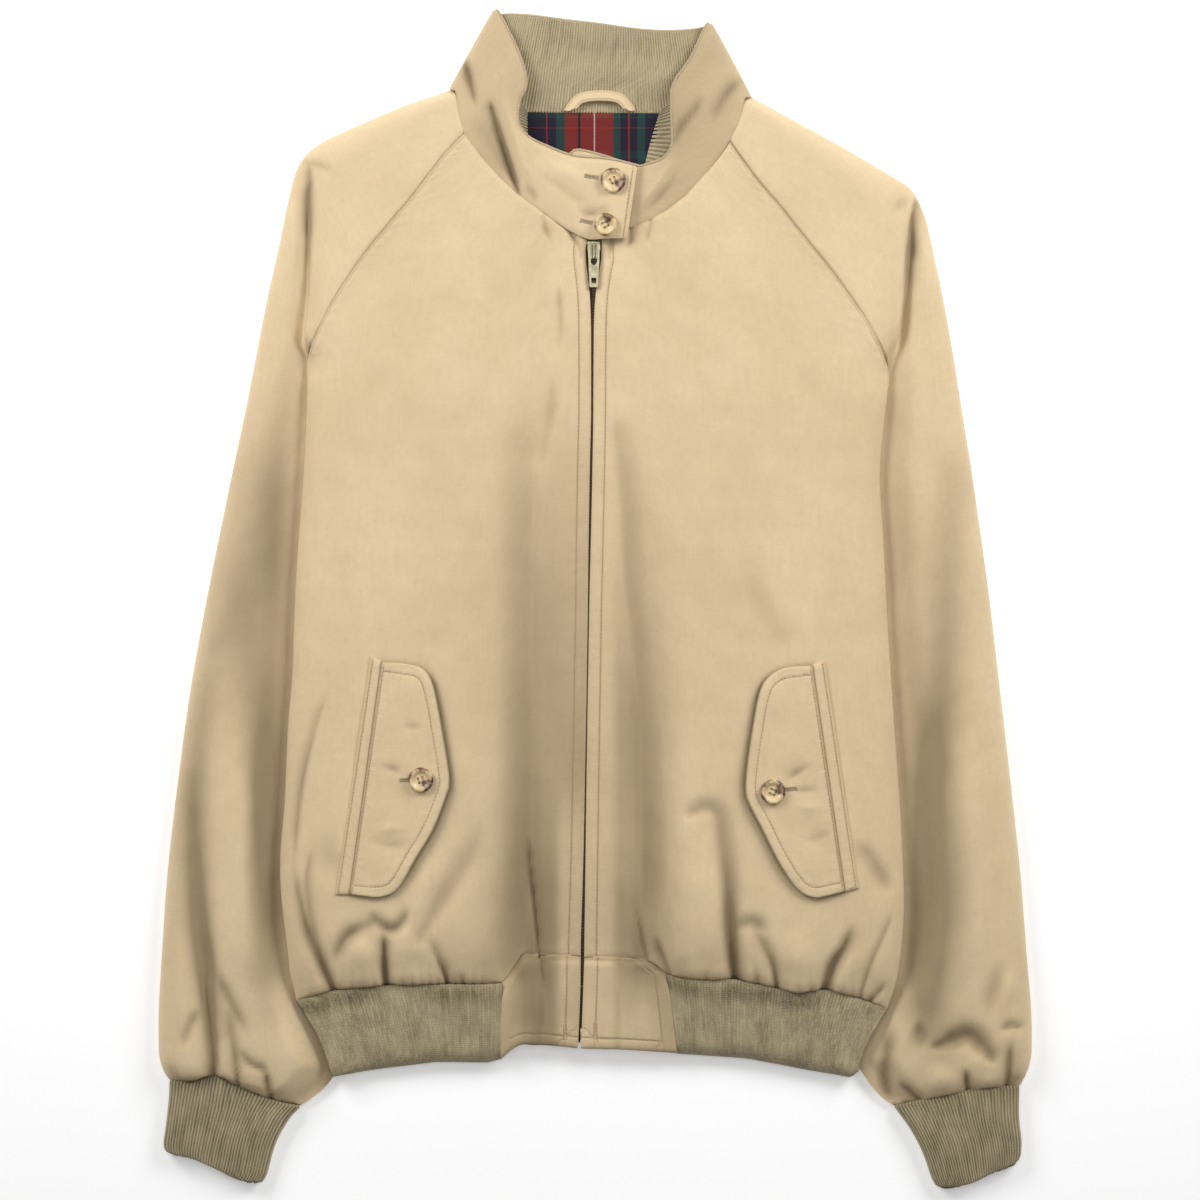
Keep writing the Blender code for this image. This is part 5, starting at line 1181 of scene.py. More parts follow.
def row_places(rows, step):
    """Places counted in rows, so that each stretch between rows is cut into pieces of about one step."""
    middle = 0.5 * (np.array(rows)[:, :2] + np.array(rows)[:, 2:4])
    gaps = np.linalg.norm(np.diff(middle, axis=0), axis=1)
    pieces = [np.linspace(i, i + 1, max(1, round(gap / step)), endpoint=False) for i, gap in enumerate(gaps)]
    places = np.concatenate(pieces + [[len(rows) - 1]])
    near = np.array([0.5, 1.2, 2.2])
    return np.unique(np.concatenate([places, near / gaps[0], len(rows) - 1 - near / gaps[-1]]))


fronts = {}
for side in ("right", "left"):
    u, v = np.meshgrid(spaced(214.0, 1.7), row_places(FRONT_ROWS[side], 2.4))
    x, y = front_point(side, u, v)
    grid = np.stack([x, y, front_top(x, y, side)], axis=-1)
    reach_out(grid, 0.3, "last column", "first row")
    reach_out(grid, 1.3, "last row")
    shade = body_shade(x, y, side)
    zip_edge, side_edge, hem_edge, neck_edge = from_edges(grid)
    at_raglan = v > UNDERARM_ROW
    sewn = nearest(side_edge, hem_edge, neck_edge)
    hidden = fade(x + 60.0, 6.5, 4) * (hem_edge < 25.0)
    sewn = sewn + 9.0 * hidden
    grid[..., 2] -= EDGE_ROLL * fade(nearest(sewn, zip_edge), 1.7)
    grid[..., 2] += 0.35 * fade(zip_edge - 4.6, 3.2) - 0.3 * fade(zip_edge - PLACKET, 1.2)
    raglan_line = np.where(at_raglan, side_edge - RAGLAN_STITCH, FAR_OFF)
    line = nearest_line(zip_edge - PLACKET, raglan_line)
    fronts[side] = cloth("front_" + side, grid, COTTON,
                         flip=side == "right", line=line, seam=nearest(sewn, zip_edge), shade=shade)
    lay(fronts[side], 0.245, 0.640, 0.78)

# %% [markdown]
# ## The sleeves
#
# A raglan sleeve runs up to the neck. Laid flat, it folds along its outer edge, and its inner part goes in
# under the body. The front half is drawn down to that fold and just round it. The back half lies on the
# floor.

# %% Sleeves
BACK_SHIFT = {"right": (11.0, 18.0), "left": (-11.0, 21.0)}
ROLL_UNDER = ((1.4, 0.1), (0.35, 0.35), (-0.25, 1.1), (-0.3, 1.9))  # how the outer fold turns: inward, height
BY_KNIT = {"right": (9.0, 1.15), "left": (5.0, 0.7)}    # the shade beside the waist knit: width, depth
ACROSS_SLEEVE = np.concatenate([
    [0.0, 0.006, 0.016, 0.032], np.linspace(0.05, 0.45, 46), [0.465, 0.48, 0.49, 0.5],
    np.linspace(0.52, 0.96, 14), [0.985, 1.0],
])


def back_edge(side, x, y, t):
    """The raglan seam of the back lies nearer the spine than the front one, more so towards the neck."""
    dx, dy = BACK_SHIFT[side]
    share = ease(1 - t / SLEEVE_UNDERARM_ROW)
    return x + dx * share, y + dy * share


def sleeve_shade(side, x, y, t):
    """The shade of the creases, of the broad folds and of the hollow beside the waist knit."""
    width, depth = BY_KNIT[side]
    shade = fold_shade(x, y, SLEEVE_FOLDS[side]) * (t > LOOSE_FROM)
    shade += fold_shade(x, y, SHOULDER_FOLDS[side])
    by_knit = fade(np.abs(np.abs(x) - value(KNIT_SIDE, y)), width)
    shade += depth * by_knit * ease((-275.0 - y) / 20.0) * ease((y + 364.0) / 14.0)
    broad = fold_shade(x, y, SLEEVE_SHADE[side]) * ease((t - 5.5) / 2.0)
    return np.clip(shade + broad * (1 + 0.15 * ripple(x, y, 40.0, 72, 4.0)), -0.6, 1.0)


# %% The two halves of a sleeve
def sleeve_front(side, sign):
    u, t = np.meshgrid(ACROSS_SLEEVE, row_places(SLEEVE_ROWS[side], 2.4))
    grid = sleeve_point(side, u, t)
    reach_out(grid, 0.3, "last row")
    reach_out(grid, 5.5, "first row")
    tucked = 0.3 + 1.4 * ease((t[:, -1:] - 5.8) / 0.8)
    grid[:, -1, :2] += tucked * (t[:, -1:] < 7.2) * np.array([-sign, -0.6])
    shade = sleeve_shade(side, grid[..., 0], grid[..., 1], t)
    inward = grid[:, -1, :2] - grid[:, 0, :2]
    inward /= np.linalg.norm(inward, axis=1, keepdims=True)
    turned = [np.column_stack([grid[:, 0, :2] + inward * inset, np.full(len(grid), height)])
              for inset, height in ROLL_UNDER]
    at_raglan = t < SLEEVE_UNDERARM_ROW + 0.5
    _, inner_edge, _, cuff_edge = from_edges(grid)
    grid[..., 2] -= EDGE_ROLL * fade(nearest(cuff_edge, np.where(at_raglan, inner_edge, FAR_OFF)), 1.7)
    grid[0, :, 2] -= 1.2
    grid = np.concatenate([np.stack(turned, axis=1), grid], axis=1)
    pad = np.full((len(grid), len(ROLL_UNDER)), FAR_OFF)
    from_cuff = from_edges(grid)[3][:, len(ROLL_UNDER):]
    seam = np.concatenate([pad, np.where(at_raglan, nearest(inner_edge, cuff_edge), from_cuff)], axis=1)
    sleeve = cloth("sleeve_" + side, grid, COTTON, f"sleeve_{side}_front", flip=side == "right", seam=seam,
                   shade=np.concatenate([0 * pad, shade], axis=1))
    lay(sleeve, 0.165, 0.760, 0.80)


def sleeve_back(side):
    u, t = np.meshgrid([0.0, 0.15, 0.3, 0.5, 0.75, 1.0], row_places(SLEEVE_ROWS[side], 9.0))
    row, _, r, _, _ = sleeve_plan(side, u, t, wave=0.0)
    seam = np.stack(back_edge(side, row[..., 2], row[..., 3], t), axis=-1)
    width = np.hypot(seam[..., 0] - row[..., 0], seam[..., 1] - row[..., 1])
    x, y = across_row(np.concatenate([row[..., :2], seam], axis=-1), r + (1 - r) * 1.6 / width)
    grid = np.stack([x, y, 0 * x], axis=-1)
    reach_out(grid, 6.0, "first row")
    reach_out(grid, 4.0, "last row")
    grid[-1, :, 2] = 1.6
    back_half = cloth(f"sleeve_{side}_back", grid, COTTON, wall=1.2, flip=side == "left")
    lay(back_half, 0.165, 0.760, 0.80)


for side, sign in SIDES:
    sleeve_front(side, sign)
    sleeve_back(side)

# %% [markdown]
# ## The back
#
# The back lies flat on the floor and climbs a few millimetres over the sleeves at its sides. Little of it
# shows from above, but it is the whole of the underside.

# %% Back
BACK_HEM = ((-216.0, -290.5), (0.0, -280.0), (210.0, -296.5))


def across_back(a, b):
    """Places on a line from the right edge a to the left edge b, closer together where the cloth climbs."""
    ends = []
    for side, (ex, ey), sign in (("right", a, -1), ("left", b, 1)):
        inner = min(float(value(tuck_table(side), ey)), abs(ex) - 4.0)
        climb = np.concatenate([[2.5], np.linspace(4.5, 21.0, 8)])
        ends.append([ex] + [sign * max(inner - off, 30.0) for off in climb])
    xs = np.array(ends[0] + np.linspace(-84.0, 84.0, 9).tolist() + ends[1][::-1])
    return xs, np.interp(xs, (a[0], b[0]), (a[1], b[1]))


def back_lift(xs, ys):
    return np.where(xs < 0, lift(xs, ys, "right"), lift(xs, ys, "left"))


back_rows = []
for v in np.linspace(0, len(FRONT_ROWS["right"]) - 1, 89):
    t = min(SLEEVE_UNDERARM_ROW, SLEEVE_UNDERARM_ROW - (v - UNDERARM_ROW))
    a = back_edge("right", *spline(FRONT_ROWS["right"], v)[2:], t)
    b = back_edge("left", *spline(FRONT_ROWS["left"], v)[2:], t)
    a, b = (a[0] + 0.4, a[1]), (b[0] - 0.4, b[1])
    if v <= UNDERARM_ROW:
        xs, ys = across_back(a, b)
        drop = np.interp(xs, *np.array(BACK_HEM).T) - np.interp(xs, (-215.5, 209.5), (-290.0, -296.0))
        ys = ys + drop * (1 - min(v, 8) / 8) ** 2
    else:
        xs, ys = np.linspace(a[0], b[0], 29), np.linspace(a[1], b[1], 29)
    back_rows.append(np.stack([xs, ys, back_lift(xs, ys)], axis=-1))
back = cloth("back", np.array(back_rows), COTTON, wall=1.2, flip=True)
lay(back, 0.460, 0.660, 0.84)

# %% [markdown]
# ## The knit waist and cuffs
#
# The ribs are waves in the outer points, eight points to a rib. They are spaced evenly along the seam that
# they are sewn to, and the foot is shorter than that seam, so they draw together towards it. A second,
# smaller wave makes no two ribs quite alike.

# %% Waist knit
KNIT_WIDTH = 56.0
RIB_PITCH = 2.2
RIB_POINTS = 8
RIB_FOOT = {
    "right": ((-69, -331.5), (-74, -334), (-90.5, -334), (-114.5, -333.5), (-155, -338.5),
              (-175.5, -341.5), (-189.5, -344.5)),
    "left": ((58.8, -327.7), (75, -328.7), (108.5, -331), (130, -335), (153, -339.5), (172, -342.6),
             (183, -344.4), (188.3, -340.6)),
}


def knit_top(x, y, side, foot_y, out):
    edge = lift(x, y, side) + KNIT * 2 + STACK + 0.3
    return edge + (9.6 - edge) * rise(y - foot_y, 12.0) * rise(out, 10.0)


for side, sign in SIDES:
    hem = np.array(HEM[side])[6:] - (0.0, GAP)
    count = len(hem) - 1
    hem_run = run_along(hem)
    foot = along(RIB_FOOT[side], hem_run / hem_run[-1])
    ribs = np.concatenate([[0], np.cumsum([max(1, round(k / RIB_PITCH)) for k in
                                           np.linalg.norm(np.diff(hem, axis=0), axis=1)])])
    phase = np.linspace(0, ribs[-1], int(ribs[-1]) * RIB_POINTS + 1)
    at = np.interp(phase, ribs, np.arange(count + 1))
    crest = ribs_at(phase)
    top, low = [between(at, np.arange(count + 1), edge) for edge in (hem, foot)]
    uneven = 1.0 + 0.25 * np.sin(phase * 1.9 + 0.7)
    grid = []
    for w in spaced(KNIT_WIDTH, 3.2):
        xy = top + (low - top) * w
        xy[:, 0] -= sign * 3.0 * math.sin(math.pi * w) * (at / count) ** 6
        xy[:, 0] += 0.5 * np.sin(phase / 5.3 + 3.1 * w) * math.sin(math.pi * w)
        out = value(KNIT_SIDE, xy[:, 1]) - np.abs(xy[:, 0])
        z = knit_top(xy[:, 0], xy[:, 1], side, low[:, 1], out)
        strength = 0.55 + 0.45 * rise(min(w, 1 - w) * KNIT_WIDTH, 5.0)
        pull = 0.5 * gathers(phase * RIB_PITCH, GATHER_PITCH, 1.3) * math.exp(-w * KNIT_WIDTH / 9.0)
        roll = EDGE_ROLL * fade(w * KNIT_WIDTH, 1.7) + 0.5 * fade((1 - w) * KNIT_WIDTH, 1.5)
        grid.append(np.column_stack([xy, z + RIB * 1.5 * crest * uneven * strength + pull - roll]))
    grid = np.array(grid)
    from_hem = from_edges(grid)[2]
    # Painted shadow under the front's hem, broken into patches.
    patch = np.clip(0.6 + 0.7 * ripple(grid[..., 0], grid[..., 1], 55.0, 83), 0, 1)
    shadow_under_hem = 0.5 * patch * fade(from_hem - 7.0, 7.0)
    knit = cloth("waist_knit_" + side, grid, RIBBED, wall=1.3, flip=side == "right", rib=crest,
                 shade=0.08 + np.maximum(0, gathers(grid[..., 0], 24.0, 2.2)) * 0.25 + shadow_under_hem)
    lay(knit, 0.165, 0.060, 1.0)

# %% Waist knit at the back
BACK_FOOT = ((-189, -344.3), (-114.5, -333), (-76, -331), (-66, -327), (-56, -314),
             (-45, -311), (0, -317), (48, -320), (60, -324), (74, -327), (108.5, -331),
             (186, -344.6))
BACK_RIBS, BACK_RIB_POINTS = 190, 4
grid, crests = [], []
for w in np.linspace(0, 1, 13):
    a = along(((-215.1, -291.2), (-200.0, -318.0), (-189.0, -344.3)), w)
    b = along(((209.1, -297.2), (195.5, -321.0), (186.0, -344.6)), w)
    xs = np.linspace(a[0], b[0], BACK_RIBS * BACK_RIB_POINTS + 1)
    head = np.interp(xs, *np.array(BACK_HEM).T) - 0.7
    ys = head + (np.interp(xs, *np.array(BACK_FOOT).T) - head) * w
    crest = ribs_at(np.linspace(0, BACK_RIBS, len(xs)))
    grid.append(np.stack([xs, ys, back_lift(xs, ys) + 0.35 * (1 - crest)], axis=-1))
    crests.append(crest)
knit = cloth("waist_knit_back", np.array(grid), RIBBED, wall=1.2,
             flip=False, rib=np.array(crests))
lay(knit, 0.430, 0.060, 1.0)

# %% Cuffs
CUFF_RINGS = {       # outer x, y; inner x, y; height
    "right": ((-307.8, -348.2, -213.4, -367.2, 8.8), (-308.6, -362, -222.5, -377, 10),
              (-310.6, -382, -232, -395, 10), (-313, -399, -239, -423.5, 8.6)),
    "left": ((305.6, -352, 215, -366.6, 8.8), (305, -374, 226.5, -383, 10),
             (307, -392, 236, -402, 10), (306.5, -406.5, 244.5, -426.5, 8.6)),
}
CUFF_FOOT = {        # how far the foot's edge rises, across the cuff from the outer fold
    "right": ((0, 0), (0.28, 1.8), (0.5, 0.3), (0.8, -2.2), (1, 0)),
    "left": ((0, 0), (0.3, -1.6), (0.6, -4), (0.85, -2.2), (1, 0)),
}
CUFF_LENGTH = 53.0
CUFF_RIBS = 38
CUFF_UNDER = 120     # points along the floor side


def cuff_ring(side, w, crest, seed):
    """One ring: over the front from the outer fold to the inner one, then back along the floor."""
    xo, yo, xi, yi, height = spline(CUFF_RINGS[side], w * 3.0)
    width = math.hypot(xi - xo, yi - yo)
    ux, uy = (xi - xo) / width, (yi - yo) / width
    edge = min(w, 1 - w) * CUFF_LENGTH
    low = 0.9 * (1 - rise(edge, 2.0))
    inset = low + 4.5 * (1 - rise((1 - w) * CUFF_LENGTH, 7.0))
    half = height / 2
    s = np.linspace(0, 1, len(crest))
    up = value(CUFF_WAVE[side], s) * max(0.0, 1 - w * 3.0) + (1.2 if w == 0 else 0)
    up = up + value(CUFF_FOOT[side], s) * ease((w - 0.5) / 0.5)
    r = inset + (width - 2 * inset) * s
    sway = 0.45 * math.sin(math.pi * w) * np.sin(s * 11.0 + seed + 2.3 * w)
    body = half + (half - low) * rise(np.minimum(s, 1 - s) * width, half * 2.2)
    uneven = 1.0 + 0.22 * np.sin(s * 71.0 + seed)
    z = body + RIB * 1.4 * crest * uneven * (0.5 + 0.5 * rise(edge, 4.0))
    z += 0.6 * gathers(s * width, CUFF_GATHER_PITCH, CUFF_SEED[side]) * math.exp(-w * CUFF_LENGTH / 8.0)
    over_side = np.column_stack([xo + ux * (r + sway), yo + uy * (r + sway) + up, z])
    back_s = np.linspace(1, 0, CUFF_UNDER + 2)[1:-1]
    r = inset + (width - 2 * inset) * (0.01 + 0.98 * back_s)
    ribs = ribs_at(CUFF_RIBS * back_s)
    curl = (half - low) * (1 - rise(np.minimum(back_s, 1 - back_s) * width, half * 1.2))
    z = low * 0.5 + 0.3 * (1 - ribs) + curl
    up = value(CUFF_FOOT[side], back_s) * ease((w - 0.5) / 0.5)
    return np.vstack([over_side, np.column_stack([xo + ux * r, yo + uy * r + up, z])]), ribs


for side in ("right", "left"):
    crest = ribs_at(np.linspace(0, CUFF_RIBS, CUFF_RIBS * RIB_POINTS + 1))
    rings = [cuff_ring(side, w, crest, 1.7 if side == "right" else 4.4) for w in spaced(CUFF_LENGTH, 3.0)]
    grid = np.array([ring for ring, _ in rings])
    rib = np.concatenate([crest, rings[0][1]])
    _, _, down, up = from_edges(grid)
    cuff = cloth("cuff_" + side, grid, RIBBED, wall=1.3, closed=True,
                 flip=side == "right", rib=0.25 + 0.75 * rib, seam=nearest(down, up),
                 shade=-0.1 + 0.35 * np.exp(-down / 6.0))
    lay(cuff, 0.190, 0.060, 1.0)

# %% [markdown]
# ## The woven tabs at the waist
#
# Beside the zip the waist is not knit but shell, so that the zip lies flat. Each tab is a folded strip,
# topstitched along its free edges, with a bar tack where the zip ends.

# %% Waist tabs
TAB_ROWS = {         # inner x, y, outer x, y
    "right": (
        (-11.2, -257.6, -53.8, -257.2), (-11.4, -279, -67.6, -278.6), (-12, -297, -68.2, -297),
        (-12.6, -312, -68.8, -314), (-13.2, -324, -68.6, -332),
    ),
    "left": (
        (-8.2, -258.6, 36.4, -260.6), (-8.6, -271.5, 51.2, -271.4), (-9.2, -289.5, 53.8, -289.5),
        (-10, -311, 56.2, -311), (-10.8, -324.2, 58.4, -327.4),
    ),
}
TAB_FOOT = {         # how far the foot's edge rises above the straight line, along it from the zip
    "right": ((0, 0), (0.3, 4.2), (0.55, 6.6), (0.76, 8.2), (0.9, 4.6), (1, 0)),
    "left": ((0, 0), (0.5, 0.6), (1, 0)),
}
TAB_FOLDS = {
    "right": (
        (1.6, ((-41.5, -248, -5, 2.2), (-39.5, -266, -4.4, 2.6), (-37.5, -284, -3.4, 3.6),
            (-38, -300, -3, 4), (-41, -326, -2.4, 4))),
        (1, ((-50, -250, -6, 13), (-52, -270, -3.6, 11), (-54, -300, -1.8, 8), (-55, -326, -1.2, 6))),
        (1, ((-30, -262, 0, 5), (-27, -290, 1, 6), (-27, -320, 0.6, 6))),
        (1, ((-60, -270, 0, 4), (-61, -296, 0.9, 5), (-62, -326, 0.6, 5))),
        (1, ((-26, -284, 0, 3), (-22, -300, -1, 3), (-18, -314, 0, 3))),
    ),
    "left": (
        (1, ((16, -250, -2.2, 5), (16, -282, -2, 5), (15.6, -326, -1.4, 4))),
        (1, ((33, -250, -4, 9), (33, -270, -2.2, 8), (34, -290, -0.8, 6))),
        (1, ((5, -262, 0, 5), (4, -290, 0.8, 6), (4, -322, 0.4, 6))),
        (1, ((30, -296, 0, 6), (30, -312, 0.7, 6), (30, -326, 0.4, 6))),
    ),
}
TAB_STITCH, TAB_FOOT_STITCH, TAB_OUTER_STITCH = 9.6, 7.4, 9.2
TAB_FOOT_LENGTH = 57.0
tabs = {}
for side in ("right", "left"):
    rows = np.array(TAB_ROWS[side])
    v = np.linspace(0, len(rows) - 1, 40)
    u = spaced(58.0, 1.8)
    x, y = across_row(between(v, np.arange(len(rows)), rows)[:, None], u)
    y = y + value(TAB_FOOT[side], u)[None, :] * ease((v[:, None] - 2.0) / 2.0)
    creases = folds(x, y, TAB_FOLDS[side])
    grid = np.stack([x, y, 11.0 + creases + 0.2 * ripple(x, y, 28.0, 31)], axis=-1)
    zip_edge, outer_edge, top_edge, foot_edge = from_edges(grid)
    foot_line = np.where(outer_edge > TAB_OUTER_STITCH - 1, foot_edge - TAB_FOOT_STITCH, FAR_OFF)
    side_line = outer_edge - TAB_OUTER_STITCH if side == "left" else FAR_OFF
    line = nearest_line(zip_edge - TAB_STITCH, foot_line, side_line)
    shade = np.maximum(fold_shade(x, y, TAB_FOLDS[side]), centre_shade(x, y, side))
    slanted = 1 - ease(v[:, None] - 0.6)
    meets_hem = np.maximum(fade(top_edge, 4.5, 4), slanted * fade(outer_edge, 4.5, 4))
    grid[..., 2] += (np.minimum(front_top(x, y, side) - 1.3, grid[..., 2]) - grid[..., 2]) * meets_hem
    grid[..., 2] -= 0.25 * fade(line, 1.1)
    grid[..., 2] -= 1.2 * fade(nearest(zip_edge, foot_edge), 1.4)
    grid[..., 2] -= 0.6 * fade(outer_edge, 1.6)
    sewn_edge = nearest(top_edge, outer_edge)
    shade = shade + 0.55 * fade(outer_edge, 13.0) + 0.5 * fade(top_edge, 2.4)
    shade = np.clip(shade, -0.6, 1.15)
    reach_out(grid, 1.2, "first row")
    if side == "right":
        grid[:, -1, 0] -= 1.2 * slanted[:, 0]
    tabs[side] = cloth("waist_tab_" + side, grid, COTTON,
                       flip=side == "right", line=line, seam=sewn_edge, shade=shade)
    lay(tabs[side], 0.066, 0.072, 0.90)

# %% [markdown]
# ## The collar
#
# The stand collar is a band of shell outside and rib knit inside. It goes from the right front, round the
# back on the floor, to the left front, and its right end laps over the left. The sections below give the
# neck seam and the free edge, and both layers are drawn from them, so a crease in one is in the other.

# %% Collar sections
COLLAR = np.array([  # neck x, y, z; free edge x, y, z of the outer face
    (22.5, 258.5, 17.2, 30, 310.5, 17.8), (7, 258.4, 16.4, 16, 314, 17.6),
    (-6.5, 258.4, 13, 3, 316, 16.8), (-21.7, 266, 12.6, -17, 318, 15.8),
    (-39.7, 278.5, 12.6, -36, 325, 15.2), (-57.1, 291, 12.6, -49.5, 332.5, 15),
    (-70.1, 303.4, 12.5, -56, 343, 15), (-82.5, 317.3, 12.5, -55.5, 357, 14.5),
    (-94.6, 334, 12.4, -50.5, 371.5, 14.2), (-99.9, 349, 12.2, -56, 392.5, 13.8),
    (-100.8, 363.6, 12, -69.5, 420.4, 13), (-104.5, 366.2, 10.2, -72.8, 423, 11.8),
    (-106, 367.2, 6, -74, 424, 9), (-104.5, 366.2, 1.8, -72.8, 423, 6.2),
    (-100.8, 363.6, 0, -69.5, 420.4, 5), (-84, 352.8, 0, -61, 420.5, 5),
    (-60, 351.3, 0, -45, 419.5, 5), (-30, 350.7, 0, -22, 416.5, 5),
    (0, 350.5, 0, 3, 413.5, 5), (30, 350.4, 0, 28, 410, 5),
    (58, 350.2, 0, 50, 408.5, 5), (84, 350.6, 0, 70, 409.6, 5),
    (107, 358.6, 0, 79, 411.6, 5), (110.8, 360.8, 1.8, 82.6, 413.2, 6.2),
    (112.4, 361.6, 6, 84, 414, 9), (110.8, 360.8, 10.2, 82.6, 413.2, 11.8),
    (107, 358.6, 12, 79, 411.6, 13), (103.6, 342.5, 12.3, 69, 389.5, 13.8),
    (96, 328.6, 12.4, 56, 369.5, 14.2), (82.1, 309, 12.4, 54.5, 351.5, 14.4),
    (64.6, 289.5, 12.2, 55.5, 330, 14.4), (51.1, 279, 12, 50.5, 318, 14),
    (37.1, 271.5, 11.6, 39, 312.5, 13.4), (26.7, 267.5, 11.3, 27.5, 311, 12.9),
    (9, 261.5, 9.4, 6, 318, 11.8), (-7, 262, 8.2, -12.5, 322.4, 11),
    (-12, 262.5, 7.6, -18.8, 319.6, 10.6),
])
COLLAR_END = len(COLLAR) - 1
COLLAR_HEIGHT = 56.0
COLLAR_FOLDS = (
    (0.6, ((-78, 360, 0, 1.2), (-74, 350, -3.4, 1.9), (-69, 334, -5.2, 2.2), (-63.5, 318, -6.6, 1.9),
           (-58.4, 303, -7, 1.6), (-56, 294, -5.6, 1.2), (-53.6, 288, 0, 1))),
    (1, ((-70, 366, 0, 3), (-63, 350, 1.6, 4), (-57, 330, 2, 3.6), (-52, 312, 1.2, 3), (-48, 300, 0, 3))),
    (0.8, ((-86, 350, 0, 6), (-79, 330, -1.6, 8), (-68, 308, -1.8, 8), (-60, 294, 0, 6))),
    (0.8, ((-95, 389, -2, 2.2), (-92, 377, -4.2, 2.8), (-88.4, 363, -2.4, 2.4), (-86, 352, 0, 2))),
    (1, ((104, 372, -1, 2.6), (96, 365, -2.2, 3.4), (88, 352, -1.6, 4), (82, 338, 0, 3))),
    (1, ((77, 364, 0, 2), (71, 351, -1.6, 3), (61, 338, -2, 3.4), (57, 328, -1.2, 3))),
    (1, ((29, 279, 0, 2), (41, 294, 1.3, 2.6), (52, 311, 0.8, 2.6))),
    (1, ((33, 276, 0, 2), (46, 288, -1.4, 3), (56, 302, -0.6, 3))),
    (1, ((-52, 300, 0, 2), (-46, 290, -1.6, 2.6), (-40, 281, 0, 2))),
    (1, ((-44, 306, 0, 3), (-30, 298, -0.9, 4), (-14, 287, -1.1, 4), (2, 281, 0, 3))),
    (1, ((-40, 316, 0, 4), (-22, 306, 1.4, 5), (-4, 298, 0, 5))),
    (1, ((-14, 279, 0, 2), (-5, 276, -2.6, 3.2), (4, 278, -1.6, 3), (12, 280, 0, 2.6))),
    (1, ((-20, 270, 0, 2), (-9, 262.6, 1.4, 2.6), (4, 260, 0, 2))),
)


def collar_grid(at, w):
    """The collar's outer face: rows from the neck to the free edge, columns round the neck."""
    section = spline(COLLAR, at)
    w = np.asarray(w)[:, None, None]
    grid = section[None, :, :3] * (1 - w) + section[None, :, 3:] * w
    front_part = ease(np.abs(at - 18.0) - 5.5)[None, :]
    across = w[..., 0]
    grid[..., 2] += 1.6 * np.sin(math.pi * across) * front_part
    creases = folds(grid[..., 0], grid[..., 1], COLLAR_FOLDS)
    soft = 0.3 * ripple(grid[..., 0], grid[..., 1], 38.0, 41)
    inside = np.clip(across * 6, 0, 1) * np.clip((1 - across) * 6, 0, 1)
    grid[..., 2] += (creases + soft) * front_part * inside
    return grid


def facing(grid):
    """Unit normals of a grid of points, out of the collar."""
    n = np.cross(np.gradient(grid, axis=1), np.gradient(grid, axis=0))
    return -n / np.maximum(np.linalg.norm(n, axis=-1, keepdims=True), 1e-9)


COLLAR_SHADE = ((0, 0), (4, 0), (5.5, 0.25), (7.5, 0.42), (9.5, 0.35), (11, 0.3), (18, 0.2), (25, 0.45),
                (27, 0.5), (29, 0.55), (30.5, 0.45), (32.5, 0.2), (40, 0.2))    # section, shade


def collar_shade(grid, at):
    front_part = ease(np.abs(at - 18.0) - 5.5)[None, :]
    creases = fold_shade(grid[..., 0], grid[..., 1], COLLAR_FOLDS) * front_part
    up = np.linspace(0, 1, grid.shape[0])[:, None]
    return creases + value(COLLAR_SHADE, at)[None, :] * (0.7 + 0.5 * up)


# %% Collar shell
COLLAR_STITCH = 3.2  # topstitching from the collar's lapped end
collar_at = np.unique(np.concatenate([np.linspace(0, COLLAR_END, 320), [0.03, 0.08, 0.14]]))
collar_w = spaced(COLLAR_HEIGHT, 2.6)
outer = collar_grid(collar_at, collar_w)
end_edge, _, neck_edge, free_edge = from_edges(outer)
out = facing(outer)
line = nearest_line(end_edge - COLLAR_STITCH, FAR_OFF)
roll = 0.4 * fade(neck_edge, 1.6) + 0.5 * fade(free_edge, 1.4)
roll += 0.6 * fade(end_edge, 1.6)
shell_grid = outer - out * roll[..., None]
collar = cloth("collar_shell", shell_grid, COTTON, wall=0.9, flip=True,
               line=line, seam=nearest(neck_edge, free_edge, end_edge),
               shade=collar_shade(outer, collar_at))
lay(collar, 0.480, 0.062, 1.0)

# %% Collar knit
COLLAR_RIB_PITCH = 1.95
neck_run = steps(collar_grid(np.linspace(0, COLLAR_END, 1200), np.array([0.5])), 1)[0]
collar_ribs = int(neck_run[-1] / COLLAR_RIB_PITCH)
knit_phase = np.linspace(0, collar_ribs, collar_ribs * 6 + 1)
knit_at = np.interp(knit_phase * COLLAR_RIB_PITCH, neck_run, np.linspace(0, COLLAR_END, 1200))
knit_at[-1] = COLLAR_END
knit_w = spaced(COLLAR_HEIGHT, 6.0, (0.8, 2.2, 3.8))
inner = collar_grid(knit_at, knit_w)
out = facing(inner)
crest = ribs_at(knit_phase)
depth = SHELL + STACK + 0.3 + KNIT - 0.2 + RIB * crest
knit_grid = inner - out * depth[None, :, None]
collar_knit = cloth("collar_knit", knit_grid, RIBBED, wall=1.1, flip=False,
                    rib=0.3 + 0.7 * crest, shade=-0.3)
lay(collar_knit, 0.480, 0.062, 1.0)

# %% [markdown]
# The knit is a little longer than the shell, so that it rolls over the collar's free edge as a pale cord
# with a rib every two millimetres. It is a tube swept along the edge.

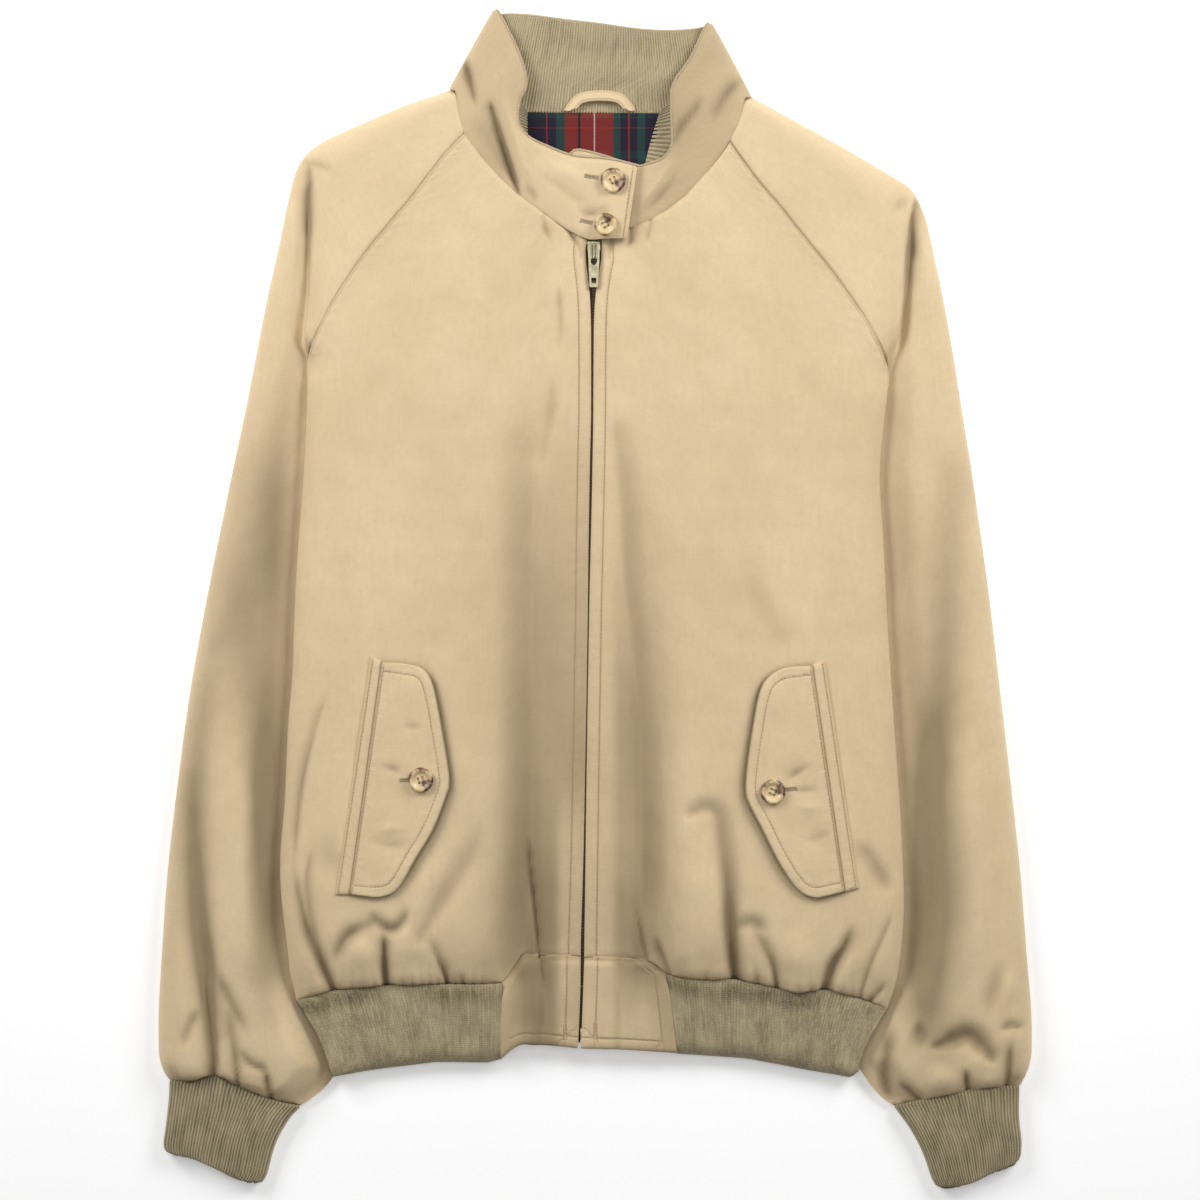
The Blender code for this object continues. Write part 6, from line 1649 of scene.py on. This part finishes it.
# %% Collar cord
CORD_RADIUS, CORD_RIB, CORD_SIDES = 1.15, 2.1, 10
cord_at = np.linspace(0, COLLAR_END, 1100)
edge_path = spline(COLLAR, cord_at)[:, 3:]
edge_out = facing(collar_grid(cord_at, np.array([0.9, 1.0])))[1]
tangent = np.gradient(edge_path, axis=0)
tangent /= np.linalg.norm(tangent, axis=1, keepdims=True)
beyond = np.cross(edge_out, tangent)
beyond *= np.sign((beyond * (edge_path - spline(COLLAR, cord_at)[:, :3])).sum(1, keepdims=True))
taper = 1 - 0.6 * (fade(cord_at - 12.0, 1.6) + fade(cord_at - 24.0, 1.6))[:, None]
centre = edge_path + beyond * 0.55 * (2 * taper - 1) - edge_out * 1.35
cord_run = run_along(edge_path)
swell = 1.0 + 0.14 * np.cos(2 * math.pi * cord_run / CORD_RIB)
rings = []
for angle in np.linspace(0, 2 * math.pi, CORD_SIDES + 1)[:-1]:
    way = beyond * math.cos(angle) * 0.9 + edge_out * math.sin(angle) * 1.25
    rings.append(centre + CORD_RADIUS * swell[:, None] * taper * way)
cord_grid = np.stack(rings, axis=1)
cord_faces = grid_faces(len(cord_at), CORD_SIDES, closed=True, flip=True)
last = CORD_SIDES * len(cord_at) - 1
cord_faces += [list(range(CORD_SIDES)), list(range(last, last - CORD_SIDES, -1))]
new_piece("collar_cord", cord_grid, cord_faces, PIPING, "rib_knit")
print("collar cord:", round(float(cord_run[-1])), "mm long")

# %% [markdown]
# ## Lining and hanger loop
#
# Inside the neck the check lining shows above the buttons, and a loop of shell is sewn to the neck seam.

# %% Lining
LINING_ROWS = ((-79, 351.6, 80, 351.4), (-86, 330, 88, 328), (-84, 305, 86, 304),
               (-66, 282, 68, 281), (-36, 268, 38, 268))
u, v = np.meshgrid(np.linspace(0, 1, 61), np.linspace(0, 4, 33))
x, y = across_row(spline(LINING_ROWS, v), u)
inside = np.minimum(np.minimum(u, 1 - u) * 20, np.minimum(v, 4 - v) * 4)
z = 3.05 + 0.9 * ease(inside) + 0.18 * ripple(x, y, 34.0, 51)
lining = cloth("lining", np.stack([x, y, z], axis=-1), CHECK, wall=0.8,
               place=np.stack([x, y, 0 * x], axis=-1))
lay(lining, 0.180, 0.082, 0.88)

# %% The collar's inside beside the lining
COLLAR_INSIDE = {    # rows from the back to the front: lining's side x, y and the collar's edge x, y
    "right": ((-50, 352.6, -60, 364), (-49.5, 345, -60, 350), (-49, 334, -60, 336),
              (-46, 324, -55, 320)),
    "left": ((47, 352.6, 62, 364), (43.5, 343, 61, 346), (39, 328, 60, 326),
             (35, 312, 55, 306)),
}
COLLAR_INSIDE_WIDTH = {"right": 0.0125, "left": 0.0225}    # metres
for side in ("right", "left"):
    rows = np.array(COLLAR_INSIDE[side])
    ribs = 17
    phase = np.linspace(0, ribs, ribs * RIB_POINTS + 1)
    crest = ribs_at(phase)
    row = spline(rows, phase / ribs * 3.0)
    grid = []
    for w in np.linspace(0, 1, 9):
        xy = row[:, :2] * (1 - w) + row[:, 2:] * w
        grid.append(np.column_stack([xy, 4.6 + 4.6 * ease(w * 0.9) + 0.6 * crest]))
    grid = np.array(grid)
    inside_knit = cloth("collar_inside_" + side, grid, RIBBED, "", wall=0.8, flip=side == "right",
                        rib=crest, shade=-0.3)
    lay(inside_knit, 0.055, COLLAR_INSIDE_WIDTH[side], 0.9)

# %% Hanger loop
LOOP_PATH = ((-20, 350), (-16.8, 355.2), (-12, 359.8), (-5, 361.8), (3.5, 362.2), (11.5, 361.8),
             (18, 359.8), (22.4, 355.4), (25.4, 350))
LOOP_WIDTH = 7.8
on_knit = over(collar_knit)
path = spline(LOOP_PATH, np.linspace(0, 8, 65))
tangent = np.gradient(path, axis=0)
across = np.stack([tangent[:, 1], -tangent[:, 0]], axis=-1) / np.hypot(*tangent.T)[:, None]
loop_line = []
for s in np.linspace(-0.5, 0.5, 9):
    line = path + across * LOOP_WIDTH * s
    line[:, 1] = np.maximum(line[:, 1], 352.0 + s)
    bow = 0.9 * ease((20.0 - np.abs(line[:, 0] - 3.2)) / 10.0)
    height = [max(on_knit(x, y)[0], 5.2) for x, y in line]
    roll = 0.4 * fade((0.5 - abs(s)) * LOOP_WIDTH, 0.6)
    tilt = 1.3 * (0.5 + s)
    loop_line.append(np.column_stack([line, np.array(height) + 1.35 + bow + tilt - roll]))
grid = np.array(loop_line)
left, right, first, last = from_edges(grid)
loop = cloth("hanger_loop", grid, COTTON, flip=True,
             line=nearest_line(first - 1.3, last - 1.3), seam=nearest(first, last))
lay(loop, 0.060, 0.0105, 1.0)

# %% [markdown]
# ## Pockets
#
# Each pocket has a straight welt, and a flap with a pointed free edge that buttons to the front. The flap's
# free edge stands a few millimetres off the cloth, which throws its shadow; a line of painted shadow also
# runs along the flap's edges and on the cloth beside them.

# %% Pockets
FLAP_LIFT = 2.6
FLAP_FOLDS = {
    "right": (
        (1, ((-138, -127, 0, 2), (-146, -123, -1.6, 2.6), (-158, -120, 0, 2.6))),
        (1, ((-122, -92, 0, 2), (-132, -93, -1, 2.6), (-140, -91, 0, 2))),
        (1, ((-132, -167, 0, 3), (-148, -165, 1.1, 4.5), (-164, -170, 0, 3))),
        (1, ((-130, -176, 0, 3), (-146, -178, -1.1, 4), (-166, -173, 0, 3))),
    ),
    "left": (
        (1, ((135, -132, 0, 2), (144, -126, -1.8, 2.8), (158, -117, 0, 3))),
        (1, ((141, -138, 0, 2), (150, -138.5, -1.4, 2.4), (164, -137, 0, 2.6))),
        (1, ((140, -152, 0, 3), (154, -150, 1, 4.5), (168, -152, 0, 3))),
        (1, ((146, -176, 0, 3), (160, -172, -1, 4), (172, -166, 0, 3))),
    ),
}

flaps, welts = {}, {}
for side in ("right", "left"):
    pocket = POCKET[side]
    (ax, ay), (bx, by), (cx, cy), (dx, dy) = pocket["welt"]
    u, v = np.meshgrid(spaced(50.0, 1.8), spaced(168.0, 1.6))
    px, py = cx + (dx - cx) * v, cy + (dy - cy) * v
    qx, qy = flap_edge(side, v)
    x, y = px + (qx - px) * u, py + (qy - py) * u
    up = FLAP_LIFT * u**1.6 * ease(np.minimum(v, 1 - v) / 0.2 + 0.25)
    grid = np.stack([x, y, body_top(x, y, side) + 0.7 + up + 1.6 + 0.6 * np.sin(math.pi * u)], axis=-1)
    creases = folds(x, y, FLAP_FOLDS[side])
    grid[..., 2] += (creases + 0.25 * ripple(x, y, 26.0, 61)) * np.sin(math.pi * np.clip(u, 0, 1)) ** 0.5
    hinge_edge, free_edge, top_edge, low_edge = from_edges(grid)
    edge = nearest(free_edge, top_edge, low_edge)
    line = nearest_line(from_path(x, y, flap_stitching(side)), hinge_edge - 2.0)
    grid[..., 2] += 0.2 * fade(edge - 3.7, 2.6) - 0.9 * fade(edge, 0.9)
    grid[..., 2] -= 0.3 * fade(line, 1.0)
    # Painted shadow: a dark line along the flap's edges and its hinge.
    rim = 1.3 * (fade(edge, 0.8) + fade(hinge_edge, 0.9))
    flaps[side] = cloth("flap_" + side, grid, COTTON,
                        flip=side == "right", line=line, shade=fold_shade(x, y, FLAP_FOLDS[side]) + rim)
    lay(flaps[side], 0.072, 0.170, 0.68)
    u, v = np.meshgrid(spaced(8.6, 1.2, (0.4, 1.0)), spaced(170.0, 2.5))
    x = (ax + (bx - ax) * v) * (1 - u) + (cx + (dx - cx) * v) * u
    y = (ay + (by - ay) * v) * (1 - u) + (cy + (dy - cy) * v) * u
    grid = np.stack([x, y, body_top(x, y, side) + 1.9], axis=-1)
    outer_edge, _, top_edge, low_edge = from_edges(grid)
    grid[..., 2] -= 0.9 * fade(nearest(outer_edge, top_edge, low_edge), 1.2)
    welts[side] = cloth("welt_" + side, grid, COTTON, flip=side == "right",
                        line=outer_edge - 2.0)
    lay(welts[side], 0.010, 0.173, 1.0)

# %% [markdown]
# ## Sewing
#
# Topstitching is what the eye reads as a seam. Each stitch is a small spindle that dips into the cloth at
# both ends. A row of them follows a path, and each one is set on the cloth under it.

# %% Stitches
STITCH_PITCH, STITCH_LENGTH, THREAD_RADIUS = 2.7, 2.1, 0.24
STITCH_RISE = 0.05   # how far the middle of a stitch stands above the cloth
SPINDLE = ((-0.5, 0.35), (-0.3, 0.95), (0.3, 0.95), (0.5, 0.35))    # place along, radius share
SPINDLE_SIDES = 5


def spindles(name, stitches, look, slot, radius=THREAD_RADIUS):
    """One mesh of many threads; each is (middle, tangent, normal, length)."""
    points, faces = [], []
    for middle, tangent, normal, length in stitches:
        side_way = np.cross(tangent, normal)
        base = len(points)
        for place, share in SPINDLE:
            for k in range(SPINDLE_SIDES):
                angle = 2 * math.pi * k / SPINDLE_SIDES
                reach = radius * share * (side_way * math.cos(angle) + normal * math.sin(angle))
                points.append(middle + tangent * length * place + reach)
        for ring in range(len(SPINDLE) - 1):
            for k in range(SPINDLE_SIDES):
                a, b = base + ring * SPINDLE_SIDES + k, base + ring * SPINDLE_SIDES + (k + 1) % SPINDLE_SIDES
                faces.append((a, a + SPINDLE_SIDES, b + SPINDLE_SIDES, b))
        faces.append(tuple(range(base, base + SPINDLE_SIDES)))
        end = base + SPINDLE_SIDES * (len(SPINDLE) - 1)
        faces.append(tuple(range(end + SPINDLE_SIDES - 1, end - 1, -1)))
    new_piece(name, points, faces, look, slot)


def along_cloth(way, normal):
    """A way in the plan, turned to lie on cloth that faces along the normal."""
    way = way - normal * way.dot(normal)
    return way / np.linalg.norm(way)


def stitch_row(path, find, pitch=STITCH_PITCH, length=STITCH_LENGTH):
    """Stitches along a path in x and y, on the surface that find gives."""
    path = np.asarray(path, float)
    run = run_along(path)
    count = max(1, int(run[-1] / pitch))
    at = (np.arange(count) + 0.5) * run[-1] / count
    spots, ahead, behind = [between(at + off, run, path) for off in (0.0, 0.5, -0.5)]
    row = []
    for (x, y), (fx, fy), (bx, by) in zip(spots, ahead, behind):
        z, normal = find(x, y)
        normal = np.array(normal)
        tangent = along_cloth(np.array([fx - bx, fy - by, 0.0]), normal)
        row.append((np.array([x, y, z]) + normal * STITCH_RISE, tangent, normal, length))
    return row


# %% Sew the fronts
for side, sign in SIDES:
    find = over(fronts[side])
    v = np.linspace(0.12, 21.6, 160)
    edge = np.stack(front_point(side, 0 * v, v), axis=-1)
    sewing = stitch_row(edge + (sign * PLACKET, 0.0), find)
    raglan = np.stack(front_point(side, 0 * v + 1.0, np.linspace(UNDERARM_ROW + 0.2, 21.9, 160)), axis=-1)
    sewing += stitch_row(inset_path(raglan, -sign * RAGLAN_STITCH), find)
    spindles("topstitch_front_" + side, sewing, THREAD, "shell_cotton")
    print("front", side, len(sewing), "stitches")

# %% Sew the tabs, pockets, collar and loop
for side, sign in SIDES:
    rows = np.array(TAB_ROWS[side])
    find = over(tabs[side])
    down = [(x + sign * TAB_STITCH, y) for x, y in rows[:-1, :2]]
    end = 1 - TAB_OUTER_STITCH / TAB_FOOT_LENGTH if side == "left" else 0.78
    reach = np.linspace(TAB_STITCH / TAB_FOOT_LENGTH, end, 24)
    foot = rows[-1, :2] + (rows[-1, 2:] - rows[-1, :2]) * reach[:, None]
    foot[:, 1] += value(TAB_FOOT[side], reach) + TAB_FOOT_STITCH
    path = down + foot.tolist()
    if side == "left":
        path += [(x - TAB_OUTER_STITCH, y) for x, y in rows[-2:0:-1, 2:]]
    sewing = stitch_row(path, find)
    tack = [(down[-1][0] + sign * k, down[-1][1] - 6.0) for k in (-1.1, 1.1)]
    for x, y in tack:
        sewing += stitch_row([(x, y), (x, y + 11.0)], find, 1.2, 1.6)
    spindles("topstitch_tab_" + side, sewing, THREAD, "shell_cotton")

for side, sign in SIDES:
    find = over(flaps[side])
    (ax, ay), (bx, by), (cx, cy), (dx, dy) = POCKET[side]["welt"]
    sewing = stitch_row(flap_stitching(side), find)
    hinge = along([(cx - sign * 2.0, cy - 4.0), (dx - sign * 2.0, dy + 4.0)], np.linspace(0, 1, 60))
    sewing += stitch_row(hinge, find)
    outside = along([(ax, ay - 1.5), (bx, by + 1.5)], np.linspace(0, 1, 60)) - (sign * 2.0, 0.0)
    sewing += stitch_row(outside, over(welts[side]))
    spindles("topstitch_pocket_" + side, sewing, THREAD, "shell_cotton")

find = over(collar)
end_line = np.array([COLLAR[0, :2], COLLAR[0, 3:5]]) + (-COLLAR_STITCH, 0.0)
sewing = stitch_row(along(end_line, np.linspace(0.03, 0.95, 30)), find)
spindles("topstitch_collar", sewing, THREAD, "shell_cotton")

# %% Buttonholes
HOLE_WIDTH, SATIN_PITCH = 3.0, 0.42


def thread_at(find, spot, way, lift, length):
    """One thread over a spot on the cloth, pointing a way in the plan."""
    z, normal = find(*spot)
    return np.array([*spot, z + lift]), np.array([*way, 0.0]), np.array(normal), length


def buttonhole(name, x, y, angle, find, length):
    """Two rows of close stitches with a slit between them, its shade painted as dark yarn, and a bar at each
    end.
    """
    centre, direction = np.array([x, y]), np.array([math.cos(angle), math.sin(angle)])
    across = np.array([-direction[1], direction[0]])
    threads = []
    for row_side in (-1, 1):
        for k in np.arange(-length / 2, length / 2, SATIN_PITCH):
            spot = centre + direction * k + across * row_side * HOLE_WIDTH * 0.27
            middle, way, normal, long = thread_at(find, spot, across, 0.12, HOLE_WIDTH * 0.5)
            threads.append((middle, along_cloth(way, normal), normal, long))
    for end in (-1, 1):
        for k in (-0.5, 0.0, 0.5):
            spot = centre + direction * (end * length / 2 + k * 0.7)
            threads.append(thread_at(find, spot, across, 0.2, HOLE_WIDTH))
    spindles(name, threads, PIPING, "shell_cotton")
    # The slit is a row of dark spindles: painted shade of the cut.
    slit = [thread_at(find, centre + direction * k, direction, -0.02, 1.9)
            for k in np.linspace(-length / 2 + 1.0, length / 2 - 1.0, 8)]
    spindles(name + "_slit", slit, PAINTED_SLIT_SHADE, "zip_tape", 0.17)


buttonhole("buttonhole_pocket_right", *POCKET["right"]["hole"], 0.06, over(flaps["right"]), 10.0)
buttonhole("buttonhole_pocket_left", *POCKET["left"]["hole"], 0.10, over(flaps["left"]), 10.0)
buttonhole("buttonhole_collar_top", -3.4, 303.0, -0.16, find, 9.0)
buttonhole("buttonhole_collar_low", -7.0, 271.0, -0.22, find, 8.0)

# %% [markdown]
# ## Buttons
#
# A button is turned: a profile spun round, with four holes drilled through it. It lies on the cloth, tilted
# as the cloth is there, and two pairs of threads run over it from hole to hole.

# %% Buttons
PROFILE = ((0, 1.55), (3.6, 1.5), (4.6, 1.62), (5.4, 2.25), (6.2, 2.85), (7.1, 3.12), (8, 2.98), (8.7, 2.5),
           (9, 1.8), (8.95, 1.2), (8.5, 0.6), (7.6, 0.2), (5, 0.05), (0, 0))
HOLE_RADIUS, HOLE_OFFSET = 0.9, 1.65
BUTTON_GAP = 0.45    # between a button and the cloth
THREAD_LANE = 0.28   # how far each of a pair of threads is from the middle of the pair
THREAD_HEIGHT = 1.78


def button(name, x, y, find, turn, size=1.0):
    profile = bpy.data.meshes.new(name)
    points = [(r * size * MM, 0.0, z * MM) for r, z in PROFILE]
    profile.from_pydata(points, [(i, i + 1) for i in range(len(points) - 1)], [])
    profile.materials.append(HORN)
    made = link(bpy.data.objects.new(name + "_horn", profile))
    turned = made.modifiers.new("turned", "SCREW")
    turned.steps = turned.render_steps = 72
    turned.use_merge_vertices = True
    turned.merge_threshold = 0.00001
    drill = bmesh.new()
    for a in (-HOLE_OFFSET, HOLE_OFFSET):
        for b in (-HOLE_OFFSET, HOLE_OFFSET):
            hole = Matrix.Translation((a * MM, b * MM, 0))
            bmesh.ops.create_cone(drill, cap_ends=True, segments=20, radius1=HOLE_RADIUS * MM,
                                  radius2=HOLE_RADIUS * MM, depth=12 * MM, matrix=hole)
    mesh = bpy.data.meshes.new(name + "_drill")
    drill.to_mesh(mesh)
    drill.free()
    cutter = link(bpy.data.objects.new(name + "_drill", mesh))
    cut = made.modifiers.new("holes", "BOOLEAN")
    cut.object, cut.operation = cutter, "DIFFERENCE"
    settle(made)
    bpy.data.objects.remove(cutter)
    made.data.set_sharp_from_angle(angle=math.radians(42))
    circle = [(7 * size * math.cos(k), 7 * size * math.sin(k)) for k in np.linspace(0, 2 * math.pi, 25)[:-1]]
    under = [find(x + a, y + b) for a, b in circle]
    normal = sum((n for _, n in under), Vector()).normalized()
    height = max(z + (normal.x * a + normal.y * b) / normal.z for (a, b), (z, _) in zip(circle, under))
    height = max(height, find(x, y)[0]) + BUTTON_GAP
    turn_to = Vector((0, 0, 1)).rotation_difference(normal).to_matrix() @ Matrix.Rotation(turn, 3, "Z")
    spot = (np.array([x, y, height]) + PATTERN_TO_FRAME) * MM
    made.matrix_world = Matrix.Translation(spot) @ turn_to.to_4x4()
    place_in_frame(made, "horn_plastic", name)
    tilt = np.array(turn_to)
    threads = []
    for k in (-1, 1):
        for lane in (-THREAD_LANE, THREAD_LANE):
            middle = np.array([x, y, height]) + tilt @ np.array([k * HOLE_OFFSET + lane, 0.0, THREAD_HEIGHT])
            threads.append((middle, tilt @ np.array([0.0, 1.0, 0.0]), tilt @ np.array([0.0, 0.0, 1.0]),
                            2 * HOLE_OFFSET))
    spindles(name + "_thread", threads, THREAD, "zip_tape", 0.2)


button("button_pocket_right", *POCKET["right"]["button"], over(flaps["right"]), 0.3)
button("button_pocket_left", *POCKET["left"]["button"], over(flaps["left"]), 1.2)
button("button_collar_top", 12.5, 300.0, find, 0.5)
button("button_collar_low", 7.0, 268.6, find, 2.1, 0.9)

# %% [markdown]
# ## The zip
#
# The fronts nearly close over the zip, so only a dark line of tape and teeth shows between them; the teeth's
# colour holds painted shade of that gap. The teeth are small blocks, set in turn on the two tapes so that
# they mesh.

# %% Tapes and teeth
TAPE_ROWS = np.concatenate([np.linspace(-320.5, -250.0, 29), np.linspace(-246.0, 256.0, 170)])
TOOTH_PITCH = 2.1
tape_heights = []
for side, sign in SIDES:
    centre = value(ZIP_LINE, TAPE_ROWS)
    places = [centre + sign * out + k for out in (0.3, 6.0) for k in (-2, 0, 2)]
    near = np.min([body_top(x, TAPE_ROWS, side) for x in places], axis=0)
    height = np.minimum(near - SHELL - 0.9, 6.9 + 0.4 * np.maximum(TAPE_ROWS + 256.0, 0.0))
    tape_heights.append(height)
    grid = np.stack([
        np.stack([centre + sign * out, TAPE_ROWS, height - 0.15 * (out > 9)], axis=-1)
        for out in (0.5, 1.5, 3.0, 5.0, 8.0, 11.0, 13.0)
    ], axis=1)
    tape = cloth("zip_tape_" + side, grid, TAPE, wall=0.6, flip=side == "right")
    lay(tape, 0.0135, 0.578, 1.0)

tooth_y = np.arange(-307.0, 244.0, TOOTH_PITCH / 2)
level = np.min([np.interp(tooth_y, TAPE_ROWS, height) for height in tape_heights], axis=0)
points, faces = [], []
for k, (y, z) in enumerate(zip(tooth_y, level)):
    centre = float(value(ZIP_LINE, y))
    sign = -1 if k % 2 else 1
    near, far, half, tall = -sign * 1.0, sign * 2.3, 0.42, 1.0
    a = len(points)
    for x, h in ((near, half * 0.8), (far, half)):
        for yy in (-h, h):
            for zz in (-0.5, tall if x == far else tall * 0.7):
                points.append((centre + x, y + yy, z + zz))
    faces += [(a, a + 1, a + 3, a + 2), (a + 4, a + 6, a + 7, a + 5), (a, a + 4, a + 5, a + 1),
              (a + 2, a + 3, a + 7, a + 6), (a + 1, a + 5, a + 7, a + 3), (a, a + 2, a + 6, a + 4)]
teeth = new_piece("zip_teeth", points, faces, TEETH, "aged_nickel")
teeth.data.shade_flat()
print("zip:", len(tooth_y), "teeth")

# %% [markdown]
# ## Slider and pull
#
# The slider is a small wedge with two shoulders and a bridge along its middle. The pull has a slot, so it
# lies flat with the bridge standing in it, and it turns on the bar at its top. It is a filled curve with
# rounded edges, and it rides on its own body of the frame.

# %% Slider and bridge
HINGE = (-1.5, 254.6, 13.0)


def plate(name, outlines, thickness, round_edge, look, z):
    """A flat plate with rounded edges from filled outlines in x and y about the hinge, in millimetres."""
    curve = bpy.data.curves.new(name, "CURVE")
    curve.dimensions = "2D"
    curve.fill_mode = "BOTH"
    curve.extrude = (thickness / 2 - round_edge) * MM
    curve.bevel_depth = round_edge * MM
    curve.bevel_resolution = 2
    curve.offset = -round_edge * MM
    for outline in outlines:
        line = curve.splines.new("POLY")
        line.points.add(len(outline) - 1)
        for point, (x, y) in zip(line.points, outline):
            point.co = (x * MM, y * MM, 0.0, 1.0)
        line.use_cyclic_u = True
    made = link(bpy.data.objects.new(name, curve))
    bpy.context.view_layer.update()
    mesh = bpy.data.meshes.new_from_object(made.evaluated_get(bpy.context.evaluated_depsgraph_get()))
    bpy.data.objects.remove(made)
    welded = bmesh.new()
    welded.from_mesh(mesh)
    bmesh.ops.remove_doubles(welded, verts=welded.verts, dist=0.000002)
    bmesh.ops.recalc_face_normals(welded, faces=welded.faces)
    place = Vector(HINGE) * MM + Vector(PATTERN_TO_FRAME * MM) + Vector((0, 0, z * MM))
    bmesh.ops.translate(welded, verts=welded.verts, vec=place)
    welded.to_mesh(mesh)
    welded.free()
    mesh.materials.clear()
    mesh.materials.append(look)
    mesh.shade_smooth()
    mesh.set_sharp_from_angle(angle=math.radians(50))
    return link(bpy.data.objects.new(name, mesh))


def arc(cx, cy, radius, start, end, count=7):
    angles = np.radians(np.linspace(start, end, count))
    return [(cx + radius * math.cos(k), cy + radius * math.sin(k)) for k in angles]


wedge = arc(-3.5, 1.4, 1.0, 90, 180) + [(-4.7, -3.6)] + arc(-1.9, -9.8, 0.8, 190, 270)
wedge += arc(1.9, -9.8, 0.8, 270, 350) + [(4.7, -3.6)] + arc(3.5, 1.4, 1.0, 0, 90)
slider = plate("zip_wedge", [wedge], 2.8, 0.45, NICKEL, -2.8)
place_in_frame(slider, "aged_nickel", "zip_slider")

BRIDGE = ((2.4, -1.2), (2.45, 0.6), (2.2, 1.9), (1.3, 2.5), (0, 2.45), (-2.5, 2), (-6, 1.5), (-9.6, 1),
          (-10.5, 0.5), (-10.6, -1.2))          # y, z of its top about the hinge
BRIDGE_WIDTH, BRIDGE_WALL = 3.0, 0.9
top_line = spline(BRIDGE, np.linspace(0, 9, 46))
tangent = np.gradient(top_line, axis=0)
inner_way = np.stack([tangent[:, 1], -tangent[:, 0]], axis=-1) / np.hypot(*tangent.T)[:, None]
low_line = top_line - inner_way * BRIDGE_WALL
grid = []
for x, drop in ((-1.0, 0.28), (-0.72, 0.06), (0.0, 0.0), (0.72, 0.06), (1.0, 0.28)):
    line = top_line - inner_way * drop
    grid.append(np.column_stack([np.full(len(line), x * BRIDGE_WIDTH / 2), line]))
for x in (1.0, -1.0):
    grid.append(np.column_stack([np.full(len(low_line), x * BRIDGE_WIDTH / 2), low_line]))
grid = np.array(grid).transpose(1, 0, 2) + np.array(HINGE)
count = grid.shape[1]
bridge_faces = grid_faces(len(grid), count, closed=True)
bridge_faces += [list(range(count))[::-1], list(range(count * (len(grid) - 1), count * len(grid)))]
bridge = new_piece("zip_bridge", grid, bridge_faces, NICKEL, "aged_nickel")
bridge.data.set_sharp_from_angle(angle=math.radians(50))

# %% Pull and box
PULL_TOP, PULL_TIP, PULL_LOW, PULL_CORNER = 4.3, 3.2, -30.95, 1.2
SLOT_HALF, SLOT_TOP, SLOT_LOW = 2.25, -0.8, -12.6
tip_x, tip_y = PULL_TIP - PULL_CORNER, PULL_LOW + PULL_CORNER
pull_outline = arc(-3.5, -0.05, 0.8, 90, 180) + [(-PULL_TOP, -4.0)]
pull_outline += arc(-tip_x, tip_y, PULL_CORNER, 190, 270) + arc(tip_x, tip_y, PULL_CORNER, 270, 350)
pull_outline += [(PULL_TOP, -4.0)] + arc(3.5, -0.05, 0.8, 0, 90)
slot_outline = [(-SLOT_HALF, SLOT_TOP), (-SLOT_HALF, SLOT_LOW)] + arc(0.0, SLOT_LOW, SLOT_HALF, 180, 360, 11)
slot_outline += [(SLOT_HALF, SLOT_LOW), (SLOT_HALF, SLOT_TOP)]
hole_outline = [(-1.7, -24.2), (-1.7, -27.6), (1.7, -27.6), (1.7, -24.2)]
pull = plate("zip_tab", [pull_outline, slot_outline, hole_outline], 1.4, 0.28, NICKEL, 0.0)
place_in_frame(pull, "aged_nickel", "zip_pull", "pull_tab")

box_low, box_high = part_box("zip_box")
bpy.ops.mesh.primitive_cube_add(size=1.0, location=(box_low + box_high) / 2)
zip_box = bpy.context.object
zip_box.name = "zip_end_box"
zip_box.data.transform(Matrix.Diagonal((*(box_high - box_low), 1.0)))
bevel = zip_box.modifiers.new("edges", "BEVEL")
bevel.width, bevel.segments = 0.0006, 3
zip_box.data.materials.append(NICKEL)
settle(zip_box)
zip_box.data.shade_smooth()
place_in_frame(zip_box, "aged_nickel", "zip_box")

# %% [markdown]
# ## Floor and light
#
# A pale floor and two wide, soft lights beyond the collar, one to each side, so that both sleeves are lit
# from outside and the light falls off towards the hem. A weak lamp overhead and a weak sky fill the shadows.

# %% Floor
floor_finish = Finish("floor", (0.93, 0.93, 0.93), 0.9, Emission_Color=(1.0, 1.0, 1.0, 1.0),
                      Emission_Strength=0.30)
dust = floor_finish.noise(floor_finish.node("ShaderNodeTexCoord", out="Object"), 3.0)
floor_finish.set("Base Color", floor_finish.mix(dust, (0.92, 0.92, 0.92), (0.94, 0.94, 0.94)))
bpy.ops.mesh.primitive_plane_add(size=8.0, location=(0.0, 0.0, -0.0005))
floor = bpy.context.object
floor.name = "floor"
floor.data.materials.append(floor_finish.material)
floor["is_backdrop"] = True


# %% Lights
def soft_light(name, place, aim, size, watts):
    lamp = bpy.data.lights.new(name, "AREA")
    lamp.shape, lamp.size, lamp.size_y, lamp.energy = "RECTANGLE", size[0], size[1], watts
    holder = link(bpy.data.objects.new(name, lamp))
    holder.location = place
    holder.rotation_euler = (Vector(aim) - Vector(place)).to_track_quat("-Z", "Y").to_euler()


for name, side_way in (("key_right", -1), ("key_left", 1)):
    soft_light(name, (1.25 * side_way, 1.05, 0.95), (0.0, 0.0, 0.0), (0.90, 0.75), 21.5)
soft_light("fill", (0.0, 0.05, 1.4), (0.0, 0.0, 0.0), (0.7, 0.7), 3.4)
world = bpy.data.worlds.new("sky")
world.use_nodes = True
world.node_tree.nodes["Background"].inputs["Color"].default_value = (1.0, 1.0, 1.0, 1.0)
world.node_tree.nodes["Background"].inputs["Strength"].default_value = 0.17
bpy.context.scene.world = world
bpy.context.scene.view_settings.view_transform = "Standard"

# %% Sizes, and the end
low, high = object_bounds()
print("visual box:", [round(k, 4) for k in (*low, *high)])
